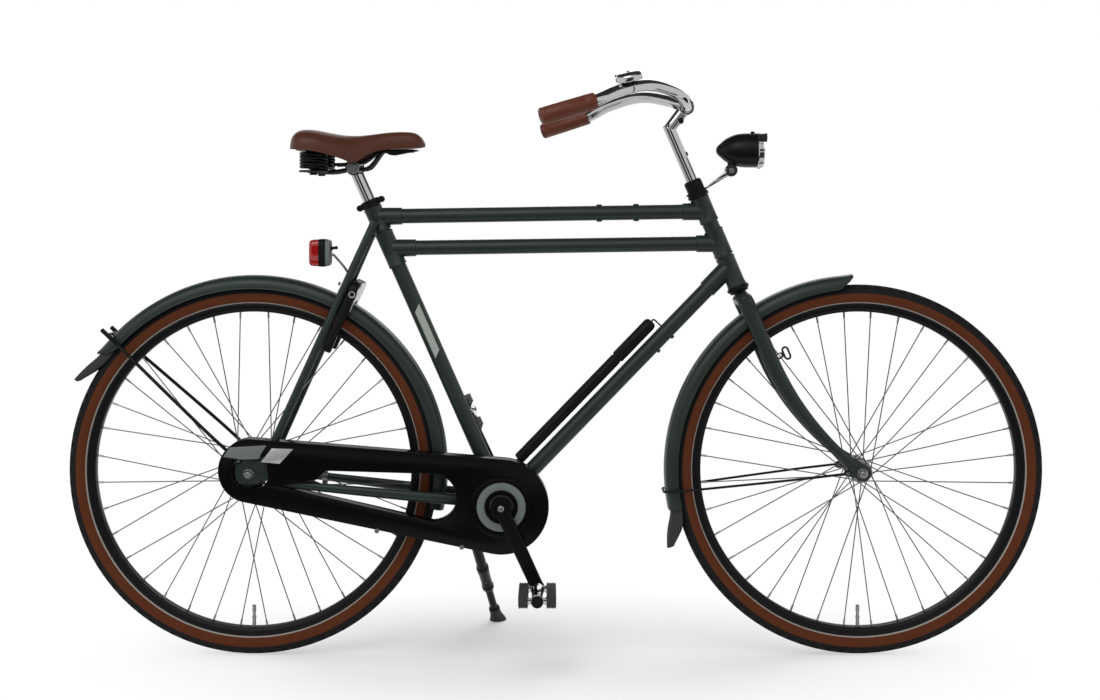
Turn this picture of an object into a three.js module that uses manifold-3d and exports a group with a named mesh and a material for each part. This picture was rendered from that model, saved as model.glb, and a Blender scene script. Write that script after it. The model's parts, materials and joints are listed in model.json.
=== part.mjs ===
// Dutch city bike in millimetres: +X forward, +Y to the rider's left, +Z up.
// The origin lies on the floor, midway between the wheel centres.

import * as THREE from 'three';
import { mergeVertices } from 'three/addons/utils/BufferGeometryUtils.js';
import Module from 'manifold-3d';

const wasm = await Module();
wasm.setup();

// Driving dimensions of the whole bike

const wheelRadius = 357.5;
const wheelBase = 1170;
const headTilt = 23.2; // degrees from the vertical
const forkRake = 75;
const crownRoom = 47.5;
const forkLength = wheelRadius + crownRoom; // from the axle's foot on the steering axis up to the crown's top
const seatTilt = 23.9; // degrees from the vertical
const seatTubeLength = 622;
const bracketHeight = 296;
const wheelRoom = 123.5;
const chainRun = wheelRadius + wheelRoom; // bottom bracket to rear axle, measured along the floor
const crankLength = 165;
const crankTilt = 24.8; // degrees of the right crank, forward of straight down

// Clearances and facet counts

const gap = 0.3;
const running = 0.5;
const overrun = 2;
const weld = 1e-4;
const tubeSides = 12;
const rodSides = 8;
const wheelSegments = 36;

// Finishes

function finish(color, roughness, metalness) {
  return new THREE.MeshStandardMaterial({ color, roughness, metalness });
}

const greenPaint = finish(0x303b34, 0.45, 0.3);
const blackPaint = finish(0x0d0d0f, 0.35, 0.2);
const blackGloss = finish(0x08080a, 0.12, 0.0);
const blackRubber = finish(0x121214, 0.8, 0.0);
const tyreRubber = finish(0x4a2817, 0.75, 0.0);
const chromePlate = finish(0xd0d2d4, 0.12, 1.0);
const dullSteel = finish(0x8d9094, 0.35, 0.9);
const greyPlastic = finish(0x8b8f92, 0.5, 0.0);
const saddleLeather = finish(0x5a3226, 0.55, 0.0);
const gripLeather = finish(0x6b3124, 0.6, 0.0);
const redLens = finish(0x8a0a0a, 0.15, 0.0);
const clearLens = finish(0xdfe5e8, 0.08, 0.0);

// Points, angles and solids

const vec = (x, y, z) => new THREE.Vector3(x, y, z);
const radians = (angle) => THREE.MathUtils.degToRad(angle);
const travel = (start, direction, distance) => start.clone().addScaledVector(direction, distance);
const between = (start, end, share) => start.clone().lerp(end, share);
const mix = (first, last, share) => first + (last - first) * share;
const yAxis = vec(0, 1, 0);
const sides = { right: -1, left: 1 };

// Six times the volume that a list of triangles encloses, negative when they face inwards
function signedVolume(points, triangles) {
  const at = (i) => vec(points[3 * i], points[3 * i + 1], points[3 * i + 2]);
  let total = 0;
  for (let i = 0; i < triangles.length; i += 3) {
    total += at(triangles[i]).dot(at(triangles[i + 1]).cross(at(triangles[i + 2])));
  }
  return total;
}

// A closed geometry as a solid that can be joined and cut
function toSolid(geometry) {
  const plain = new THREE.BufferGeometry();
  plain.setAttribute('position', geometry.getAttribute('position').clone());
  if (geometry.index) plain.setIndex(geometry.index.clone());
  const welded = mergeVertices(plain, weld);
  const points = Float32Array.from(welded.getAttribute('position').array);
  const index = welded.index.array;
  const kept = [];
  for (let i = 0; i < index.length; i += 3) {
    const [a, b, c] = [index[i], index[i + 1], index[i + 2]];
    if (a !== b && b !== c && c !== a) kept.push(a, b, c);
  }
  if (signedVolume(points, kept) < 0) kept.reverse();
  const mesh = new wasm.Mesh({ numProp: 3, vertProperties: points, triVerts: Uint32Array.from(kept) });
  return new wasm.Manifold(mesh);
}

function toGeometry(solid) {
  const { vertProperties, triVerts, numProp } = solid.getMesh();
  const points = [];
  for (let i = 0; i < vertProperties.length; i += numProp) {
    points.push(vertProperties[i], vertProperties[i + 1], vertProperties[i + 2]);
  }
  const geometry = new THREE.BufferGeometry();
  geometry.setAttribute('position', new THREE.Float32BufferAttribute(points, 3));
  geometry.setIndex(Array.from(triVerts));
  geometry.computeVertexNormals();
  return geometry;
}

const join = (...solids) => solids.reduce((whole, solid) => whole.add(solid));
const cut = (base, ...cutters) => cutters.reduce((rest, cutter) => rest.subtract(cutter), base);
const moved = (solid, matrix) => solid.transform(matrix.elements);
const mirrored = (solid) => moved(solid, new THREE.Matrix4().makeScale(1, -1, 1));
const bothSides = (solid) => join(solid, mirrored(solid));

function piece(parent, name, material, solid) {
  const mesh = new THREE.Mesh(toGeometry(solid), material);
  mesh.name = name;
  parent.add(mesh);
}

// Turns a geometry that stands on the origin along +Y so that it starts at one point and faces another
function aimed(geometry, from, to) {
  const direction = to.clone().sub(from).normalize();
  geometry.applyQuaternion(new THREE.Quaternion().setFromUnitVectors(yAxis, direction));
  geometry.translate(from.x, from.y, from.z);
  return toSolid(geometry);
}

// A prism of many sides, which may narrow or widen towards its end
function cylinder(from, to, radius, count = tubeSides, endRadius = radius) {
  const turn = new THREE.Quaternion().setFromUnitVectors(yAxis, to.clone().sub(from).normalize());
  const ring = (centre, size) => Array.from({ length: count }, (_, i) => {
    const angle = (2 * Math.PI * i) / count;
    return vec(size * Math.sin(angle), 0, size * Math.cos(angle)).applyQuaternion(turn).add(centre);
  });
  return skin([ring(from, radius), ring(to, endRadius)]);
}

// A cutter whose flats, not its corners, lie at the radius
const bore = (from, to, radius, count = tubeSides) =>
  cylinder(from, to, radius / Math.cos(Math.PI / count), count);

function pipe(from, to, outer, inner, count = tubeSides) {
  const length = from.distanceTo(to);
  const corners = [[inner, 0], [outer, 0], [outer, length], [inner, length], [inner, 0]];
  const profile = corners.map(([r, y]) => new THREE.Vector2(r, y));
  return aimed(new THREE.LatheGeometry(profile, count), from, to);
}

// A profile of radius and height turned about the line from one point towards another
function turned(profile, from, towards, count = tubeSides) {
  const points = profile.map(([r, y]) => new THREE.Vector2(r, y));
  return aimed(new THREE.LatheGeometry(points, count), from, towards);
}

function block(low, high) {
  const size = high.clone().sub(low);
  const geometry = new THREE.BoxGeometry(size.x, size.y, size.z);
  const middle = low.clone().add(high).multiplyScalar(1 / 2);
  geometry.translate(middle.x, middle.y, middle.z);
  return toSolid(geometry);
}

// An outline of x and z, extruded from one y to another
function plate(outline, fromY, toY, holes = []) {
  const shape = new THREE.Shape(outline.map(([x, z]) => new THREE.Vector2(x, z)));
  for (const hole of holes) shape.holes.push(new THREE.Path(hole.map(([x, z]) => new THREE.Vector2(x, z))));
  const geometry = new THREE.ExtrudeGeometry(shape, { depth: toY - fromY, bevelEnabled: false });
  geometry.rotateX(Math.PI / 2);
  geometry.translate(0, toY, 0);
  return toSolid(geometry);
}

function arc(centreX, centreZ, radius, fromAngle, toAngle, steps) {
  const points = [];
  for (let i = 0; i <= steps; i += 1) {
    const angle = mix(fromAngle, toAngle, i / steps);
    points.push([centreX + radius * Math.cos(angle), centreZ + radius * Math.sin(angle)]);
  }
  return points;
}

// The outline of a belt drawn round two circles
function belt(first, second, steps) {
  const dx = second.x - first.x;
  const dz = second.z - first.z;
  const lean = Math.atan2(dz, dx);
  const wrap = Math.acos((first.radius - second.radius) / Math.hypot(dx, dz));
  return [
    ...arc(second.x, second.z, second.radius, lean - wrap, lean + wrap, steps),
    ...arc(first.x, first.z, first.radius, lean + wrap, lean + 2 * Math.PI - wrap, steps),
  ];
}

function fan(count) {
  return Array.from({ length: count - 2 }, (_, i) => [0, i + 1, i + 2]);
}

// Triangles that fill an outline, which may be hollow on one side, in the order of its points
function filled(outline) {
  const contour = outline.map(([u, v]) => new THREE.Vector2(u, v));
  return THREE.ShapeUtils.triangulateShape(contour, []).map((face) => face.sort((a, b) => a - b));
}

// A solid through a row of rings that all have the same number of points, closed by end faces
function skin(rings, endFaces = fan(rings[0].length)) {
  const count = rings[0].length;
  const points = rings.flat().flatMap((p) => [p.x, p.y, p.z]);
  const triangles = [];
  for (let r = 0; r + 1 < rings.length; r += 1) {
    for (let i = 0; i < count; i += 1) {
      const a = r * count + i;
      const b = r * count + ((i + 1) % count);
      triangles.push(a, b, b + count, a, b + count, a + count);
    }
  }
  const last = (rings.length - 1) * count;
  for (const [a, b, c] of endFaces) {
    triangles.push(a, c, b, last + a, last + b, last + c);
  }
  const geometry = new THREE.BufferGeometry();
  geometry.setAttribute('position', new THREE.Float32BufferAttribute(points, 3));
  geometry.setIndex(triangles);
  return toSolid(geometry);
}

// An oval ring across the XZ plane's direction of travel: deep in that plane, wide along Y
function ovalRing(centre, direction, deep, wide, count) {
  const across = vec(-direction.z, 0, direction.x).normalize();
  const ring = [];
  for (let i = 0; i < count; i += 1) {
    const angle = (2 * Math.PI * (i + 1 / 2)) / count;
    ring.push(travel(travel(centre, across, deep * Math.cos(angle)), yAxis, wide * Math.sin(angle)));
  }
  return ring;
}

function roundShape(radius, count) {
  const corners = arc(0, 0, radius, 0, 2 * Math.PI, count).slice(0, count);
  return new THREE.Shape(corners.map(([x, y]) => new THREE.Vector2(x, y)));
}

function sweep(curve, radius, count, steps) {
  const options = { steps, extrudePath: curve, bevelEnabled: false };
  return toSolid(new THREE.ExtrudeGeometry(roundShape(radius, count), options));
}

const bentRod = (points, radius, count, steps) =>
  sweep(new THREE.CatmullRomCurve3(points, false, 'catmullrom', bendTension), radius, count, steps);
const bendTension = 0.3;

// Places that the pieces share

const rearAxle = vec(-wheelBase / 2, 0, wheelRadius);
const frontAxle = vec(wheelBase / 2, 0, wheelRadius);
const bracket = vec(rearAxle.x + chainRun, 0, bracketHeight);
const headAxis = vec(-Math.sin(radians(headTilt)), 0, Math.cos(radians(headTilt)));
const headForward = vec(Math.cos(radians(headTilt)), 0, Math.sin(radians(headTilt)));
const headFoot = travel(frontAxle, headForward, -forkRake);
const headAt = (station) => travel(headFoot, headAxis, station);
const seatAxis = vec(-Math.sin(radians(seatTilt)), 0, Math.cos(radians(seatTilt)));
const seatForward = vec(Math.cos(radians(seatTilt)), 0, Math.sin(radians(seatTilt)));
const seatAt = (station) => travel(bracket, seatAxis, station);
const offset = (place, x, y, z) => vec(place.x + x, place.y + y, place.z + z);

const bike = new THREE.Group();

// Solids drawn upright about the steering axis, with x forward and z along the axis, put in place
const headMatrix = new THREE.Matrix4().makeRotationY(-radians(headTilt)).setPosition(headFoot);
const onHead = (solid) => moved(solid, headMatrix);

// Wheels: tyre, rim with valve, hub with laced spokes

const tyre = { section: 36.5, width: 39, tread: 18, sideDrop: 16, overhang: 0.8 };
const rim = { well: 8, base: 7.5, width: 25, lip: 2, innerWidth: 18 };
const rimEdge = wheelRadius - tyre.section;
const rimFloor = rimEdge - rim.well;
const rimInner = rimFloor - rim.base;
const valve = { radius: 4, reach: 43 };
const spoke = { count: 36, radius: 1.1, crossings: 3, sink: 0.5, rimOffset: 2.6, rimSpread: 1.3, slant: 0.2, sides: 3 };
const axleRod = { radius: 4.7 };
const frontHub = {
  flange: 22, holes: 19.5, shell: 12.5, neck: 9, left: 32, right: 32, leftEnd: 46, rightEnd: 46, flangeWall: 3,
};
const rearHub = {
  flange: 34, holes: 31, shell: 26, neck: 13, left: 31, right: 27, leftEnd: 48.5, rightEnd: 39.5, flangeWall: 3,
};
const hubSegments = 12;

// How much farther the corners of a wheel's ring reach than its flats
const swell = 1 / Math.cos(Math.PI / wheelSegments);

// A ring about the wheel's axle whose flats lie at the stated radii, with one flat at the bottom
function wheelRing(profile) {
  const points = [...profile, profile[0]].map(([r, y]) => new THREE.Vector2(r * swell, y));
  return toSolid(new THREE.LatheGeometry(points, wheelSegments, Math.PI / wheelSegments));
}

const evenProfile = (half) => [...half, ...half.map(([r, y]) => [r, -y]).reverse()];

function tyreSolid() {
  const mouth = rim.width / 2 - rim.lip - gap;
  return wheelRing(evenProfile([
    [rimFloor + gap, mouth],
    [rimEdge + tyre.overhang, mouth],
    [wheelRadius - tyre.sideDrop, tyre.width / 2],
    [wheelRadius, tyre.tread / 2],
  ]));
}

function rimSolid() {
  const ring = wheelRing(evenProfile([
    [rimInner, rim.innerWidth / 2],
    [rimEdge, rim.width / 2],
    [rimEdge, rim.width / 2 - rim.lip],
    [rimFloor, rim.width / 2 - rim.lip],
  ]));
  const root = vec(0, 0, -rimInner - overrun);
  const tip = vec(0, 0, valve.reach - rimInner);
  return join(ring, cylinder(root, tip, valve.radius, rodSides));
}

function hubSolid(hub) {
  const hole = axleRod.radius + running;
  const wall = hub.flangeWall / 2;
  const inside = hub.flangeWall;
  return turned([
    [hole, -hub.rightEnd],
    [hub.neck, -hub.rightEnd],
    [hub.neck, -hub.right - wall],
    [hub.flange, -hub.right - wall],
    [hub.flange, -hub.right + wall],
    [hub.shell, -hub.right + inside],
    [hub.shell, hub.left - inside],
    [hub.flange, hub.left - wall],
    [hub.flange, hub.left + wall],
    [hub.neck, hub.left + wall],
    [hub.neck, hub.leftEnd],
    [hole, hub.leftEnd],
    [hole, -hub.rightEnd],
  ], vec(0, 0, 0), yAxis, hubSegments);
}

// One tangent spoke: it lies on the outer or the inner face of its flange and runs to the rim
function spokeSolid(hub, number) {
  const step = (2 * Math.PI) / spoke.count;
  const side = number % 2 === 0 ? sides.left : sides.right;
  const lead = Math.floor(number / 2) % 2 === 0 ? 1 : -1;
  const rimAngle = (number + 1 / 2) * step;
  const hubAngle = rimAngle + lead * spoke.crossings * 2 * step;
  const flangeY = side === sides.left ? hub.left : hub.right;
  const faceY = flangeY + lead * (hub.flangeWall / 2 + spoke.radius - spoke.sink);
  const onCircle = (radius, angle, y) => vec(radius * Math.sin(angle), y, radius * Math.cos(angle));
  const head = onCircle(hub.holes, hubAngle, side * faceY);
  const end = onCircle(rimInner * swell - gap - spoke.slant, rimAngle, side * (spoke.rimOffset + lead * spoke.rimSpread));
  return cylinder(head, end, spoke.radius, spoke.sides);
}

function spokedHub(hub) {
  const spokes = Array.from({ length: spoke.count }, (_, number) => spokeSolid(hub, number));
  return join(hubSolid(hub), ...spokes);
}

function wheel(prefix, centre, hub) {
  const group = new THREE.Group();
  group.position.copy(centre);
  bike.add(group);
  piece(group, `${prefix}_tyre`, tyreRubber, tyreSolid());
  piece(group, `${prefix}_rim`, blackPaint, rimSolid());
  piece(group, `${prefix}_hub_and_spokes`, dullSteel, spokedHub(hub));
}

wheel('rear', rearAxle, rearHub);
wheel('front', frontAxle, frontHub);

// Frame tubes, with sockets on the head tube, seat tube and bracket shell that the others push into

const seatTube = { radius: 15.2, wall: 1.5 };
const topTube = { radius: 14.3, wall: 1.2 };
const downTube = { radius: 15.2, wall: 1.2 };
const headTube = { radius: 15.9, wall: 1.4, downRise: 28.5, lowerRise: 49.2, upperRise: 67.4, topRise: 29.9 };
const headsetLow = { height: 24.4, wide: 20, neck: 17.5, step: 12 };
const headBottom = forkLength + gap + headsetLow.height + gap;
const downStation = headBottom + headTube.downRise;
const lowerHead = downStation + headTube.lowerRise;
const upperHead = lowerHead + headTube.upperRise;
const headTop = upperHead + headTube.topRise;
const lug = { wall: 2.2, flare: 2.5, flareLength: 6 };
const shell = { radius: 21, inner: 17, halfWidth: 34, cup: 6 };
const shellSocket = { seat: 44, down: 48 };
const seatDrops = { upper: 19.6, lower: 67.2 };
const upperSeat = seatTubeLength - seatDrops.upper;
const lowerSeat = upperSeat - seatDrops.lower;
const upperTube = { seat: upperSeat, head: upperHead, seatSocket: 50, headSocket: 44 };
const lowerTube = { seat: lowerSeat, head: lowerHead, seatSocket: 50, headSocket: 44 };
const downSocket = 62;
const seatLug = { below: 31.4, under: 38.2, over: 34.8 };
const seatLugs = [
  [upperSeat - seatLug.below, seatTubeLength], [lowerSeat - seatLug.under, lowerSeat + seatLug.over],
];
const headLug = { below: 23.1, under: 27.7, over: 29.3, foot: 19.5 };
const headLugs = [
  [upperHead - headLug.below, headTop], [lowerHead - headLug.under, lowerHead + headLug.over],
  [headBottom, downStation + headLug.foot],
];
const clipStud = { radius: 2.6, height: 2.2 };
const upperStuds = [296, 368]; // along the upper tube from the seat tube's axis
const lowerStuds = [146, 187]; // along the down tube from the head tube's axis
const mitre = 60;
const bracketAxle = { radius: 8.3, halfLength: 83 };

const collar = (at, [low, high], radius) => cylinder(at(low), at(high), radius + lug.wall);

// A sleeve from a point on a tube's axis towards another point, and the hole for the tube it holds
function socket(from, towards, length, radius) {
  const direction = towards.clone().sub(from).normalize();
  return {
    body: cylinder(from, travel(from, direction, length), radius + gap + lug.wall),
    hole: bore(from, travel(from, direction, length + overrun), radius + gap),
  };
}

// A tube with collars and sockets: the sockets' holes stop at its own outer wall
function lugged(core, hollow, collars, sockets) {
  const sleeves = cut(join(...sockets.map((s) => s.body)), ...sockets.map((s) => s.hole));
  return cut(join(sleeves, core, ...collars), hollow);
}

const shellBore = bore(
  travel(bracket, yAxis, -shell.halfWidth), travel(bracket, yAxis, shell.halfWidth), shell.radius + gap,
);
const lugRadius = (tube) => tube.radius + lug.wall + gap;
const aroundSeat = (station, radius) => bore(seatAt(station - mitre), seatAt(station + mitre), radius);
const aroundHead = (station, radius) => bore(headAt(station - mitre), headAt(station + mitre), radius);

function headTubeSolid() {
  const core = cylinder(headAt(headBottom), headAt(headTop), headTube.radius);
  const low = headAt(headBottom - overrun);
  const hollow = bore(low, headAt(headTop + overrun), headTube.radius - headTube.wall);
  const full = headTube.radius + lug.wall;
  const flareFoot = headAt(headTop - lug.flareLength);
  const flare = cylinder(flareFoot, headAt(headTop), full, tubeSides, full + lug.flare);
  const collars = [...headLugs.map((span) => collar(headAt, span, headTube.radius)), flare];
  return lugged(core, hollow, collars, [
    socket(headAt(upperTube.head), seatAt(upperTube.seat), upperTube.headSocket, topTube.radius),
    socket(headAt(lowerTube.head), seatAt(lowerTube.seat), lowerTube.headSocket, topTube.radius),
    socket(headAt(downStation), bracket, downSocket, downTube.radius),
  ]);
}

function seatTubeSolid() {
  const core = cylinder(bracket, seatAt(seatTubeLength), seatTube.radius);
  const hollow = bore(bracket, seatAt(seatTubeLength + overrun), seatTube.radius - seatTube.wall);
  const collars = seatLugs.map((span) => collar(seatAt, span, seatTube.radius));
  const tube = lugged(core, hollow, collars, [
    socket(seatAt(upperTube.seat), headAt(upperTube.head), upperTube.seatSocket, topTube.radius),
    socket(seatAt(lowerTube.seat), headAt(lowerTube.head), lowerTube.seatSocket, topTube.radius),
  ]);
  return cut(tube, shellBore);
}

// A tube between the seat tube and the head tube, mitred to clear both
function topTubeSolid(stations) {
  const tube = pipe(seatAt(stations.seat), headAt(stations.head), topTube.radius, topTube.radius - topTube.wall);
  return cut(tube, aroundSeat(stations.seat, lugRadius(seatTube)), aroundHead(stations.head, lugRadius(headTube)));
}

function stud(from, direction, station, outwards, radius) {
  const root = travel(travel(from, direction, station), outwards, radius - topTube.wall / 2);
  return cylinder(root, travel(root, outwards, clipStud.height + topTube.wall / 2), clipStud.radius, rodSides);
}

function upperTubeSolid() {
  const from = seatAt(upperTube.seat);
  const direction = headAt(upperTube.head).sub(from).normalize();
  const upwards = vec(-direction.z, 0, direction.x);
  const studs = upperStuds.map((station) => stud(from, direction, station, upwards, topTube.radius));
  return join(topTubeSolid(upperTube), ...studs);
}

const downFrom = headAt(downStation);
const downDirection = bracket.clone().sub(downFrom).normalize();
const downBehind = vec(downDirection.z, 0, -downDirection.x); // square to the down tube, towards the seat
const pump = { radius: 11.2, grip: 12.5, gripReach: 97, reach: 372, lift: 33, station: 152 };
const pumpPeg = { radius: 3.2 };

function downTubeSolid() {
  const tube = pipe(downFrom, bracket, downTube.radius, downTube.radius - downTube.wall);
  const seatCut = bore(bracket, seatAt(shellSocket.seat + mitre), lugRadius(seatTube) + gap);
  const below = downBehind.clone().negate();
  const studs = lowerStuds.map((station) => stud(downFrom, downDirection, station, below, downTube.radius));
  const pegs = [-1, 1].map((end) => {
    const reach = pump.reach / 2 + gap + pumpPeg.radius;
    const foot = travel(downFrom, downDirection, pump.station + pump.reach / 2 + end * reach);
    const root = travel(foot, downBehind, downTube.radius - downTube.wall / 2);
    return cylinder(root, travel(foot, downBehind, pump.lift + pump.radius / 2), pumpPeg.radius, rodSides);
  });
  return join(cut(tube, aroundHead(downStation, lugRadius(headTube)), shellBore, seatCut), ...studs, ...pegs);
}

function shellSolid() {
  const left = travel(bracket, yAxis, shell.halfWidth);
  const right = travel(bracket, yAxis, -shell.halfWidth);
  const sockets = [
    socket(bracket, seatAt(shellSocket.seat), shellSocket.seat, seatTube.radius),
    socket(bracket, downFrom, shellSocket.down, downTube.radius),
  ];
  const opened = cut(join(...sockets.map((s) => s.body)), ...sockets.map((s) => s.hole));
  const drum = cylinder(right, left, shell.radius);
  const inner = shell.halfWidth - shell.cup;
  const room = cylinder(travel(bracket, yAxis, -inner), travel(bracket, yAxis, inner), shell.inner);
  const hole = bore(travel(right, yAxis, -overrun), travel(left, yAxis, overrun), bracketAxle.radius + running);
  return cut(join(opened, drum), room, hole, cut(chainStayRoom(), drum));
}

// Stays: each ring is a place along the stay with its distance from the middle and its half sizes

const chainStay = [
  { share: 0.03, side: 20, liftShare: 0.016, deep: 11, wide: 8 },
  { share: 0.12, side: 30.5, liftShare: 0.088, deep: 11, wide: 8 },
  { share: 0.22, side: 38, liftShare: 0.171, deep: 11, wide: 7.5 },
  { share: 0.41, side: 47.5, liftShare: 0.325, deep: 10, wide: 7.2 },
  { share: 0.66, side: 55.5, liftShare: 0.533, deep: 8.4, wide: 6.6 },
  { share: 0.78, side: 57, liftShare: 0.634, deep: 7.9, wide: 5.8 },
  { share: 0.92, side: 57, liftShare: 0.74, deep: 7.4, wide: 5.4 },
].map((row) => ({ ...row, lift: row.liftShare * (rearAxle.z - bracket.z) }));
const seatStayTop = { drop: 36, behind: 13 };
const seatStayFoot = { ahead: 32, lift: 24 };
const seatStay = [
  { share: -0.02, side: 23, deep: 8.2, wide: 8 },
  { share: 0.14, side: 31, deep: 8.2, wide: 8 },
  { share: 0.3, side: 37.5, deep: 8.2, wide: 8 },
  { share: 0.62, side: 47.5, deep: 8, wide: 7.2 },
  { share: 1, side: 57, deep: 7.4, wide: 5.4 },
];
const dropout = { middle: 57, half: 2.5, radius: 27, nose: 11, eyelet: 9, eyeletBack: 19, eyeletLift: 26 };
const stayBridge = { radius: 6, drop: 1.4, low: 6.5, lowShare: 0.105, liftShare: 0.0764, lowHalf: 25 };
const lowBridgeLift = stayBridge.liftShare * (rearAxle.z - bracket.z);
const stayTop = travel(seatAt(seatTubeLength - seatStayTop.drop), seatForward, -seatStayTop.behind);
const stayFoot = offset(rearAxle, seatStayFoot.ahead, 0, seatStayFoot.lift);
const stayLine = stayFoot.clone().sub(stayTop).normalize();
const chainStaySides = 8;

function chainStayRings(extra) {
  const line = rearAxle.clone().sub(bracket);
  const direction = vec(line.x, 0, 0).normalize();
  return chainStay.map(({ share, side, lift, deep, wide }) => {
    const centre = vec(mix(bracket.x, rearAxle.x, share), side, bracket.z + lift);
    return ovalRing(centre, direction, deep + extra, wide + extra, chainStaySides);
  });
}

function seatStayRings(extra) {
  return seatStay.map(({ share, side, deep, wide }) => {
    const centre = between(stayTop, stayFoot, share).setY(side);
    return ovalRing(centre, stayLine, deep + extra, wide + extra, chainStaySides);
  });
}

const chainStayRoom = () => bothSides(skin(chainStayRings(gap)));

// The plate that holds the axle, with an ear for the mudguard's stay
function dropoutSolid() {
  const { x, z } = rearAxle;
  const nose = chainStay[chainStay.length - 1];
  const noseX = mix(bracket.x, rearAxle.x, nose.share);
  const outline = [
    [noseX, bracket.z + nose.lift - nose.deep],
    [noseX, bracket.z + nose.lift + nose.deep],
    [stayFoot.x + seatStayFoot.ahead / 4, stayFoot.z],
    [stayFoot.x - seatStayFoot.ahead / 4, stayFoot.z + dropout.nose / 2],
    [x - dropout.eyeletBack + dropout.eyelet, z + dropout.eyeletLift + dropout.eyelet],
    [x - dropout.eyeletBack - dropout.eyelet, z + dropout.eyeletLift + dropout.eyelet],
    [x - dropout.eyeletBack - dropout.eyelet, z + dropout.eyeletLift - dropout.eyelet],
    [x - dropout.eyeletBack, z - dropout.nose],
    [x, z - dropout.eyeletBack],
    [x + dropout.eyeletBack, z - dropout.radius],
  ];
  const low = dropout.middle - dropout.half;
  const body = plate(outline, low, dropout.middle + dropout.half);
  const hole = bore(vec(x, low - overrun, z), vec(x, dropout.middle + dropout.half + overrun, z), axleRod.radius + gap, hubSegments);
  return cut(body, hole);
}

function chainStaysSolid() {
  const half = join(skin(chainStayRings(0)), dropoutSolid());
  const low = vec(mix(bracket.x, rearAxle.x, stayBridge.lowShare), -stayBridge.lowHalf, bracket.z + lowBridgeLift);
  const bridge = cylinder(low, vec(low.x, stayBridge.lowHalf, low.z), stayBridge.low, hubSegments);
  return cut(join(bothSides(half), bridge), shellBore);
}

const wheelTop = stayTop.distanceTo(stayFoot) - wheelRadius; // along the seat stays, from their top
const bridgeCentre = travel(stayTop, stayLine, wheelTop + stayBridge.drop);
const bridgeHalf = 34;

function seatStaysSolid() {
  const bridge = cylinder(travel(bridgeCentre, yAxis, -bridgeHalf), travel(bridgeCentre, yAxis, bridgeHalf),
    stayBridge.radius, hubSegments);
  const seatRoom = bore(seatAt(mitre), seatAt(seatTubeLength + mitre), lugRadius(seatTube));
  const plateRoom = join(dropoutSolid(), mirrored(dropoutSolid()));
  const stays = join(bothSides(skin(seatStayRings(0))), bridge);
  return cut(stays, seatRoom, thick(plateRoom));
}

// A plate's solid grown by the gap on both faces and at its edges' upper side
function thick(solid) {
  const shifts = [[0, gap, 0], [0, -gap, 0], [0, 0, gap], [gap, 0, 0]];
  return join(solid, ...shifts.map((shift) => solid.translate(shift)));
}

piece(bike, 'head_tube', greenPaint, headTubeSolid());
piece(bike, 'seat_tube', greenPaint, seatTubeSolid());
piece(bike, 'upper_top_tube', greenPaint, upperTubeSolid());
piece(bike, 'lower_top_tube', greenPaint, topTubeSolid(lowerTube));
piece(bike, 'down_tube', greenPaint, downTubeSolid());
piece(bike, 'bottom_bracket_shell', greenPaint, shellSolid());
piece(bike, 'chain_stays', greenPaint, chainStaysSolid());
piece(bike, 'seat_stays', greenPaint, seatStaysSolid());

// Headset, fork and the other parts that turn with the steering

const steerer = { radius: 12.7, inner: 11.5, rise: 35 };
const locknut = { height: 35.6, radius: 17.5, chamfer: 3, flange: 21, step: 5, flangeHeight: 9 };
const crown = { height: 34, arch: 17, half: 52.5, shoulder: 40, neck: 22, deep: 18, innerHalf: 25.5, roof: 20 };
const crownShares = { shoulderShare: 0.35 };
const crownRoof = forkLength - crown.roof;
const blade = [
  { stationShare: 0.975, side: 39, deep: 15, wide: 9.6 },
  { stationShare: 0.662, side: 41, deep: 15, wide: 9.6 },
  { stationShare: 0.543, side: 42.5, deep: 14.6, wide: 9 },
  { stationShare: 0.42, side: 44.5, deep: 13.4, wide: 8.4 },
  { stationShare: 0.296, side: 46.5, deep: 12, wide: 7.6 },
  { stationShare: 0.185, side: 48, deep: 10.6, wide: 6.8 },
  { stationShare: 0.089, side: 49.5, deep: 9.4, wide: 5.6 },
  { stationShare: 0.035, side: 49.5, deep: 8.6, wide: 4.4 },
].map((row) => ({ ...row, station: row.stationShare * forkLength }));
const bendStation = blade[1].station;
const forkEnd = { low: 47, high: 52, radius: 13, ear: 7, earBack: 29, stemLift: 24 };
const anchor = { below: 6, ahead: 27, radius: 11, hole: 5.5, half: 2.2, bowRoom: 0.6 };
const axleNut = { radius: 8.5, height: 8, overhang: 4 };
const bladeSides = 10;

function headsetRing(bottom, { height, wide, neck, step }) {
  const hole = steerer.radius + running;
  return turned([
    [hole, 0], [wide, 0], [wide, step], [neck, height], [hole, height], [hole, 0],
  ], headAt(bottom), headAt(bottom + height));
}

// The blade's centre bows forward below the bend and meets the axle's height at its foot
function bladeRings(extra, side) {
  const bow = (station) => (station > bendStation ? 0 : forkRake * ((bendStation - station) / bendStation) ** 2);
  return blade.map(({ station, side: across, deep, wide }) => {
    const centre = vec(bow(station), side * across, station);
    const slope = station > bendStation ? 0 : (2 * forkRake * (bendStation - station)) / bendStation ** 2;
    return ovalRing(centre, vec(-slope, 0, 1).normalize(), deep + extra, wide + extra, bladeSides);
  });
}

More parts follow.
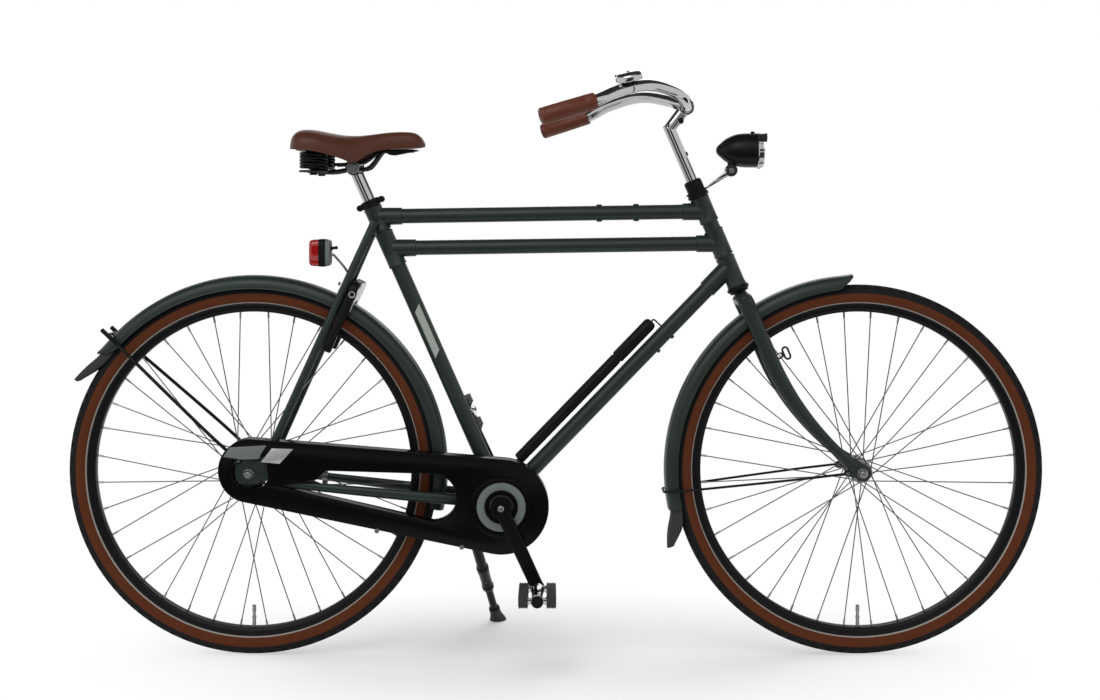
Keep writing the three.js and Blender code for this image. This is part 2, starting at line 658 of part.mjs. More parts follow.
function crownSolid() {
  const top = forkLength;
  const bottom = top - crown.height;
  const arched = top - crown.arch;
  const half = [
    [crown.neck, top], [crown.shoulder, mix(top, arched, crownShares.shoulderShare)], [crown.half, arched],
    [crown.half, bottom], [crown.innerHalf, bottom], [crown.innerHalf, crownRoof],
  ];
  const arch = [...half, ...half.map(([x, z]) => [-x, z]).reverse()];
  const quarter = new THREE.Matrix4().makeRotationZ(Math.PI / 2);
  const body = moved(plate(arch, -crown.deep, crown.deep), quarter);
  const neck = vec(0, 0, crownRoof);
  const tube = pipe(neck, vec(0, 0, headTop + steerer.rise), steerer.radius, steerer.inner);
  return onHead(join(body, tube));
}

function forkEndSolid(side) {
  const { x, z } = frontAxle;
  const outline = [
    ...arc(x, z, forkEnd.radius, -Math.PI / 2, Math.PI / 2, rodSides / 2),
    [x - forkEnd.radius / 2, z + forkEnd.stemLift],
    [x - forkEnd.radius * 2, z + forkEnd.stemLift],
    [x - forkEnd.earBack - forkEnd.ear, z + forkEnd.ear],
    [x - forkEnd.earBack - forkEnd.ear, z - forkEnd.ear],
  ];
  const body = plate(outline, forkEnd.low, forkEnd.high);
  const hole = bore(vec(x, forkEnd.low - overrun, z), vec(x, forkEnd.high + overrun, z), axleRod.radius + gap, hubSegments);
  const whole = cut(body, hole);
  return side === sides.left ? whole : mirrored(whole);
}

function anchorSolid() {
  const side = blade[1].side;
  const station = bendStation - anchor.below;
  const centre = vec(anchor.ahead, side, station);
  const root = blade[1].deep * Math.cos(Math.PI / bladeSides) + anchor.bowRoom + gap;
  const low = travel(centre, yAxis, -anchor.half);
  const high = travel(centre, yAxis, anchor.half);
  const ring = cylinder(low, high, anchor.radius, hubSegments);
  const web = block(vec(root, low.y, station - anchor.hole), vec(anchor.ahead, high.y, station + anchor.hole));
  const hole = bore(travel(low, yAxis, -overrun), travel(high, yAxis, overrun), anchor.hole, hubSegments);
  return onHead(cut(join(ring, web), hole));
}

function bladeSolid(side) {
  return join(onHead(skin(bladeRings(0, side))), forkEndSolid(side));
}

function axleSolid(centre, half, nutFrom) {
  const rod = cylinder(travel(centre, yAxis, -half), travel(centre, yAxis, half), axleRod.radius, hubSegments);
  const nuts = [sides.left, sides.right].map((side) => cylinder(
    travel(centre, yAxis, side * nutFrom), travel(centre, yAxis, side * (nutFrom + axleNut.height)), axleNut.radius, 6,
  ));
  return join(rod, ...nuts);
}

// Mudguards: a channel section carried round the wheel, with bolts, wire stays and rubber ends

const guard = { clear: 18.5, wall: 1.5, step: 8 };
const guardOuter = wheelRadius + guard.clear;
const guardSection = [
  { side: -27.5, drop: 25 }, { side: -23, drop: 7.5 }, { side: 0, drop: 0 },
  { side: 23, drop: 7.5 }, { side: 27.5, drop: 25 },
];
const frontGuard = { fromAngle: 91.8, toAngle: 192 };
const rearGuard = { fromAngle: -12, toAngle: 143 };
const frontFlap = [
  { angle: 188, lift: -3.4, shrink: 4 }, { angle: 193, lift: -3, shrink: 3 },
  { angle: 198, lift: 12, shrink: -3 }, { angle: 202.5, lift: 24, shrink: 12 },
];
const rearFlap = [
  { angle: 139.5, lift: -3.4, shrink: 4 }, { angle: 144, lift: -3, shrink: 4 },
  { angle: 149, lift: 6, shrink: 7 }, { angle: 153.5, lift: 14, shrink: 16 },
];
const flapWall = 2.6;
const guardBolt = { radius: 4.5 };
const wire = { front: 2.4, rear: 3.4, clear: 1.2 };

function guardRing(centre, angle, outer, wall, shrink) {
  const turn = radians(angle);
  const place = (side, radius) => offset(centre, radius * Math.cos(turn), side, radius * Math.sin(turn));
  const width = guardSection[guardSection.length - 1].side;
  const ease = (side, by) => side * (1 - by / width);
  const top = guardSection.map(({ side, drop }) => place(ease(side, shrink), outer - drop));
  const low = guardSection.map(({ side, drop }) => {
    const edge = Math.abs(side) > width / 2 ? 0 : wall;
    return place(ease(side, shrink + (edge ? 0 : wall)), outer - drop - (drop < width / 2 ? wall : edge));
  });
  return [...top, ...low.reverse()];
}

const sectionEnds = filled(guardRing(vec(0, 0, 0), 90, guardOuter, guard.wall, 0).map((p) => [p.y, p.z]));

function guardSolid(centre, { fromAngle, toAngle }) {
  const count = Math.round((toAngle - fromAngle) / guard.step);
  const rings = Array.from({ length: count + 1 }, (_, i) =>
    guardRing(centre, mix(fromAngle, toAngle, i / count), guardOuter, guard.wall, 0));
  return skin(rings, sectionEnds);
}

function flapSolid(centre, stations) {
  const rings = stations.map(({ angle, lift, shrink }) => guardRing(centre, angle, guardOuter + lift, flapWall, shrink));
  return skin(rings, sectionEnds);
}

function guardBoltSolid(centre, target, reach) {
  const outwards = target.clone().sub(centre).normalize();
  const from = travel(centre, outwards, guardOuter - guard.wall);
  return cylinder(from, travel(centre, outwards, reach), guardBolt.radius, rodSides);
}

function frontGuardSolid() {
  const roof = headAt(crownRoof);
  const bolt = guardBoltSolid(frontAxle, roof, roof.distanceTo(frontAxle) + guardBolt.radius);
  const reach = guardBolt.radius * 3;
  const above = onHead(block(vec(-reach, -reach, crownRoof - gap), vec(reach, reach, crownRoof + reach)));
  return join(guardSolid(frontAxle, frontGuard), cut(bolt, above));
}

function rearGuardSolid() {
  const lowBridge = vec(mix(bracket.x, rearAxle.x, stayBridge.lowShare), 0, bracket.z + lowBridgeLift);
  const high = bridgeCentre.clone().sub(rearAxle).length() - stayBridge.radius - gap;
  const low = lowBridge.clone().sub(rearAxle).length() - stayBridge.low - gap;
  return join(guardSolid(rearAxle, rearGuard), guardBoltSolid(rearAxle, bridgeCentre, high),
    guardBoltSolid(rearAxle, lowBridge, low));
}

const frontStayEye = { radius: 5.5, height: 3 };
const rearStayEye = { radius: 6.5, height: 3.4 };
const rearStayAngle = 136.5;
const frontStayAngle = 186.3;

// A wire from an eye at the axle to the guard's edge, over the guard and back down the other side
function guardStaySolid(centre, eye, eyeSize, seatY, angle, radius, extra = 0) {
  const turn = radians(angle);
  const out = (reach, side) => offset(centre, reach * Math.cos(turn), side, reach * Math.sin(turn));
  const edge = guardSection[guardSection.length - 1].side + radius + wire.clear;
  const wireY = seatY + radius + running;
  const leg = [
    vec(eye.x, wireY, eye.z),
    vec(mix(eye.x, out(guardOuter, 0).x, 1 / 4), wireY, mix(eye.z, out(guardOuter, 0).z, 1 / 4)),
    out(guardOuter - guardSection[0].drop / 2, edge),
    out(guardOuter + radius - wire.clear, edge * (2 / 3)),
  ];
  const middle = out(guardOuter + radius + wire.clear, 0);
  const path = [...leg, middle, ...leg.map((p) => vec(p.x, -p.y, p.z)).reverse()];
  const eyes = [sides.left, sides.right].map((side) => cylinder(
    vec(eye.x, side * seatY, eye.z), vec(eye.x, side * (seatY + eyeSize.height), eye.z), eyeSize.radius, rodSides,
  ));
  return join(bentRod(path, radius + extra, wireSides, wireSteps), ...eyes);
}

const wireSteps = 20;
const wireSides = 5;
const frontEye = offset(frontAxle, -forkEnd.earBack, 0, 0);
const rearEye = offset(rearAxle, -dropout.eyeletBack, 0, dropout.eyeletLift);

const frontGuardPiece = frontGuardSolid();
const rearGuardPiece = rearGuardSolid();
const rearStaySolid = (extra) => guardStaySolid(rearAxle, rearEye, rearStayEye,
  dropout.middle + dropout.half + gap, rearStayAngle, wire.rear, extra);
piece(bike, 'headset_cups', blackPaint, headsetRing(forkLength + gap, headsetLow));
piece(bike, 'fork', greenPaint, join(crownSolid(), bladeSolid(sides.right), bladeSolid(sides.left)));
piece(bike, 'lock_anchor', chromePlate, anchorSolid());
piece(bike, 'front_axle', dullSteel, axleSolid(frontAxle, forkEnd.high + axleNut.height + axleNut.overhang, forkEnd.high + gap));
piece(bike, 'front_mudguard', greenPaint, frontGuardPiece);
piece(bike, 'front_mudguard_flap', blackRubber, flapSolid(frontAxle, frontFlap));
piece(bike, 'front_mudguard_stay', blackPaint,
  guardStaySolid(frontAxle, frontEye, frontStayEye, forkEnd.high + gap, frontStayAngle, wire.front));
piece(bike, 'rear_mudguard', greenPaint, rearGuardPiece);
piece(bike, 'rear_mudguard_flap', blackRubber, flapSolid(rearAxle, rearFlap));
piece(bike, 'rear_mudguard_stay', blackPaint, rearStaySolid(0));

// Stem, handlebar, grips, bell and headlamp

const barPoints = [
  { ahead: 0, side: 0, lift: 0 }, { ahead: -2, side: 45, lift: 2.5 }, { ahead: -19, side: 98, lift: 17 },
  { ahead: -78, side: 160, lift: 30 }, { ahead: -140, side: 218, lift: 16 }, { ahead: -183, side: 252, lift: -4 },
];
const gripStart = barPoints[barPoints.length - 1];
const gripEnd = { ahead: -279, side: 279, lift: -34 };
const bar = { radius: 11.1, steps: 26, sides: 8 };
const stem = { insert: 45, rise: 145, radius: 11.1, head: 12.4, clamp: 15.6, clampHalf: 17, screw: 3, screwRise: 91 };
const stemHead = { rise: 170.5, ahead: 45 };
const stemBend = headTop + stem.rise;
const grip = { radius: 15.2, ring: 16.6, end: 17.2, cap: 3.4 };
const gripShares = { frontShare: 0.3, rearShare: 0.86, lipShare: 0.03 };

const barCentre = travel(headAt(headTop + stemHead.rise), headForward, stemHead.ahead);
const barPoint = ({ ahead, side, lift }, hand) => offset(barCentre, ahead, hand * side, lift);

function barSolid(extra) {
  const far = barPoint(gripEnd, 1);
  const near = barPoint(gripStart, 1);
  const lead = between(near, far, gripShares.lipShare);
  const half = [...barPoints.map((p) => barPoint(p, 1)), lead];
  const path = [...half.slice(1).reverse().map((p) => vec(p.x, -p.y, p.z)), ...half];
  const curve = new THREE.CatmullRomCurve3(path, false, 'centripetal');
  const middle = sweep(curve, bar.radius + extra, bar.sides, bar.steps);
  const end = cylinder(between(near, far, gripShares.lipShare / 2), far, bar.radius + extra, bar.sides);
  return join(middle, bothSides(end));
}

function gripSolid(hand) {
  const from = barPoint(gripStart, hand);
  const to = barPoint(gripEnd, hand);
  const length = from.distanceTo(to);
  const line = (share) => length * share;
  const body = turned([
    [0, line(gripShares.lipShare) + overrun], [grip.ring, line(gripShares.lipShare) + overrun],
    [grip.radius, line(gripShares.frontShare) - overrun * 2], [grip.ring, line(gripShares.frontShare)],
    [grip.radius, line(gripShares.frontShare) + overrun * 2], [grip.radius, line(gripShares.rearShare) - overrun],
    [grip.ring, line(gripShares.rearShare)], [grip.end, length], [grip.radius, length + grip.cap],
    [0, length + grip.cap],
  ], from, to);
  return cut(body, bore(from, travel(to, to.clone().sub(from).normalize(), gap), bar.radius + gap, bar.sides), barRoom);
}

function stemSolid() {
  const quill = cylinder(headAt(headTop - stem.insert), headAt(stemBend), stem.radius);
  const lowBend = headAt(stemBend - stem.head);
  const neck = bentRod([lowBend, headAt(stemBend), barCentre], stem.head, 10, 5);
  const clamp = cylinder(travel(barCentre, yAxis, -stem.clampHalf), travel(barCentre, yAxis, stem.clampHalf), stem.clamp);
  const screwRoot = headAt(headTop + stem.screwRise);
  const screwTip = travel(screwRoot, headForward, stem.radius + stem.screw / 2);
  return cut(join(quill, neck, clamp, cylinder(screwRoot, screwTip, stem.screw, rodSides)), barRoom);
}

const barRoom = barSolid(gap);

const bellAt = { ahead: -116, side: 197, lift: 23.5 };
const bellUp = { ahead: 0.12, side: 0.3, lift: 1 };
const bell = { radius: 25, skirt: 3, low: 16.5, height: 14, roof: 15, clamp: 14, clampHalf: 6, post: 4 };
const bellPin = { side: 17, radius: 1.6, bottom: 9, head: 3, headHeight: 1.2 };
const bellLever = { radius: 4, thickness: 2.6, reach: 22, width: 4, rise: 1.6 };

const bellCentre = offset(barCentre, bellAt.ahead, -bellAt.side, bellAt.lift);
const bellAxis = vec(bellUp.ahead, -bellUp.side, bellUp.lift).normalize();
const barAlong = vec(-1, -1, 0).addScaledVector(bellAxis, vec(1, 1, 0).dot(bellAxis)).normalize();
const bellAcross = new THREE.Vector3().crossVectors(bellAxis, barAlong).normalize();
const bellPinFoot = travel(bellCentre, bellAcross, -bellPin.side);

function bellSolid() {
  const up = (height) => travel(bellCentre, bellAxis, height);
  const dome = turned([
    [0, bell.low], [bell.radius, bell.low], [bell.radius, bell.low + bell.skirt],
    [bell.radius * (5 / 6), bell.low + bell.height * (2 / 3)], [bell.radius / 2, bell.low + bell.height],
    [0, bell.low + bell.roof],
  ], bellCentre, up(1), tubeSides);
  const band = cylinder(travel(bellCentre, barAlong, -bell.clampHalf), travel(bellCentre, barAlong, bell.clampHalf), bell.clamp);
  const post = cylinder(up(0), up(bell.low + bell.skirt), bell.post, rodSides);
  const pin = cylinder(travel(bellPinFoot, bellAxis, bellPin.bottom), travel(bellPinFoot, bellAxis, bell.low + bell.skirt), bellPin.radius, rodSides);
  const head = cylinder(travel(bellPinFoot, bellAxis, bellPin.bottom), travel(bellPinFoot, bellAxis, bellPin.bottom + bellPin.headHeight), bellPin.head, rodSides);
  return cut(join(dome, band, post, pin, head), barRoom);
}

function bellLeverSolid() {
  const low = bellPin.bottom + bellPin.headHeight + gap;
  const from = travel(bellPinFoot, bellAxis, low);
  const to = travel(bellPinFoot, bellAxis, low + bellLever.thickness);
  const disc = cylinder(from, to, bellLever.radius, rodSides);
  const middle = between(from, to, 1 / 2);
  const arm = cylinder(middle, travel(middle, bellAcross, -bellLever.reach), bellLever.thickness / 2, rodSides);
  const padAt = travel(middle, bellAcross, -bellLever.reach);
  const pad = cylinder(travel(padAt, bellAxis, -bellLever.rise), travel(padAt, bellAxis, bellLever.rise), bellLever.width, rodSides);
  return cut(join(disc, arm, pad), bore(travel(from, bellAxis, -overrun), travel(to, bellAxis, overrun), bellPin.radius + gap, rodSides));
}

const lamp = { ahead: 36.7, lift: 82.05, depth: 79, radius: 33.5, wall: 1.6 };
const lampShares = [
  { share: 0, widthShare: 0.06 }, { share: 0.1, widthShare: 0.26 }, { share: 0.24, widthShare: 0.56 },
  { share: 0.42, widthShare: 0.8 }, { share: 0.68, widthShare: 0.95 }, { share: 1, widthShare: 1 },
];
const lampRim = { height: 8, radius: 34.6, lip: 3.4, visor: 15.6, visorWall: 1.5 };
const lampLens = { height: 3, bulge: 3.5 };
const lampPivot = { ahead: 29.4, drop: 39, radius: 3, lug: 7, lugHalf: 5.4, cheek: 9, cheekHalf: 9.4 };
const lampArm = { width: 15, wall: 3.4, footAhead: 22.5, kneeAhead: 14, kneeDrop: 6 };
const lampRing = { rise: 0.4, height: 3.2, radius: 21.5 };
const locknutBottom = headTop + gap;
const lampRingBottom = locknutBottom + locknut.flangeHeight + lampRing.rise;

const lampTip = offset(headAt(lampRingBottom), lamp.ahead, 0, lamp.lift);
const lampFace = offset(lampTip, lamp.depth, 0, 0);
const lampPin = offset(lampTip, lampPivot.ahead, 0, -lampPivot.drop);

function lampSolid() {
  const outer = lampShares.map(({ share, widthShare }) => [lamp.radius * widthShare, lamp.depth * share]);
  const inner = outer.slice(1).map(([r, y]) => [r - lamp.wall, y === lamp.depth ? y : y + lamp.wall]).reverse();
  const shellBody = turned([...outer, ...inner, [0, outer[1][1] + lamp.wall], [0, 0], outer[0]], lampTip, lampFace, tubeSides);
  const lugTop = offset(lampPin, 0, 0, lampPivot.drop / 2);
  const lug = block(
    offset(lampPin, -lampPivot.lug, -lampPivot.lugHalf, 0), offset(lugTop, lampPivot.lug, lampPivot.lugHalf, 0),
  );
  const round = cylinder(travel(lampPin, yAxis, -lampPivot.lugHalf), travel(lampPin, yAxis, lampPivot.lugHalf), lampPivot.lug, hubSegments);
  const hole = bore(travel(lampPin, yAxis, -lampPivot.cheekHalf), travel(lampPin, yAxis, lampPivot.cheekHalf), lampPivot.radius + gap, rodSides);
  const room = turned([...inner.slice().reverse().map(([r, y]) => [r + gap, y]), [0, lamp.depth], [0, outer[1][1]], [inner[inner.length - 1][0] + gap, inner[inner.length - 1][1]]],
    lampTip, lampFace, tubeSides);
  return cut(join(shellBody, cut(join(lug, round), room)), hole);
}

function lampRimSolid() {
  const at = (length) => offset(lampFace, length, 0, 0);
  const ring = pipe(at(gap), at(lampRim.height), lampRim.radius, lampRim.radius - lampRim.lip, tubeSides);
  const hood = pipe(at(lampRim.height / 2), at(lampRim.visor), lampRim.radius, lampRim.radius - lampRim.visorWall, tubeSides);
  const reach = lampRim.radius + overrun;
  const upper = block(offset(at(0), 0, -reach, lampRim.height), offset(at(lampRim.visor), overrun, reach, reach));
  return join(ring, hood.intersect(upper));
}

function locknutSolid() {
  const hole = steerer.radius + running;
  const { radius, height, chamfer, flange, step, flangeHeight } = locknut;
  return turned([
    [hole, 0], [flange, 0], [flange, step], [radius, flangeHeight], [radius, height - chamfer],
    [radius - chamfer, height], [hole, height], [hole, 0],
  ], headAt(locknutBottom), headAt(locknutBottom + height));
}

function lampLensSolid() {
  const r = lampRim.radius - lampRim.lip - gap;
  const at = (length) => offset(lampFace, length, 0, 0);
  return turned([[0, 0], [r, 0], [r, lampLens.height], [r / 2, lampLens.height + lampLens.bulge * (3 / 4)],
    [0, lampLens.height + lampLens.bulge]], at(1), at(lamp.depth), tubeSides);
}

function lampBracketSolid() {
  const low = headAt(lampRingBottom);
  const high = headAt(lampRingBottom + lampRing.height);
  const ring = pipe(low, high, lampRing.radius, locknut.radius + gap);
  const foot = travel(low, headForward, lampArm.footAhead);
  const knee = offset(lampPin, -lampArm.kneeAhead, 0, -lampArm.kneeDrop);
  const strip = (from, to) => {
    const across = vec(-(to.z - from.z), 0, to.x - from.x).normalize();
    const edge = (p, by) => travel(p, across, by);
    const outline = [edge(from, 0), edge(to, 0), edge(to, lampArm.wall), edge(from, lampArm.wall)];
    return plate(outline.map((p) => [p.x, p.z]), -lampArm.width / 2, lampArm.width / 2);
  };
  const overlap = travel(foot, headForward, -lampArm.wall);
  const cheeks = [sides.left, sides.right].map((side) => {
    const near = travel(lampPin, yAxis, side * (lampPivot.lugHalf + gap));
    const far = travel(lampPin, yAxis, side * lampPivot.cheekHalf);
    const tab = block(
      vec(knee.x - lampArm.wall, Math.min(near.y, far.y), knee.z - lampArm.wall),
      vec(lampPin.x, Math.max(near.y, far.y), lampPin.z + lampArm.wall),
    );
    return join(cylinder(near, far, lampPivot.cheek, hubSegments), tab);
  });
  const pin = cylinder(travel(lampPin, yAxis, -lampPivot.lugHalf - overrun), travel(lampPin, yAxis, lampPivot.lugHalf + overrun), lampPivot.radius, rodSides);
  return join(ring, strip(overlap, knee), ...cheeks, pin);
}

piece(bike, 'headlamp_bracket', chromePlate, lampBracketSolid());
piece(bike, 'headset_locknut', blackPaint, locknutSolid());
piece(bike, 'stem', chromePlate, stemSolid());
piece(bike, 'handlebar', chromePlate, barSolid(0));
piece(bike, 'right_grip', gripLeather, gripSolid(sides.right));
piece(bike, 'left_grip', gripLeather, gripSolid(sides.left));
piece(bike, 'bell', chromePlate, bellSolid());
piece(bike, 'bell_lever', blackPaint, bellLeverSolid());
piece(bike, 'headlamp_body', blackGloss, lampSolid());
piece(bike, 'headlamp_rim', chromePlate, lampRimSolid());
piece(bike, 'headlamp_lens', clearLens, lampLensSolid());

// Chain drive: sprockets, chain, cranks and pedals, with the whole run at one distance from the middle

const chain = { pitch: 12.7, line: 45, plateIn: 1.75, plateOut: 2.95, half: 4.2, roller: 3.5, links: 38, runStep: 8 };
const ringGear = { teeth: 38, half: 1.45 };
const rearGear = { teeth: 19, half: 1.45 };
const tooth = { root: 4.5, tip: 3.4, rootShare: 0.29 };
const driver = { radius: 17, inFace: 39.8, outFace: 53.9 };
const sleeve = { radius: 14.5 };
const crank = { low: 72.5, high: 84.5, boss: 20, eye: 13, waist: 11.5, bolt: 6, boltHeight: 2 };

const pitchRadius = (teeth) => chain.pitch / (2 * Math.sin(Math.PI / teeth));
const gearLine = Math.atan2(rearAxle.z - bracket.z, rearAxle.x - bracket.x);
const gearReach = Math.hypot(rearAxle.x - bracket.x, rearAxle.z - bracket.z);
const gearLean = Math.asin((pitchRadius(ringGear.teeth) - pitchRadius(rearGear.teeth)) / gearReach);
const inPlane = (centre, radius, angle) => [centre.x + radius * Math.cos(angle), centre.z + radius * Math.sin(angle)];

// The rollers that lie in a gear's gaps, spread evenly about the middle of its arc
function seatedRollers(centre, teeth, middle, count) {
  const step = (2 * Math.PI) / teeth;
  return Array.from({ length: count + 1 }, (_, i) =>
    inPlane(centre, pitchRadius(teeth), middle + (i - count / 2) * step));
}

const ringWrap = Math.round(((Math.PI + 2 * gearLean) / (2 * Math.PI)) * ringGear.teeth);
const rearWrap = Math.round(((Math.PI - 2 * gearLean) / (2 * Math.PI)) * rearGear.teeth);
const ringRollers = seatedRollers(bracket, ringGear.teeth, gearLine + Math.PI, ringWrap);
const rearRollers = seatedRollers(rearAxle, rearGear.teeth, gearLine, rearWrap);

// Rollers on a straight run, leaving out most of them because the case hides the run
function runRollers([x1, z1], [x2, z2]) {
  const count = Math.round(chain.links / chain.runStep);
  return Array.from({ length: count - 1 }, (_, i) => {
    const share = (i + 1) / count;
    return [mix(x1, x2, share), mix(z1, z2, share)];
  });
}

function loopAround(points, reach) {
  return points.map(([x, z], i) => {
    const [bx, bz] = points[(i + points.length - 1) % points.length];
    const [ax, az] = points[(i + 1) % points.length];
    const length = Math.hypot(ax - bx, az - bz);
    return [x + (reach * (az - bz)) / length, z - (reach * (ax - bx)) / length];
  });
}

function chainSolid() {
  const loop = [...ringRollers, ...rearRollers];
  const outer = loopAround(loop, chain.half);
  const inner = loopAround(loop, -chain.half);
  const band = (low, high) => plate(outer, low, high, [inner]);
  const runs = [
    runRollers(ringRollers[ringRollers.length - 1], rearRollers[0]),
    runRollers(rearRollers[rearRollers.length - 1], ringRollers[0]),
  ];
  const rollers = [...loop, ...runs.flat()].map(([x, z]) =>
    cylinder(vec(x, -chain.line - chain.plateIn - gap, z), vec(x, -chain.line + chain.plateIn + gap, z), chain.roller, 4));
  return join(
    band(-chain.line - chain.plateOut, -chain.line - chain.plateIn),
    band(-chain.line + chain.plateIn, -chain.line + chain.plateOut), ...rollers,
  );
}

// A toothed disc whose gaps are lined up with the rollers that it holds
function gearSolid(centre, { teeth, half }, middle, wrap) {
  const step = (2 * Math.PI) / teeth;
  const first = middle + (wrap % 2 === 0 ? 1 / 2 : 0) * step;
  const radius = pitchRadius(teeth);
  const outline = Array.from({ length: teeth }, (_, i) => {
    const angle = first + i * step;
    return [
      inPlane(centre, radius - tooth.root, angle - tooth.rootShare * step),
      inPlane(centre, radius + tooth.tip, angle),
      inPlane(centre, radius - tooth.root, angle + tooth.rootShare * step),
    ];
  }).flat();
  return plate(outline, -chain.line - half, -chain.line + half);
}

const across = (centre, low, high, radius, count) =>
  cylinder(vec(centre.x, low, centre.z), vec(centre.x, high, centre.z), radius, count);
const acrossBore = (centre, low, high, radius, count) =>
  bore(vec(centre.x, low - overrun, centre.z), vec(centre.x, high + overrun, centre.z), radius, count);

function rearSprocketSolid() {
  const gear = gearSolid(rearAxle, rearGear, gearLine, rearWrap);
  const carrier = across(rearAxle, -driver.outFace, -driver.inFace, driver.radius, hubSegments);
  return cut(join(gear, carrier), acrossBore(rearAxle, -driver.outFace, -driver.inFace, axleRod.radius + running, hubSegments));
}

const crankVector = vec(Math.sin(radians(crankTilt)), 0, -Math.cos(radians(crankTilt))).multiplyScalar(crankLength);
const pedalCentre = { right: bracket.clone().add(crankVector), left: bracket.clone().sub(crankVector) };
const pedal = {
  inner: 88, outer: 185, plate: 2.2, barrel: 10.5, barrelEnd: 8.2, spindle: 4.8, tip: 181.5, cap: 188.5, capRadius: 8.5,
};
const treads = { near: 18.5, far: 34.8, half: 20, plateFar: 33.5, plateHalf: 15.5 };
const leftPedalTurn = 66.1; // degrees, so that it hides behind the seat tube as in the photograph

function armSolid(side) {
  const eye = side === sides.right ? pedalCentre.right : pedalCentre.left;
  const between2 = (share) => ({ x: mix(bracket.x, eye.x, share), z: mix(bracket.z, eye.z, share) });
  const flat = (first, second) => plate(belt(first, second, 5), crank.low, crank.high);
  const upper = flat({ ...between2(0), radius: crank.waist }, { ...between2(1), radius: crank.eye });
  const boss = across(bracket, crank.low, crank.high + crank.boltHeight, crank.boss, tubeSides);
  const spindle = across(eye, crank.low + overrun, pedal.tip, pedal.spindle, rodSides);
  const body = join(upper, boss, spindle);
  return side === sides.left ? body : mirrored(body);
}

const axleRoom = acrossBore(bracket, -crank.high + overrun * 2, crank.high - overrun * 2, bracketAxle.radius + gap, tubeSides);

function rightCrankSolid() {
  const gear = gearSolid(bracket, ringGear, gearLine + Math.PI, ringWrap);
  const tube = across(bracket, -crank.low - overrun, -chain.line + ringGear.half, sleeve.radius, tubeSides);
  return cut(join(gear, tube, armSolid(sides.right)), axleRoom);
}

function pedalFrame(side) {
  const at = (low, high, radius, count, end) => cylinder(vec(0, low, 0), vec(0, high, 0), radius, count, end);
  const end = (low) => plate([
    [-treads.plateFar, -treads.plateHalf / 2], [-treads.near, -treads.plateHalf], [treads.near, -treads.plateHalf],
    [treads.plateFar, -treads.plateHalf / 2], [treads.plateFar, treads.plateHalf / 2], [treads.near, treads.plateHalf],
    [-treads.near, treads.plateHalf], [-treads.plateFar, treads.plateHalf / 2],
  ], low, low + pedal.plate);
  const barrel = at(pedal.inner, pedal.outer, pedal.barrel, rodSides, pedal.barrelEnd);
  const cap = at(pedal.outer - overrun, pedal.cap, pedal.capRadius, rodSides);
  const body = join(barrel, cap, end(pedal.inner), end(pedal.outer - pedal.plate));
  const hole = bore(vec(0, pedal.inner - overrun, 0), vec(0, pedal.tip + gap, 0), pedal.spindle + gap, rodSides);
  return pedalPlaced(cut(body, hole), side);
}

function pedalTreads(side) {
  const low = pedal.inner + pedal.plate + gap;
  const high = pedal.outer - pedal.plate - gap;
  const blocks = [-1, 1].map((end) => block(
    vec(Math.min(end * treads.near, end * treads.far), low, -treads.half),
    vec(Math.max(end * treads.near, end * treads.far), high, treads.half),
  ));
  const tie = block(vec(-treads.near - overrun, low, barrelRoom), vec(treads.near + overrun, low + treads.half, barrelRoom + overrun));
  return pedalPlaced(join(...blocks, tie), side);
}

const barrelRoom = 11.4;

function pedalPlaced(solid, side) {
  const centre = side === sides.right ? pedalCentre.right : pedalCentre.left;
  const turn = side === sides.right ? 0 : radians(leftPedalTurn);
  const sided = side === sides.right ? mirrored(solid) : solid;
  return moved(sided, new THREE.Matrix4().makeRotationY(turn).setPosition(centre.x, 0, centre.z));
}

// Chain case: a closed box with a slot round the chain stay, cut open for the stays, hub and crank

const chainCase = { inner: 39, outer: 68, wall: 1.5, front: 90.5, rear: 60.5, rearAhead: 4, rearLift: 7, bossRadius: 30 };
const slotCorners = [
  { share: 0.875, rise: -14.8 }, { share: 0.728, rise: 6.4 }, { share: 0.694, rise: 26 }, { share: 0.282, rise: 45.6 },
];
const slotEnd = { share: 0.272, rise: 0.8, radius: 45.5, fromAngle: 84, toAngle: -88 };
const caseDisc = { radius: 59, height: 2.4, ringInner: 31.4, ringOuter: 46.8, ringHeight: 1.2, lift: -1 };
const rearWindow = { behind: 32, ahead: 40, low: -24, high: 40, hub: 36 };
const caseRoom = 1.4;
const slotSteps = 6;

function caseSlot(grow) {
  const onRun = ({ share, rise }) => [mix(bracket.x, rearAxle.x, share), mix(bracket.z, rearAxle.z, share) + rise];
  const [endX, endZ] = onRun(slotEnd);
  const end = arc(endX, endZ, slotEnd.radius, radians(slotEnd.fromAngle), radians(slotEnd.toAngle), slotSteps);
  const corners = slotCorners.map(onRun);
  return loopAround([...corners, ...end], -grow);
}

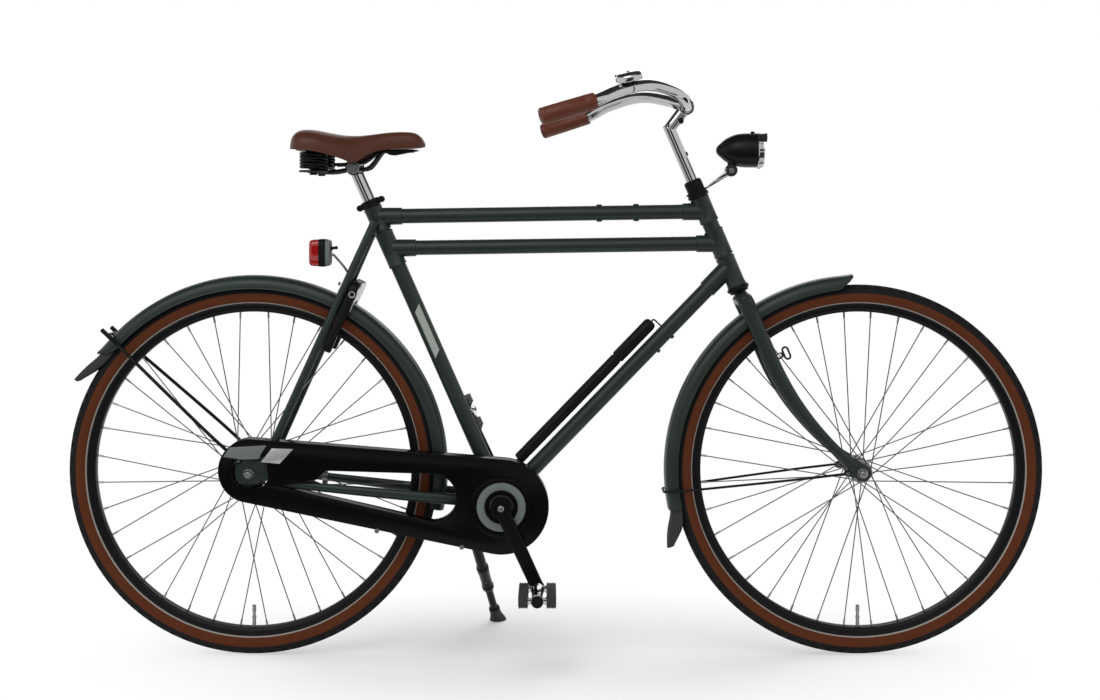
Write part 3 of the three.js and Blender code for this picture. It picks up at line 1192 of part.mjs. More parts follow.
function chainCaseSolid() {
  const rearCentre = { x: rearAxle.x + chainCase.rearAhead, z: rearAxle.z + chainCase.rearLift };
  const outline = (shrink) => belt(
    { x: bracket.x, z: bracket.z, radius: chainCase.front - shrink },
    { ...rearCentre, radius: chainCase.rear - shrink }, 12,
  );
  const low = -chainCase.outer;
  const high = -chainCase.inner;
  const full = plate(outline(0), low, high, [caseSlot(0)]);
  const hollow = plate(outline(chainCase.wall), low + chainCase.wall, high - chainCase.wall, [caseSlot(chainCase.wall)]);
  const disc = across(bracket, low - caseDisc.height, low + chainCase.wall / 2, caseDisc.radius, 20);
  const boss = across(bracket, high - chainCase.wall, -shell.halfWidth - gap, chainCase.bossRadius, tubeSides);
  const crankHole = acrossBore(bracket, low - caseDisc.height, 0, sleeve.radius + overrun, tubeSides);
  const { x, z } = rearAxle;
  const window = plate([
    [x - rearWindow.behind, z + rearWindow.low], [x + rearWindow.ahead, z + rearWindow.low],
    [x + rearWindow.ahead, z], [x + rearWindow.ahead / 2, z + rearWindow.high], [x - rearWindow.behind, z + rearWindow.high],
  ], low - overrun, low + chainCase.wall + overrun);
  const hubHole = acrossBore(rearAxle, high - overrun, high + overrun, rearWindow.hub, tubeSides);
  const stays = [mirrored(skin(chainStayRings(caseRoom))), mirrored(skin(seatStayRings(caseRoom))), rearStaySolid(caseRoom)];
  const plateRoom = mirrored(dropoutSolid());
  const box = join(cut(full, hollow), cut(disc, hollow), cut(boss, hollow));
  return cut(box, crankHole, window, hubHole, ...stays, thick(plateRoom));
}

function caseRingSolid() {
  const low = -chainCase.outer - caseDisc.height - gap;
  const centre = offset(bracket, 0, 0, caseDisc.lift);
  return pipe(vec(centre.x, low - caseDisc.ringHeight, centre.z), vec(centre.x, low, centre.z), caseDisc.ringOuter, caseDisc.ringInner, 20);
}

piece(bike, 'crank_axle', dullSteel, across(bracket, -bracketAxle.halfLength + overrun, bracketAxle.halfLength - overrun, bracketAxle.radius - gap, tubeSides));
piece(bike, 'right_crank', blackPaint, rightCrankSolid());
piece(bike, 'left_crank', blackPaint, cut(armSolid(sides.left), axleRoom));
piece(bike, 'right_pedal', chromePlate, pedalFrame(sides.right));
piece(bike, 'right_pedal_rubbers', blackRubber, pedalTreads(sides.right));
piece(bike, 'left_pedal', chromePlate, pedalFrame(sides.left));
piece(bike, 'left_pedal_rubbers', blackRubber, pedalTreads(sides.left));
piece(bike, 'chain', dullSteel, chainSolid());
piece(bike, 'rear_sprocket', dullSteel, rearSprocketSolid());
piece(bike, 'chain_case', blackGloss, chainCaseSolid());
piece(bike, 'chain_case_ring', greyPlastic, caseRingSolid());

// Rear axle with its nuts and the hub brake's reaction arm, clipped under the left chain stay

const brakeArm = { low: 49.1, high: 50.5, half: 7, reach: 130, dropShare: 0.37, clipHalf: 7, clipOut: 63, clipWall: 2.5 };

function rearAxleSolid() {
  const nutFrom = dropout.middle + dropout.half + gap;
  const axle = axleSolid(rearAxle, nutFrom + axleNut.height + axleNut.overhang, nutFrom);
  const end = { x: rearAxle.x + brakeArm.reach, z: rearAxle.z - brakeArm.reach * brakeArm.dropShare };
  const arm = plate(belt({ x: rearAxle.x, z: rearAxle.z, radius: brakeArm.half }, { ...end, radius: brakeArm.half }, 4),
    brakeArm.low, brakeArm.high);
  const share = (end.x - bracket.x) / (rearAxle.x - bracket.x);
  const lower = chainStay[4];
  const upper = chainStay[5];
  const along = (share - lower.share) / (upper.share - lower.share);
  const top = bracket.z + mix(lower.lift - lower.deep, upper.lift - upper.deep, along) - brakeArm.clipWall / 2;
  const web = block(vec(end.x - brakeArm.clipHalf, brakeArm.low, end.z), vec(end.x + brakeArm.clipHalf, brakeArm.high, top));
  const lip = block(vec(end.x - brakeArm.clipHalf, brakeArm.low, top - brakeArm.clipWall), vec(end.x + brakeArm.clipHalf, brakeArm.clipOut, top));
  return join(axle, arm, web, lip);
}

piece(bike, 'rear_axle', dullSteel, rearAxleSolid());

// Saddle, its springs and clamp, the seat post and the clamp ring on the seat tube

const post = { radius: 12.5, insert: 66, rise: 84 };
const postTop = seatTubeLength + post.rise;
const postBottom = seatTubeLength - post.insert;
const postClamp = { height: 15, outer: 18, bolt: 5.5, boltReach: 26 };
const saddleStations = [
  { ahead: -120, top: 46, low: 33, half: 64 }, { ahead: -112, top: 64, low: 33, half: 88 },
  { ahead: -98, top: 72, low: 32.5, half: 101 }, { ahead: -72, top: 72, low: 30.5, half: 105 },
  { ahead: -45, top: 67, low: 25, half: 99 }, { ahead: -19, top: 62.5, low: 17, half: 85 },
  { ahead: 7, top: 61, low: 9, half: 66 }, { ahead: 33, top: 63.5, low: 26.5, half: 48 },
  { ahead: 63, top: 67.5, low: 34.5, half: 36 }, { ahead: 93, top: 69, low: 37, half: 29 },
  { ahead: 120, top: 67, low: 38.5, half: 25 }, { ahead: 133.5, top: 58.5, low: 40, half: 19 },
  { ahead: 139, top: 50, low: 42.5, half: 10 },
];
const saddleSection = { edgeShare: 0.65, riseShare: 0.55, skirt: 5, noseLift: 5.8, points: 8 };
const pan = { low: 32, high: 35.2, back: -108, front: -42, half: 76, strip: 12, nose: 116 };
const noseBlock = { back: 60, front: 116, low: 29, half: 12 };
const coil = { ahead: -72, side: 52, bottom: -2.5, radius: 24, wire: 3, turns: 4, steps: 8, sides: 5 };
const coilSeat = { height: 4, radius: 28, tie: 7 };
const rail = { radius: 3.5, steps: 9, sides: 6 };
const railPoints = [
  { ahead: 88, side: 8, lift: 30 }, { ahead: 50, side: 13, lift: 27 }, { ahead: 20, side: 20, lift: 4 },
  { ahead: -8, side: 24, lift: -3.5 }, { ahead: -40, side: 38, lift: -9 }, { ahead: -72, side: 50, lift: -9 },
];
const saddleClamp = { ahead: 0, lift: 1, radius: 17, inHalf: 16, outHalf: 30, disc: 13 };

const saddleOrigin = seatAt(postTop);

function saddleCoverSolid() {
  const rings = saddleStations.map(({ ahead, top, low, half }) => {
    const at = (y, z) => offset(saddleOrigin, ahead, y, z);
    const upper = Array.from({ length: saddleSection.points + 1 }, (_, i) => {
      const angle = (Math.PI * i) / saddleSection.points;
      const y = half * Math.sign(Math.cos(angle)) * Math.abs(Math.cos(angle)) ** saddleSection.edgeShare;
      return at(y, low + (top - low) * Math.abs(Math.sin(angle)) ** saddleSection.riseShare);
    });
    const roof = Math.max(low + saddleSection.skirt / 5, pan.high + (ahead > noseBlock.front ? saddleSection.noseLift : gap));
    const inner = half - saddleSection.skirt;
    return [...upper, at(-inner, low), at(-inner + saddleSection.skirt / 3, roof), at(inner - saddleSection.skirt / 3, roof), at(inner, low)];
  });
  return skin(rings, filled(rings[2].map((p) => [p.y, p.z])));
}

function railPath(hand) {
  return railPoints.map(({ ahead, side, lift }) => offset(saddleOrigin, ahead, hand * side, lift));
}

const railSolid = (extra) => join(...[1, -1].map((hand) =>
  bentRod(railPath(hand), rail.radius + extra, rail.sides, rail.steps)));

function saddleFrameSolid() {
  const from = (ahead, side, lift) => offset(saddleOrigin, ahead, side, lift);
  const plateBody = block(from(pan.back, -pan.half, pan.low), from(pan.front, pan.half, pan.high));
  const strip = block(from(pan.front - overrun, -pan.strip, pan.low), from(pan.nose, pan.strip, pan.high));
  const nose = block(from(noseBlock.back, -noseBlock.half, noseBlock.low), from(noseBlock.front, noseBlock.half, pan.high));
  const seats = [1, -1].map((hand) => cylinder(
    from(coil.ahead, hand * coil.side, coil.bottom - coil.wire - gap - coilSeat.height),
    from(coil.ahead, hand * coil.side, coil.bottom - coil.wire - gap), coilSeat.radius, hubSegments,
  ));
  return join(plateBody, strip, nose, railSolid(0), ...seats);
}

function coilPoints(hand) {
  const top = pan.low - coil.wire - gap;
  const count = coil.turns * coil.steps;
  return Array.from({ length: count + 1 }, (_, i) => {
    const angle = (2 * Math.PI * i) / coil.steps;
    return offset(saddleOrigin, coil.ahead + coil.radius * Math.cos(angle),
      hand * (coil.side + coil.radius * Math.sin(angle)), mix(coil.bottom, top, i / count));
  });
}

function coilSolid(hand) {
  const points = coilPoints(hand);
  return sweep(new THREE.CatmullRomCurve3(points), coil.wire, coil.sides, coil.turns * coil.steps);
}

// Both coils with the cross wire that joins their lowest curls
function springsSolid() {
  const [from, to] = [1, -1].map((hand) => offset(saddleOrigin, coil.ahead + coil.radius, hand * coil.side, coil.bottom));
  return join(coilSolid(1), coilSolid(-1), cylinder(from, to, coil.wire, coil.sides));
}

function saddleClampSolid() {
  const centre = offset(saddleOrigin, saddleClamp.ahead, 0, saddleClamp.lift);
  const body = across3(centre, -saddleClamp.inHalf, saddleClamp.inHalf, saddleClamp.radius);
  const discs = [sides.left, sides.right].map((side) => across3(centre,
    Math.min(side * saddleClamp.inHalf, side * saddleClamp.outHalf) - gap, Math.max(side * saddleClamp.inHalf, side * saddleClamp.outHalf) + gap,
    saddleClamp.disc));
  const postRoom = bore(seatAt(postBottom), seatAt(postTop + gap), post.radius + gap);
  return cut(join(body, ...discs), postRoom, railSolid(gap));
}

const across3 = (centre, low, high, radius) => cylinder(
  vec(centre.x, low, centre.z), vec(centre.x, high, centre.z), radius, tubeSides,
);

function postClampSolid() {
  const low = seatTubeLength + gap;
  const foot = seatAt(low);
  const ring = pipe(foot, seatAt(low + postClamp.height), postClamp.outer, post.radius + gap);
  const middle = seatAt(low + postClamp.height / 2);
  const bolt = [1, -1].map((end) => cylinder(
    travel(middle, seatForward, end * (postClamp.outer - overrun)), travel(middle, seatForward, end * postClamp.boltReach),
    postClamp.bolt, rodSides,
  ));
  return join(ring, ...bolt);
}

piece(bike, 'seat_clamp', blackPaint, postClampSolid());
piece(bike, 'seat_post', chromePlate, cylinder(seatAt(postBottom), seatAt(postTop), post.radius));
piece(bike, 'saddle_cover', saddleLeather, saddleCoverSolid());
piece(bike, 'saddle_frame', blackPaint, saddleFrameSolid());
piece(bike, 'saddle_springs', blackPaint, springsSolid());
piece(bike, 'saddle_clamp', chromePlate, saddleClampSolid());

// Kickstand: its plate under the left chain stay, and the leg with its rubber foot

const standPivot = { behind: 62, side: 45, drop: 61 };
const standAxis = vec(-0.375, 0.927, 0).normalize();
const standFoot = { behind: 17, side: 240 };
const standPin = { radius: 6, head: 9, low: -14, bossTop: -0.6, bossRadius: 12, eyeTop: 11.5, top: 15.5 };
const standPlate = { back: 20, front: 20, in: 20, out: 50, thickness: 6, armRadius: 9 };
const standLeg = { upper: 10.5, collar: 12.6, second: 10.8, lower: 7.6, seat: 7.6, foot: 18.5 };
const standShares = {
  upperShare: 0.42, collarShare: 0.5, secondShare: 0.56, endShare: 0.95, footShare: 0.86,
};

const pivotPoint = offset(bracket, -standPivot.behind, standPivot.side, -standPivot.drop);
const footPoint = vec(bracket.x - standFoot.behind, standFoot.side, 0);
const eyePoint = travel(pivotPoint, standAxis, standPin.eyeTop / 2);
const onLeg = (share) => between(eyePoint, footPoint, share);

function standMountSolid() {
  const at = (distance) => travel(pivotPoint, standAxis, distance);
  const stayIndex = chainStay[1];
  const top = bracket.z + stayIndex.lift - stayIndex.deep - gap * 3;
  const low = vec(pivotPoint.x - standPlate.back, standPlate.in, top - standPlate.thickness);
  const high = vec(pivotPoint.x + standPlate.front, standPlate.out, top);
  const boss = cylinder(at(standPin.low), at(standPin.bossTop), standPin.bossRadius, hubSegments);
  const arm = cylinder(at(standPin.low / 2), vec(at(standPin.low / 2).x, at(standPin.low / 2).y, top - overrun), standPlate.armRadius, rodSides);
  const armRoom = cut(arm, cylinder(at(standPin.bossTop), at(standPin.top * 3), standPin.bossRadius * 3, rodSides));
  const pin = cylinder(at(standPin.low), at(standPin.top), standPin.radius, rodSides);
  const head = cylinder(at(standPin.eyeTop + gap), at(standPin.top), standPin.head, rodSides);
  return join(cut(block(low, high), chainStayRoom()), boss, armRoom, pin, head);
}

function standLegSolid() {
  const at = (distance) => travel(pivotPoint, standAxis, distance);
  const eye = cylinder(at(0), at(standPin.eyeTop), standPin.bossRadius, hubSegments);
  const hole = bore(at(-overrun), at(standPin.eyeTop + overrun), standPin.radius + gap, rodSides);
  const s = standShares;
  const parts = [
    cylinder(eyePoint, onLeg(s.upperShare), standLeg.upper, rodSides),
    cylinder(onLeg(s.upperShare), onLeg(s.collarShare), standLeg.collar, rodSides),
    cylinder(onLeg(s.collarShare), onLeg(s.secondShare), standLeg.second, rodSides),
    cylinder(eyePoint, onLeg(s.endShare), standLeg.lower, rodSides),
  ];
  const keepOff = join(
    cylinder(at(-standPin.bossRadius * 3), at(0), standPin.bossRadius * 3, rodSides),
    cylinder(at(standPin.eyeTop), at(standPin.bossRadius * 2), standPin.head * 2, rodSides),
  );
  return cut(join(eye, cut(join(...parts), keepOff)), hole);
}

function standFootSolid() {
  const under = between(eyePoint, footPoint, 1 + standShares.upperShare / 4);
  const cone = cylinder(onLeg(standShares.footShare), under, standLeg.second, rodSides + 4, standLeg.foot);
  const room = bore(onLeg(standShares.footShare / 2), onLeg(standShares.endShare + gap / 100), standLeg.lower + gap, rodSides);
  const reach = standLeg.foot * 4;
  const ground = block(offset(footPoint, -reach, -reach, -reach), offset(footPoint, reach, reach, 0));
  return cut(cone, room, ground);
}

piece(bike, 'kickstand_mount', blackPaint, standMountSolid());
piece(bike, 'kickstand_leg', blackPaint, standLegSolid());
piece(bike, 'kickstand_foot', blackRubber, standFootSolid());

// Ring lock in front of the seat stays, rear lamp on their bridge, and the frame pump

const lock = { archDrop: 14.8, rise: 39, reach: 108, half: 50, inner: 32.5, shoulder: 15, near: 8.6, far: 29 };
const rearLamp = { behind: 53, lift: 60, half: 27, width: 22, lensDepth: 13, bodyDepth: 14, backShare: 0.8, sides: 12 };
const lampClip = { radius: 8.2, from: 6.5, to: 20, rod: 3 };

const stayAcross = vec(-stayLine.z, 0, stayLine.x); // square to the seat stays, towards the bracket

function lockSolid() {
  const { half, inner, shoulder } = lock;
  const arched = wheelTop + lock.archDrop;
  const top = arched - lock.rise;
  const bottom = arched + lock.reach;
  const outline = [
    [-half + shoulder, top], [half - shoulder, top], [half, top + shoulder], [half, bottom - shoulder],
    [half - shoulder / 3, bottom], [inner + overrun, bottom], [inner, bottom - shoulder], [inner, arched + shoulder],
    [inner - shoulder / 2, arched], [-inner + shoulder / 2, arched], [-inner, arched + shoulder],
    [-inner, bottom - shoulder], [-inner - overrun, bottom], [-half + shoulder / 3, bottom], [-half, bottom - shoulder],
    [-half, top + shoulder],
  ];
  const flat = plate(outline, lock.near, lock.far);
  const basis = new THREE.Matrix4().makeBasis(yAxis, stayAcross, stayLine).setPosition(stayTop);
  const placed = moved(flat, basis);
  return cut(placed, bothSides(skin(seatStayRings(gap))));
}

function lampRingAt(x, scale) {
  return Array.from({ length: rearLamp.sides }, (_, i) => {
    const angle = (2 * Math.PI * (i + 1 / 2)) / rearLamp.sides;
    return vec(x, rearLamp.width * scale * Math.cos(angle), rearLampCentre.z + rearLamp.half * scale * Math.sin(angle));
  });
}

const rearLampCentre = offset(bridgeCentre, -rearLamp.behind, 0, rearLamp.lift);

function rearLampSolid() {
  const x = rearLampCentre.x;
  const deep = rearLamp.bodyDepth;
  const body = skin([
    lampRingAt(x, 1), lampRingAt(x + deep / 2, 1), lampRingAt(x + deep, rearLamp.backShare),
  ]);
  const from = vec(x + deep - overrun, 0, rearLampCentre.z);
  const knee = vec(x + deep + overrun * 3, 0, rearLampCentre.z);
  const clipCentre = travel(bridgeCentre, yAxis, (lampClip.from + lampClip.to) / 2);
  const rod = bentRod([from, knee, clipCentre], lampClip.rod, 6, 6);
  const clip = cylinder(travel(bridgeCentre, yAxis, lampClip.from), travel(bridgeCentre, yAxis, lampClip.to), lampClip.radius, hubSegments);
  const room = bore(bridgeCentre, travel(bridgeCentre, yAxis, lampClip.to + overrun), stayBridge.radius + gap, hubSegments);
  return cut(join(body, rod, clip), room);
}

function rearLensSolid() {
  const x = rearLampCentre.x - gap;
  const deep = rearLamp.lensDepth;
  return skin([lampRingAt(x - deep, rearLamp.backShare), lampRingAt(x - deep * (2 / 3), 1 - gap / 3), lampRingAt(x, 1 - gap / 10)]);
}

function pumpSolid() {
  const from = travel(travel(downFrom, downDirection, pump.station), downBehind, pump.lift);
  const to = travel(from, downDirection, pump.reach);
  const lip = pump.grip - pump.radius;
  return turned([
    [0, 0], [pump.radius - overrun, 0], [pump.grip, overrun], [pump.grip, pump.gripReach - lip], [pump.radius, pump.gripReach],
    [pump.radius, pump.reach - overrun], [pump.radius - overrun, pump.reach], [0, pump.reach],
  ], from, to);
}

piece(bike, 'ring_lock', blackPaint, lockSolid());
piece(bike, 'rear_lamp_body', blackPaint, rearLampSolid());
piece(bike, 'rear_lamp_lens', redLens, rearLensSolid());
piece(bike, 'pump', blackPaint, pumpSolid());

export default bike;
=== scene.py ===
"""Looks of the dutch city bike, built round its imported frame.

Every length is in metres in the frame's own axes: +X forward, +Y to the rider's left, +Z up.
"""

from __future__ import annotations

import json
import logging
import math
from collections.abc import Iterator, Sequence
from contextlib import contextmanager
from dataclasses import dataclass
from enum import Enum

import bmesh
import bpy
from mathutils import Matrix, Quaternion, Vector


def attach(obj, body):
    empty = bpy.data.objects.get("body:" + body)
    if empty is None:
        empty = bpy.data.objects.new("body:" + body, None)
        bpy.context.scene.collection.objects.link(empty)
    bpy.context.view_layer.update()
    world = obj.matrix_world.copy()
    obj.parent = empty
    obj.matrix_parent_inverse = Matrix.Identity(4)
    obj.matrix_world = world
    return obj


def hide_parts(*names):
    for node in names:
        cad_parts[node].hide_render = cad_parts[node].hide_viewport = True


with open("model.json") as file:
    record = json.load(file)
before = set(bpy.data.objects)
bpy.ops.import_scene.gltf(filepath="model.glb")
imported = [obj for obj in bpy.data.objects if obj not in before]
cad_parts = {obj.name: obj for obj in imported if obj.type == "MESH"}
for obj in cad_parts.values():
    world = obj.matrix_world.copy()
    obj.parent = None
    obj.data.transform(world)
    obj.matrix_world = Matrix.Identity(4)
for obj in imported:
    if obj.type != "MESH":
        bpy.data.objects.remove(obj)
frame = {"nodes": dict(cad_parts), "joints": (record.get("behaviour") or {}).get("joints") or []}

LOG = logging.getLogger("dutch_city_bike")

TURN = 2 * math.pi
ROUND = 48
FINE = 24
COARSE = 12
START_SIZE = 0.001
WELD = 2e-6
SHARP_DEGREES = 32
AHEAD = Vector((1, 0, 0))
LEFT = Vector((0, 1, 0))
UP = Vector((0, 0, 1))
Pair = tuple[float, float]
Piece = bpy.types.Object

# How far out the nuts of each axle stand
FRONT_FACE = 0.0523
REAR_FACE = 0.0598


# Points and curves


def along(start: Vector, direction: Vector, distance: float) -> Vector:
    """Return the point at a distance from the start."""
    return start + direction * distance


def off(place: Vector, x: float = 0.0, y: float = 0.0, z: float = 0.0) -> Vector:
    """Return a place moved by x, y and z."""
    return place + Vector((x, y, z))


def mixed(first: float, last: float, share: float) -> float:
    """Return the value at a share of the way from first to last."""
    return first + (last - first) * share


def arc(centre: Sequence[float], radius: float, start: float, end: float, steps: int) -> list[Pair]:
    """Return points on a circular arc.

    Args:
        centre: The circle's middle in the plane of x and z.
        radius: The circle's radius.
        start: First angle in degrees, from +X towards +Z.
        end: Last angle in degrees.
        steps: How many chords the arc is drawn with.

    Returns:
        The points as (x, z) pairs.
    """
    angles = [math.radians(mixed(start, end, i / steps)) for i in range(steps + 1)]
    return [(centre[0] + radius * math.cos(a), centre[1] + radius * math.sin(a)) for a in angles]


def belt(first: Sequence[float], second: Sequence[float], steps: int) -> list[Pair]:
    """Return the outline of a belt drawn round two circles.

    Args:
        first: One circle as x, z and radius.
        second: The other circle.
        steps: How many chords each arc is drawn with.

    Returns:
        The points as (x, z) pairs.
    """
    dx, dz = second[0] - first[0], second[1] - first[1]
    lean = math.degrees(math.atan2(dz, dx))
    wrap = math.degrees(math.acos((first[2] - second[2]) / math.hypot(dx, dz)))
    return [
        *arc(second, second[2], lean - wrap, lean + wrap, steps),
        *arc(first, first[2], lean + wrap, lean + 360 - wrap, steps),
    ]


def smooth_path(points: Sequence[Vector], spans: int = 8) -> list[Vector]:
    """Return a smooth line through the points.

    Args:
        points: The places that the line passes through, in order.
        spans: How many chords lie between two places.

    Returns:
        The points of the curve, the first and last place included.
    """
    line = [points[0] * 2 - points[1], *points, points[-1] * 2 - points[-2]]
    path = []
    for before, start, end, after in zip(line, line[1:], line[2:], line[3:]):
        length = (end - start).length
        lead = (end - before) * (length / ((end - start).length + (start - before).length))
        tail = (after - start) * (length / ((after - end).length + (end - start).length))
        for i in range(spans):
            t = i / spans
            path.append(
                start * (2 * t**3 - 3 * t**2 + 1) + lead * (t**3 - 2 * t**2 + t) + end
                * (3 * t**2 - 2 * t**3) + tail * (t**3 - t**2)
            )
    return [*path, points[-1].copy()]


def smooth_rows(rows: Sequence[Sequence[float]], spans: int) -> list[tuple[float, ...]]:
    """Return rows of numbers with smooth steps put between them.

    Args:
        rows: The rows, in order.
        spans: How many steps lie between two rows.

    Returns:
        The rows with the smooth ones between them.
    """
    columns = []
    for column in zip(*rows):
        points = [Vector((float(i), value, 0)) for i, value in enumerate(column)]
        columns.append([p.y for p in smooth_path(points, spans)])
    return list(zip(*columns))


# Modelling steps


def clear() -> None:
    """Leave edit mode and deselect every object."""
    if bpy.context.object and bpy.context.object.mode != "OBJECT":
        bpy.ops.object.mode_set(mode="OBJECT")
    bpy.ops.object.select_all(action="DESELECT")


def pick(piece: Piece, *others: Piece) -> None:
    """Select the pieces and make the first one active.

    Args:
        piece: The piece that becomes active.
        others: More pieces to select.
    """
    clear()
    for item in (piece, *others):
        item.select_set(True)
    bpy.context.view_layer.objects.active = piece


def settled() -> None:
    """Put the active piece's place into its mesh."""
    bpy.ops.object.transform_apply(location=True, rotation=True, scale=True)


@contextmanager
def editing(piece: Piece, element: str = "VERT", whole: bool = False) -> Iterator[bmesh.types.BMesh]:
    """Hold a piece in edit mode for the stated kind of element, with the whole piece picked if asked.

    Args:
        piece: The piece.
        element: The kind of element that is picked in it.
        whole: Whether all of it starts picked.

    Returns:
        The piece's mesh in edit mode, while the block runs.
    """
    pick(piece)
    bpy.ops.object.mode_set(mode="EDIT")
    bpy.ops.mesh.select_mode(type=element)
    if whole:
        bpy.ops.mesh.select_all(action="SELECT")
    yield bmesh.from_edit_mesh(piece.data)
    bpy.ops.object.mode_set(mode="OBJECT")


def started(name: str) -> Piece:
    """Return the piece that was just added, named and with its place in its mesh.

    Args:
        name: The piece's name.

    Returns:
        The active piece.
    """
    piece = bpy.context.object
    piece.name = piece.data.name = name
    settled()
    return piece


def drawn(name: str, points: Sequence[Vector], closed: bool = False) -> Piece:
    """Draw a line of edges by extruding one point along the places.

    Args:
        name: The piece's name.
        points: The places, in order.
        closed: Whether an edge joins the last place to the first.

    Returns:
        The piece, a line of edges.
    """
    clear()
    bpy.ops.mesh.primitive_plane_add(size=START_SIZE)
    piece = started(name)
    with editing(piece, whole=True):
        bpy.ops.mesh.merge(type="CENTER")
        bpy.ops.transform.translate(value=points[0])
        for start, end in zip(points, points[1:]):
            bpy.ops.mesh.extrude_region_move(TRANSFORM_OT_translate={"value": end - start})
        if closed:
            mesh = bmesh.from_edit_mesh(piece.data)
            for vertex in mesh.verts:
                vertex.select = len(vertex.link_edges) == 1
            bpy.ops.mesh.edge_face_add()
    return piece


def cleaned(piece: Piece) -> Piece:
    """Merge doubled points and turn every face outwards.

    Args:
        piece: The piece.

    Returns:
        The same piece.
    """
    with editing(piece, whole=True):
        bpy.ops.mesh.remove_doubles(threshold=WELD)
        bpy.ops.mesh.normals_make_consistent(inside=False)
    return piece


def turned(
    name: str, profile: Sequence[Pair], base: Vector, axis: Vector, steps: int = ROUND, closed: bool = False
) -> Piece:
    """Spin a profile right round an axis.

    Args:
        name: The piece's name.
        profile: Pairs of the distance along the axis and the radius.
        base: The point that the distances count from.
        axis: The axis, of length one.
        steps: How many faces go round.
        closed: Whether the profile closes on itself.

    Returns:
        The turned piece.
    """
    outwards = axis.orthogonal().normalized()
    points = [base + axis * distance + outwards * radius for distance, radius in profile]
    piece = drawn(name, points, closed)
    with editing(piece, whole=True):
        bpy.ops.mesh.spin(steps=steps, angle=TURN, center=base, axis=axis)
    return cleaned(piece)


def rod(
    name: str, start: Vector, end: Vector, radius: float, sides: int = ROUND,
    end_radius: float | None = None, soft: float = 0.0,
) -> Piece:
    """Add a round bar between two points, with its end edges broken if a softness is given.

    Args:
        name: The piece's name.
        start: The middle of its first end.
        end: The middle of its last end.
        radius: Its radius.
        sides: How many faces go round.
        end_radius: Its radius at the last end, where it tapers.
        soft: How much its end edges are broken.

    Returns:
        The turned bar.
    """
    axis = (end - start).normalized()
    length = (end - start).length
    last = radius if end_radius is None else end_radius
    if soft:
        profile = [
            (0, 0), (0, radius - soft), (soft, radius), (length - soft, last), (length, last - soft),
            (length, 0),
        ]
    else:
        profile = [(0, 0), (0, radius), (length, last), (length, 0)]
    return turned(name, profile, start, axis, sides)


def cross_rod(
    name: str, middle: Vector, half: float, radius: float, sides: int = FINE, soft: float = 0.0
) -> Piece:
    """Add a round bar along Y that reaches as far to both sides of its middle."""
    return rod(name, off(middle, y=-half), off(middle, y=half), radius, sides, soft=soft)


def thickened(line: Piece, name: str, radius: float, sides: int) -> Piece:
    """Turn lines of edges into round tubes with closed ends.

    Args:
        line: The edges.
        name: The name of the tubes.
        radius: Their radius.
        sides: How fine their section is.

    Returns:
        The tubes as one piece.
    """
    pick(line)
    bpy.ops.object.convert(target="CURVE")
    curve = bpy.context.object.data
    curve.bevel_depth = radius
    curve.bevel_resolution = sides
    curve.use_fill_caps = True
    bpy.ops.object.convert(target="MESH")
    piece = bpy.context.object
    piece.name = piece.data.name = name
    return cleaned(piece)


def swept(name: str, points: Sequence[Vector], radius: float, sides: int = 4, closed: bool = False) -> Piece:
    """Draw a round tube along a line, which may end where it starts."""
    return thickened(drawn(name, points, closed), name, radius, sides)


def lofted(name: str, rings: Sequence[Sequence[Vector]]) -> Piece:
    """Bridge a row of rings that all have the same number of points, and fill the first and the last.

    Args:
        name: The piece's name.
        rings: The rings' points, ring by ring.

    Returns:
        The bridged piece.
    """
    clear()
    bpy.ops.mesh.primitive_circle_add(vertices=len(rings[0]), radius=START_SIZE)
    piece = started(name)
    with editing(piece) as mesh:
        for number, ring in enumerate(rings):
            if number:
                bpy.ops.mesh.select_all(action="DESELECT")
                bpy.ops.mesh.primitive_circle_add(vertices=len(ring), radius=START_SIZE)
                mesh = bmesh.from_edit_mesh(piece.data)
            fresh = [vertex for vertex in mesh.verts if vertex.select] if number else list(mesh.verts)
            for vertex, place in zip(fresh, ring):
                vertex.co = place
            if number in (0, len(rings) - 1):
                bpy.ops.mesh.select_all(action="DESELECT")
                for vertex in fresh:
                    vertex.select = True
                mesh.select_flush(True)
                bpy.ops.mesh.edge_face_add()
        mesh = bmesh.from_edit_mesh(piece.data)
        mesh.verts.ensure_lookup_table()
        count = len(rings[0])
        for number in range(len(rings) - 1):
            low = mesh.verts[number * count:(number + 1) * count]
            high = mesh.verts[(number + 1) * count:(number + 2) * count]
            for i in range(count):
                j = (i + 1) % count
                mesh.faces.new((low[i], low[j], high[j], high[i]))
        bmesh.update_edit_mesh(piece.data)
    return cleaned(piece)


def oval(centre: Vector, direction: Vector, deep: float, wide: float) -> list[Vector]:
    """Return an oval ring square to a direction in the plane of x and z, wide along Y.

    Args:
        centre: The ring's middle.
        direction: The direction that it stands square to.
        deep: Half its depth.
        wide: Half its width.

    Returns:
        The ring's points.
    """
    across = Vector((-direction.z, 0, direction.x)).normalized()
    angles = [TURN * i / FINE for i in range(FINE)]
    return [centre + across * (deep * math.cos(a)) + LEFT * (wide * math.sin(a)) for a in angles]


def extruded(line: Piece, move: Sequence[float]) -> Piece:
    """Fill a closed line and draw its face out by a move.

    Args:
        line: The closed line.
        move: The move along x, y and z.

    Returns:
        The same piece, now solid.
    """
    with editing(line, whole=True):
        bpy.ops.mesh.edge_face_add()
        bpy.ops.mesh.extrude_region_move(TRANSFORM_OT_translate={"value": move})
    return cleaned(line)


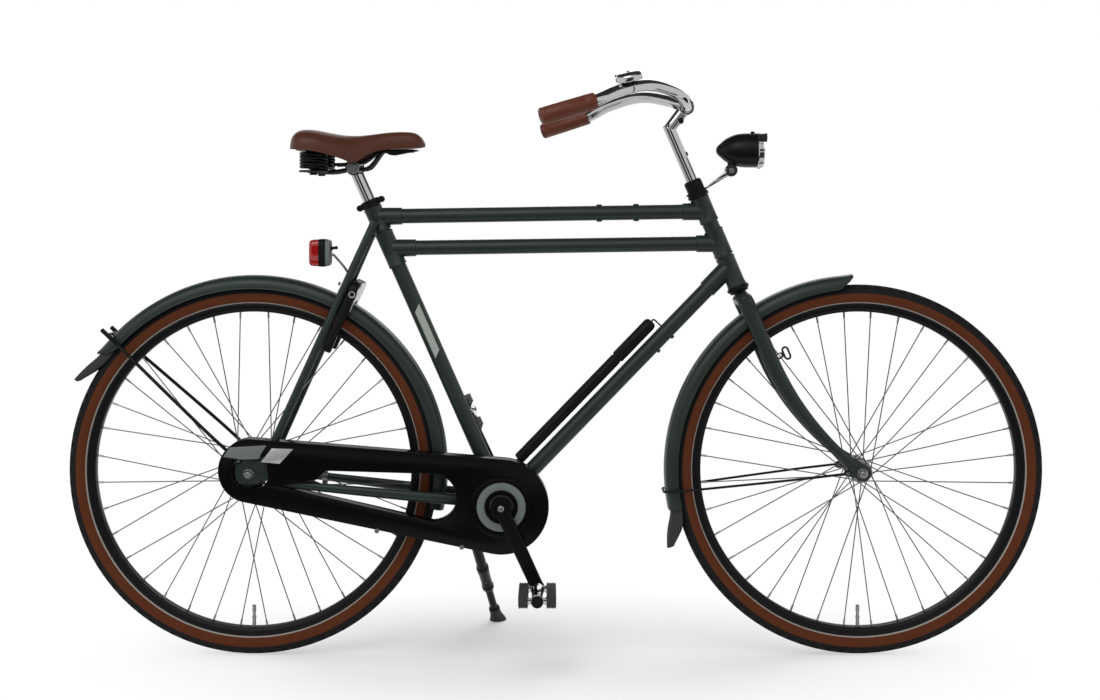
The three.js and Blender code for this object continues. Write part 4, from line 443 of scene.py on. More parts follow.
def pressed(name: str, outline: Sequence[Pair], low: float, high: float, soft: float = 0.0) -> Piece:
    """Extrude an outline of x and z between two distances along Y.

    Args:
        name: The piece's name.
        outline: The corners as (x, z) pairs.
        low: The first face's y.
        high: The other face's y.
        soft: How much the edges are broken.

    Returns:
        The extruded piece.
    """
    line = drawn(name, [Vector((x, low, z)) for x, z in outline], closed=True)
    piece = extruded(line, (0, high - low, 0))
    return bevelled(piece, soft) if soft else piece


def modified(piece: Piece, kind: str, **settings: object) -> Piece:
    """Add a modifier with these settings and apply it.

    Args:
        piece: The piece.
        kind: The modifier's kind.
        settings: Its settings by name.

    Returns:
        The same piece.
    """
    pick(piece)
    bpy.ops.object.modifier_add(type=kind)
    modifier = piece.modifiers[-1]
    for key, value in settings.items():
        setattr(modifier, key, value)
    bpy.ops.object.modifier_apply(modifier=modifier.name)
    return piece


def bevelled(piece: Piece, width: float, segments: int = 2, degrees: float = 40) -> Piece:
    """Break a piece's sharp edges.

    Args:
        piece: The piece.
        width: The bevel's width.
        segments: How many faces it is made of.
        degrees: The angle past which an edge is broken.

    Returns:
        The same piece.
    """
    return modified(
        piece, "BEVEL", width=width, segments=segments, limit_method="ANGLE",
        angle_limit=math.radians(degrees),
    )


def placed(piece: Piece, matrix: Matrix) -> Piece:
    """Move a piece by a matrix and keep its place in its mesh.

    Args:
        piece: The piece.
        matrix: Its place and turn.

    Returns:
        The same piece.
    """
    pick(piece)
    piece.matrix_world = matrix
    settled()
    return piece


def carved(base: Piece, *tools: Piece, operation: str = "DIFFERENCE") -> Piece:
    """Cut the tools out of a solid and remove them.

    Args:
        base: The solid.
        tools: The solids that are cut out of it.
        operation: What is done with the tools instead, if stated.

    Returns:
        The base.
    """
    for tool in tools:
        modified(base, "BOOLEAN", object=tool, operation=operation, solver="EXACT")
        bpy.data.objects.remove(tool)
    return base


def gathered(base: Piece, *others: Piece) -> Piece:
    """Join pieces into one object without changing their faces.

    Args:
        base: The piece that the others join.
        others: The other pieces.

    Returns:
        The base.
    """
    pick(base, *others)
    bpy.ops.object.join()
    return base


def mirrored(piece: Piece, name: str) -> Piece:
    """Return a copy on the other side of the bike's middle plane.

    Args:
        piece: The piece.
        name: The copy's name.

    Returns:
        The copy.
    """
    pick(piece)
    bpy.ops.object.duplicate()
    twin = bpy.context.object
    twin.name = twin.data.name = name
    twin.scale.y = -1
    settled()
    return cleaned(twin)


def both_sides(piece: Piece) -> Piece:
    """Join a piece with its mirror copy."""
    return gathered(piece, mirrored(piece, piece.name + "_twin"))


def refined(node: str, name: str, width: float = 0.0004) -> Piece:
    """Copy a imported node's mesh, merge its points, make its flats whole and break its edges.

    Args:
        node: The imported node's name.
        name: The copy's name.
        width: How much its edges are broken.

    Returns:
        The copy.
    """
    source = frame["nodes"][node]
    piece = bpy.data.objects.new(name, source.data.copy())
    piece.data.materials.clear()
    bpy.context.scene.collection.objects.link(piece)
    with editing(piece, whole=True):
        bpy.ops.mesh.remove_doubles(threshold=WELD)
        bpy.ops.mesh.dissolve_limited(angle_limit=math.radians(1))
    return bevelled(piece, width)


# Finishes


class Slot(Enum):
    """The record's material slots."""

    FRAME = "frame_paint"
    BLACK = "black_paint"
    CHROME = "chrome"
    STEEL = "steel"
    CASE = "case_black"
    GREY = "grey_trim"
    TYRE = "tyre_rubber"
    RIM = "rim_alloy"
    RUBBER = "black_rubber"
    SADDLE = "saddle_leather"
    GRIP = "grip_leather"
    RED = "red_lens"
    CLEAR = "clear_lens"


def node_of(nodes: bpy.types.Nodes, kind: str, **values: object) -> bpy.types.Node:
    """Add a shader node and set its inputs, which are named with _ for a space."""
    return with_inputs(nodes.new(f"ShaderNode{kind}"), **values)


def reckoned(
    nodes: bpy.types.Nodes, links: bpy.types.NodeLinks, operation: str, first: bpy.types.NodeSocket,
    second: bpy.types.NodeSocket,
) -> bpy.types.NodeSocket:
    """Return the result of a sum on two values.

    Args:
        nodes: The nodes of the material or the world.
        links: Its links.
        operation: What is done with the two values.
        first: The first value.
        second: The second value.

    Returns:
        The result.
    """
    node = nodes.new("ShaderNodeMath")
    node.operation = operation
    links.new(first, node.inputs[0])
    links.new(second, node.inputs[1])
    return node.outputs["Value"]


def with_inputs(node: bpy.types.Node, **values: object) -> bpy.types.Node:
    """Set a node's inputs, which are named with _ for a space.

    Args:
        node: The node.
        values: The inputs' values by name.

    Returns:
        The same node.
    """
    for name, value in values.items():
        node.inputs[name.replace("_", " ")].default_value = value
    return node


@dataclass(frozen=True)
class Finish:
    """A surface: its colour, how that varies, its gloss and its grain.

    Lengths are in metres: grain is the size of the small bumps and mottle the size of the colour's patches.
    """

    name: str
    slot: Slot
    colour: tuple[float, float, float]
    roughness: float
    metallic: float = 0.0
    coat: float = 0.0
    variation: float = 0.15
    mottle: float = 0.02
    grain: float = 0.0006
    depth: float = 0.00002
    streak: float = 1.0
    transmission: float = 0.0
    crackle: float = 0.0
    specular: float = 0.5

    def built(self) -> bpy.types.Material:
        """Return the finish as a node material, made once.

        Returns:
            The material.
        """
        found = bpy.data.materials.get(self.name)
        if found:
            return found
        material = bpy.data.materials.new(self.name)
        material.use_nodes = True
        nodes, links = material.node_tree.nodes, material.node_tree.links
        shader = with_inputs(
            nodes["Principled BSDF"], Metallic=self.metallic, Coat_Weight=self.coat,
            Coat_Roughness=self.roughness / 4, Transmission_Weight=self.transmission,
            Specular_IOR_Level=self.specular,
        )
        place = node_of(nodes, "TexCoord")
        mapping = node_of(nodes, "Mapping", Scale=(1, self.streak, 1))
        links.new(place.outputs["Object"], mapping.inputs["Vector"])
        patches = self.noise(nodes, links, mapping, self.mottle, detail=5)
        colour = nodes.new("ShaderNodeMix")
        colour.data_type = "RGBA"
        for end, share in (("A", 1 - self.variation), ("B", 1 + self.variation)):
            colour.inputs[end].default_value = (*(c * share for c in self.colour), 1)
        links.new(patches.outputs["Fac"], colour.inputs["Factor"])
        links.new(colour.outputs["Result"], shader.inputs["Base Color"])
        grain = self.noise(nodes, links, mapping, self.grain, detail=3)
        gloss = node_of(
            nodes, "MapRange", To_Min=self.roughness * 0.85, To_Max=min(1.0, self.roughness * 1.2)
        )
        links.new(patches.outputs["Fac"], gloss.inputs["Value"])
        links.new(gloss.outputs["Result"], shader.inputs["Roughness"])
        height = grain.outputs["Fac"]
        if self.crackle:
            cells = node_of(nodes, "TexVoronoi", Scale=1 / self.crackle)
            cells.feature = "DISTANCE_TO_EDGE"
            links.new(mapping.outputs["Vector"], cells.inputs["Vector"])
            height = reckoned(nodes, links, "ADD", height, cells.outputs["Distance"])
        bump = node_of(nodes, "Bump", Strength=0.6, Distance=self.depth)
        links.new(height, bump.inputs["Height"])
        links.new(bump.outputs["Normal"], shader.inputs["Normal"])
        return material

    @staticmethod
    def noise(
        nodes: bpy.types.Nodes, links: bpy.types.NodeLinks, mapping: bpy.types.Node, size: float,
        detail: float,
    ) -> bpy.types.Node:
        """Return a noise of the stated size on the mapped place.

        Args:
            nodes: The material's nodes.
            links: Its links.
            mapping: The node that gives the place.
            size: The noise's size in metres.
            detail: How many finer layers it has.

        Returns:
            The noise's node.
        """
        noise = node_of(nodes, "TexNoise", Scale=1 / size, Detail=detail)
        links.new(mapping.outputs["Vector"], noise.inputs["Vector"])
        return noise


FRAME_PAINT = Finish(
    "satin_green_paint", Slot.FRAME, (0.024, 0.035, 0.029), 0.36, 0.3, 0.06, 0.1, 0.05, 0.0009, 0.00003,
    specular=0.24,
)
BLACK_PAINT = Finish(
    "black_enamel", Slot.BLACK, (0.004, 0.004, 0.0045), 0.3, 0.0, 0.0, 0.2, 0.03, 0.001, 0.00002,
    specular=0.16,
)
BLACK_PLASTIC = Finish("black_moulded_plastic", Slot.BLACK, (0.005, 0.005, 0.0055), 0.42, specular=0.13)
CRANK_BLACK = Finish("satin_black_crank", Slot.BLACK, (0.003, 0.0025, 0.003), 0.34, specular=0.12)
CASE_PLASTIC = Finish(
    "gloss_black_case", Slot.CASE, (0.0025, 0.0022, 0.0025), 0.2, 0.0, 0.0, 0.2, 0.05, 0.004, specular=0.12
)
RIM_BLACK = Finish("black_anodised_rim", Slot.RIM, (0.005, 0.005, 0.006), 0.34, specular=0.13)
CHROME = Finish("chrome_plate", Slot.CHROME, (0.46, 0.46, 0.455), 0.08, 1.0, 0.0, 0.05, 0.01, 0.003, 0.00001)
STEEL = Finish(
    "brushed_steel", Slot.STEEL, (0.26, 0.26, 0.26), 0.28, 1.0, 0.0, 0.12, 0.006, 0.0004, 0.00002, 8.0
)
SPOKE_STEEL = Finish(
    "stainless_spoke_wire", Slot.STEEL, (0.12, 0.116, 0.116), 0.3, 1.0, 0.0, 0.1, 0.01, 0.0005, 0.00001
)
GREY_TRIM = Finish("satin_grey_trim", Slot.GREY, (0.16, 0.18, 0.18), 0.42, 0.2, 0.0, 0.06, specular=0.25)
STRIP_GREY = Finish("matt_grey_green_strip", Slot.GREY, (0.33, 0.37, 0.33), 0.55, 0.0, 0.0, 0.06)
SILVER_TRIM = Finish("silver_trim", Slot.GREY, (0.5, 0.51, 0.52), 0.3, 0.6, 0.0, 0.05)
TREAD_RUBBER = Finish(
    "black_tread_rubber", Slot.TYRE, (0.009, 0.0085, 0.0095), 0.75, 0.0, 0.0, 0.25, 0.02, 0.0008, 0.0001,
    specular=0.15,
)
SIDE_RUBBER = Finish(
    "brown_side_wall", Slot.TYRE, (0.098, 0.025, 0.008), 0.7, 0.0, 0.0, 0.14, 0.012, 0.0005, 0.00006,
    specular=0.13,
)
BAND_RUBBER = Finish(
    "reflective_tyre_band", Slot.TYRE, (0.36, 0.33, 0.3), 0.5, 0.1, 0.0, 0.08, 0.01, 0.0005, 0.00003
)
BLACK_RUBBER = Finish(
    "black_rubber", Slot.RUBBER, (0.006, 0.006, 0.0065), 0.62, 0.0, 0.0, 0.22, 0.01, 0.0007, 0.00006,
    specular=0.15,
)
SADDLE_LEATHER = Finish(
    "brown_saddle_leather", Slot.SADDLE, (0.07, 0.019, 0.008), 0.36, 0.0, 0.03, 0.2, 0.03, 0.0009, 0.00018,
    1.0, 0.0, 0.0022, 0.28,
)
GRIP_LEATHER = Finish(
    "red_brown_grip_leather", Slot.GRIP, (0.115, 0.026, 0.012), 0.4, 0.0, 0.02, 0.2, 0.015, 0.0007, 0.00015,
    1.0, 0.0, 0.0016, 0.28,
)
THREAD = Finish("brown_thread", Slot.GRIP, (0.09, 0.022, 0.011), 0.6, 0.0, 0.0, 0.2, 0.003, 0.0004, 0.0001)
RED_LENS = Finish(
    "red_lamp_lens", Slot.RED, (0.42, 0.006, 0.005), 0.12, 0.0, 0.5, 0.1, 0.01, 0.002, 0.0001, 1.0, 0.25
)
CLEAR_LENS = Finish(
    "clear_lamp_lens", Slot.CLEAR, (0.9, 0.92, 0.93), 0.06, 0.0, 0.0, 0.02, 0.02, 0.002, 0.00005, 1.0, 0.9
)


def finished(piece: Piece, body: str, finish: Finish, *nodes: str, degrees: float = SHARP_DEGREES) -> Piece:
    """Smooth a piece, give it its finish and hand it to its body.

    Args:
        piece: The piece, with its place in its mesh.
        body: The moving body that it belongs to.
        finish: Its finish.
        nodes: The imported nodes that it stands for.
        degrees: The angle past which an edge stays sharp.

    Returns:
        The piece.
    """
    pick(piece)
    bpy.ops.object.shade_smooth_by_angle(angle=math.radians(degrees))
    if not piece.data.materials:
        piece.data.materials.append(finish.built())
    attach(piece, body)
    if nodes:
        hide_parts(*nodes)
    LOG.info("%s: %d faces on %s", piece.name, len(piece.data.polygons), body)
    return piece


# Places that the pieces share


@dataclass(frozen=True)
class Places:
    """Axles and axes of the bike."""

    rear_axle: Vector
    front_axle: Vector
    bracket: Vector
    head_foot: Vector
    head_axis: Vector
    seat_axis: Vector
    right_pedal: Vector
    left_pedal: Vector
    lamp_pin: Vector
    stand_pivot: Vector
    stand_axis: Vector

    @classmethod
    def read(cls) -> Places:
        """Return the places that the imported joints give.

        Returns:
            The places.
        """
        joints = {joint["name"]: joint for joint in frame["joints"]}
        at = lambda name: Vector(joints[name]["pos_m"])  # noqa: E731
        axis = lambda name: Vector(joints[name]["axis"]).normalized()  # noqa: E731
        return cls(
            rear_axle=at("rear_wheel_spin"), front_axle=at("front_wheel_spin"), bracket=at("crank_turn"),
            head_foot=at("steering"), head_axis=axis("steering"), seat_axis=axis("seat_height"),
            right_pedal=at("right_pedal_spin"), left_pedal=at("left_pedal_spin"),
            lamp_pin=at("headlamp_tilt"), stand_pivot=at("stand_fold"), stand_axis=axis("stand_fold"),
        )

    @property
    def head_forward(self) -> Vector:
        """Return the direction square to the steering axis, forwards."""
        return Vector((self.head_axis.z, 0, -self.head_axis.x))

    @property
    def seat_forward(self) -> Vector:
        """Return the direction square to the seat tube, forwards."""
        return Vector((self.seat_axis.z, 0, -self.seat_axis.x))

    def head_at(self, station: float) -> Vector:
        """Return a point on the steering axis."""
        return along(self.head_foot, self.head_axis, station)

    def seat_at(self, station: float) -> Vector:
        """Return a point on the seat tube's axis."""
        return along(self.bracket, self.seat_axis, station)


# The studio


@dataclass
class Studio:
    """Camera, lights and a pale floor."""

    distance: float = 3.0
    height: float = 0.869
    aside: float = -0.0114
    lens: float = 50.61
    shift: float = -0.1318
    floor_size: float = 60.0

    def set_up(self) -> None:
        """Make the camera, the light and the floor."""
        self.add_camera()
        self.add_world()
        self.add_lamp("key_light", (-1.2, -2.6, 3.6), 3.4, 62)
        self.add_lamp("back_light", (1.0, 3.0, 3.2), 3.0, 38)
        self.add_lamp("top_light", (0.0, 0.0, 4.2), 3.6, 48)
        reach, low = self.distance * 1.4, 0.002
        self.add_card("dark_card_low", (0, -reach / 2 - 0.3, low), (7, reach - 0.9, 1), (0, 0, 0))
        self.add_card("dark_card_top", (0, reach * 0.28, reach * 0.78), (9, reach * 1.3, 1), (0, 0, 0))
        for name, side in (("front", -1), ("back", 1)):
            self.add_card(
                f"dark_card_{name}", (0, side * reach, self.height * 1.1), (7, 1.0, 1), (math.pi / 2, 0, 0)
            )
            self.add_card(
                f"dark_card_high_{name}", (0, side * reach * 0.7, self.height * 4.4), (5, 0.7, 1),
                (side * math.pi / 3, 0, 0),
            )
        self.add_floor()
        bpy.context.scene.view_settings.view_transform = "Standard"

    def add_camera(self) -> None:
        """Put the camera where the photograph was taken from."""
        clear()
        bpy.ops.object.camera_add(
            location=(self.aside, -self.distance, self.height), rotation=(math.pi / 2, 0, 0)
        )
        camera = bpy.context.object
        camera.name = "photo_camera"
        camera.data.lens = self.lens
        camera.data.shift_y = self.shift
        bpy.context.scene.camera = camera

    @staticmethod
    def add_world() -> None:
        """Light the object softly from all round, and show white behind it."""
        world = bpy.context.scene.world or bpy.data.worlds.new("studio")
        bpy.context.scene.world = world
        world.use_nodes = True
        nodes, links = world.node_tree.nodes, world.node_tree.links
        path = nodes.new("ShaderNodeLightPath")
        level = node_of(nodes, "MapRange", To_Min=0.45, To_Max=1.0)
        seen = Studio.straight_rays(nodes, links, path)
        links.new(seen, level.inputs["Value"])
        background = with_inputs(nodes["Background"], Color=(1, 1, 1, 1))
        links.new(level.outputs["Result"], background.inputs["Strength"])

    @staticmethod
    def straight_rays(
        nodes: bpy.types.Nodes, links: bpy.types.NodeLinks, path: bpy.types.Node
    ) -> bpy.types.NodeSocket:
        """Return a value that is one for what the camera, polished metal and glass see.

        Args:
            nodes: The nodes of the floor or the world.
            links: Its links.
            path: The node that tells what kind of ray it is.

        Returns:
            The value.
        """
        seen = path.outputs["Is Camera Ray"]
        for kind in ("Is Glossy Ray", "Is Transmission Ray"):
            seen = reckoned(nodes, links, "MAXIMUM", seen, path.outputs[kind])
        return seen

    @staticmethod
    def add_lamp(name: str, place: tuple[float, float, float], size: float, power: float) -> None:
        """Add a large square lamp that faces the bike.

        Args:
            name: The lamp's name.
            place: Where it stands.
            size: How long its sides are.
            power: Its power in watts.
        """
        clear()
        bpy.ops.object.light_add(type="AREA", location=place)
        lamp = bpy.context.object
        lamp.name = name
        lamp.data.size = size
        lamp.data.energy = power
        lamp.rotation_euler = (Vector((0, 0, 0.5)) - Vector(place)).to_track_quat("-Z", "Y").to_euler()

    @staticmethod
    def add_card(
        name: str, place: tuple[float, float, float], scale: tuple[float, float, float],
        lean: tuple[float, float, float],
    ) -> None:
        """Set up a dark card that only shows in polished surfaces.

        Args:
            name: The card's name.
            place: Where its middle is.
            scale: Its width and height.
            lean: How it is turned, in radians.
        """
        clear()
        bpy.ops.mesh.primitive_plane_add(size=1, location=place, rotation=lean)
        card = bpy.context.object
        card.name = name
        card.scale = scale
        card.visible_camera = card.visible_diffuse = card.visible_shadow = False
        material = bpy.data.materials.get("card_black") or bpy.data.materials.new("card_black")
        material.use_nodes = True
        with_inputs(material.node_tree.nodes["Principled BSDF"], Base_Color=(0.02, 0.02, 0.02, 1))
        card.data.materials.append(material)

    def add_floor(self) -> None:
        """Lay a pale floor that keeps the bike's shadow."""
        clear()
        bpy.ops.mesh.primitive_plane_add(size=self.floor_size)
        floor = bpy.context.object
        floor.name = "studio_floor"
        material = bpy.data.materials.new("pale_floor")
        material.use_nodes = True
        nodes, links = material.node_tree.nodes, material.node_tree.links
        shader = with_inputs(nodes["Principled BSDF"], Base_Color=(0.93, 0.93, 0.93, 1), Roughness=0.9)
        place = node_of(nodes, "TexCoord")
        stretch = node_of(nodes, "Mapping", Scale=(0.55, 1, 1))
        reach = nodes.new("ShaderNodeVectorMath")
        reach.operation = "LENGTH"
        fade = node_of(nodes, "MapRange", From_Min=0.05, From_Max=0.55)
        fade.interpolation_type = "SMOOTHSTEP"
        links.new(place.outputs["Object"], stretch.inputs["Vector"])
        links.new(stretch.outputs["Vector"], reach.inputs[0])
        links.new(reach.outputs["Value"], fade.inputs["Value"])
        rays = self.straight_rays(nodes, links, nodes.new("ShaderNodeLightPath"))
        seen = reckoned(nodes, links, "MULTIPLY", fade.outputs["Result"], rays)
        mix = nodes.new("ShaderNodeMixShader")
        links.new(seen, mix.inputs["Fac"])
        links.new(shader.outputs["BSDF"], mix.inputs[1])
        links.new(nodes.new("ShaderNodeEmission").outputs["Emission"], mix.inputs[2])
        links.new(mix.outputs["Shader"], nodes["Material Output"].inputs["Surface"])
        floor.data.materials.append(material)


# Wheels


@dataclass
class Hub:
    """A hub's sizes."""

    flange: float
    holes: float
    shell: float
    neck: float
    left: float
    right: float
    left_end: float
    right_end: float
    wall: float = 0.003


@dataclass
class Wheel:
    """A tyre on its rim, with a hub and tangent-laced spokes."""

    prefix: str
    centre: Vector
    hub: Hub
    radius: float = 0.3575
    rim_edge: float = 0.321
    rim_floor: float = 0.313
    rim_inner: float = 0.3055
    rim_width: float = 0.025
    tyre_width: float = 0.039
    crown: float = 0.0185
    tread: float = 0.0215
    band: Pair = (0.0014, 0.004)
    steps: int = 180
    spokes: int = 36
    crossings: int = 3
    spoke_radius: float = 0.0011
    nipple: Pair = (0.002, 0.013)
    axle_hole: float = 0.0052

    @property
    def body(self) -> str:
        """Return the wheel's moving body."""
        return f"{self.prefix}_wheel"

    def build(self) -> None:
        """Make the wheel's pieces."""
        self.add_tyre()
        self.add_rim()
        self.add_valve()
        self.add_hub()
        self.add_spokes()

    def ring(self, name: str, profile: Sequence[Pair]) -> Piece:
        """Return a closed profile of y and radius turned about the axle."""
        return turned(name, profile, self.centre, LEFT, self.steps, closed=True)

    def add_tyre(self) -> None:
        """Turn the tyre, cut its tread and give each zone its rubber."""
        half = self.tyre_width / 2
        crown = [
            (half * math.sin(a) * 0.98, self.radius - self.crown + self.crown * math.cos(a))
            for a in (math.radians(d) for d in range(-84, 85, 12))
        ]
        profile = [
            (-half * 0.93, self.rim_edge + 0.008), (-half * 0.72, self.rim_edge + 0.003),
            (-0.0108, self.rim_edge + 0.0006), (-0.0102, self.rim_floor + 0.0006),
            (0.0102, self.rim_floor + 0.0006), (0.0108, self.rim_edge + 0.0006),
            (half * 0.72, self.rim_edge + 0.003), (half * 0.93, self.rim_edge + 0.008),
        ]
        piece = self.ring(f"{self.prefix}_tyre_dressed", [*crown, *reversed(profile)])
        for finish in (TREAD_RUBBER, SIDE_RUBBER, BAND_RUBBER):
            piece.data.materials.append(finish.built())
        for face in piece.data.polygons:
            out = face.center - self.centre
            reach = math.hypot(out.x, out.z)
            low, high = (self.rim_edge + share for share in self.band)
            if self.radius - self.tread > reach > high:
                face.material_index = 1
            elif low < reach < high:
                face.material_index = 2
        self.cut_tread(piece)
        finished(piece, self.body, TREAD_RUBBER, f"{self.prefix}_tyre", degrees=45)

    def cut_tread(self, piece: Piece) -> None:
        """Press grooves into the tread's shoulders.

        Args:
            piece: The turned tyre.
        """
        with editing(piece, "FACE") as mesh:
            bpy.ops.mesh.select_all(action="DESELECT")
            for face in mesh.faces:
                out = face.calc_center_median() - self.centre
                reach = math.hypot(out.x, out.z)
                number = round(math.degrees(math.atan2(out.z, out.x)) / 2)
                shoulder = 0.006 < abs(out.y) < 0.0155 and reach > self.radius - 0.013
                face.select = shoulder and (number + (out.y > 0)) % 2 == 0
            bpy.ops.mesh.inset(thickness=0.0007, use_individual=True)
            bpy.ops.transform.shrink_fatten(value=-0.0009)

    def add_rim(self) -> None:
        """Turn the rim with its hooked edges and its centre channel."""
        half = self.rim_width / 2
        side = [
            (half - 0.0022, self.rim_floor), (half - 0.0022, self.rim_edge - 0.0016),
            (half - 0.0014, self.rim_edge), (half - 0.0004, self.rim_edge), (half, self.rim_edge - 0.0008),
            (half, self.rim_floor + 0.001), (half - 0.0008, self.rim_floor - 0.001),
            (0.0096, self.rim_inner + 0.0012), (0.0084, self.rim_inner), (0.004, self.rim_inner - 0.0006),
        ]
        profile = [*side, *[(-y, r) for y, r in reversed(side)]]
        finished(
            self.ring(f"{self.prefix}_rim_dressed", profile), self.body, RIM_BLACK, f"{self.prefix}_rim"
        )

    def add_valve(self) -> None:
        """Stand the valve on the rim, at the bottom, with its nut and cap."""
        base = off(self.centre, z=-self.rim_inner - 0.001)
        profile = [
            (0, 0), (0, 0.0052), (0.0022, 0.0052), (0.0022, 0.0038), (0.018, 0.0034), (0.018, 0.0042),
            (0.021, 0.0042), (0.021, 0.003), (0.03, 0.003), (0.03, 0.0039), (0.0418, 0.0036),
            (0.0426, 0.0026), (0.0426, 0),
        ]
        finished(turned(f"{self.prefix}_valve", profile, base, UP, FINE), self.body, STEEL)

    def add_hub(self) -> None:
        """Turn the hub shell with its flanges."""
        h = self.hub
        wall = h.wall / 2
        profile = [
            (-h.right_end, self.axle_hole), (-h.right_end, h.neck - 0.0006), (-h.right_end + 0.0006, h.neck),
            (-h.right - wall - 0.001, h.neck), (-h.right - wall, h.neck + 0.001),
            (-h.right - wall, h.flange - 0.001), (-h.right - wall + 0.0006, h.flange),
            (-h.right + wall - 0.0006, h.flange), (-h.right + wall, h.flange - 0.001),
            (-h.right + wall + 0.001, h.shell + 0.0022), (-h.right + h.wall * 1.6, h.shell),
            (h.left - h.wall * 1.6, h.shell), (h.left - wall - 0.001, h.shell + 0.0022),
            (h.left - wall, h.flange - 0.001), (h.left - wall + 0.0006, h.flange),
            (h.left + wall - 0.0006, h.flange), (h.left + wall, h.flange - 0.001),
            (h.left + wall, h.neck + 0.001), (h.left + wall + 0.001, h.neck), (h.left_end - 0.0006, h.neck),
            (h.left_end, h.neck - 0.0006), (h.left_end, self.axle_hole),
        ]
        piece = turned(f"{self.prefix}_hub_dressed", profile, self.centre, LEFT, 64, closed=True)
        finished(piece, self.body, STEEL)

    def spoke_ends(self, number: int) -> tuple[Vector, Vector]:
        """Return where one spoke leaves its flange and where it meets the rim.

        Args:
            number: The spoke's number round the wheel.

        Returns:
            The end at the flange and the end at the rim.
        """
        step = TURN / self.spokes
        side = 1 if number % 2 == 0 else -1
        lead = 1 if number // 2 % 2 == 0 else -1
        rim_angle = (number + 0.5) * step
        hub_angle = rim_angle + lead * self.crossings * 2 * step
        flange = self.hub.left if side > 0 else self.hub.right
        face = flange + lead * (self.hub.wall / 2 + self.spoke_radius - 0.0004)
        head = Vector(
            (math.sin(hub_angle) * self.hub.holes, side * face, math.cos(hub_angle) * self.hub.holes)
        )
        reach = self.rim_inner + 0.0004
        tip = Vector(
            (math.sin(rim_angle) * reach, side * (0.0026 + lead * 0.0013), math.cos(rim_angle) * reach)
        )
        return self.centre + head, self.centre + tip

    def add_spokes(self) -> None:
        """Lace the wheel: wires, nipples at the rim and heads at the flanges."""
        wires, nipples, heads = [], [], []
        for number in range(self.spokes):
            head, tip = self.spoke_ends(number)
            inwards = (head - tip).normalized()
            wires.append((head, tip))
            nipples.append((tip, along(tip, inwards, self.nipple[1])))
            heads.append((off(head, y=-0.0022), off(head, y=0.0022)))
        wire = bundle(f"{self.prefix}_spoke_wires", wires, self.spoke_radius)
        finished(wire, self.body, SPOKE_STEEL, f"{self.prefix}_hub_and_spokes")
        ends = gathered(
            bundle(f"{self.prefix}_spoke_nipples", nipples, self.nipple[0]),
            bundle(f"{self.prefix}_spoke_heads", heads, 0.0018),
        )
        finished(ends, self.body, STEEL)


def bundle(name: str, lines: Sequence[tuple[Vector, Vector]], radius: float) -> Piece:
    """Return many straight round wires as one piece.

    Args:
        name: The piece's name.
        lines: Each wire's two ends.
        radius: The wires' radius.

    Returns:
        The wires, each with closed ends.
    """
    strands = [drawn(f"{name}_{number}", ends) for number, ends in enumerate(lines)]
    return thickened(gathered(*strands), name, radius, 2)


# The frame's tubes, lugs, stays and ends


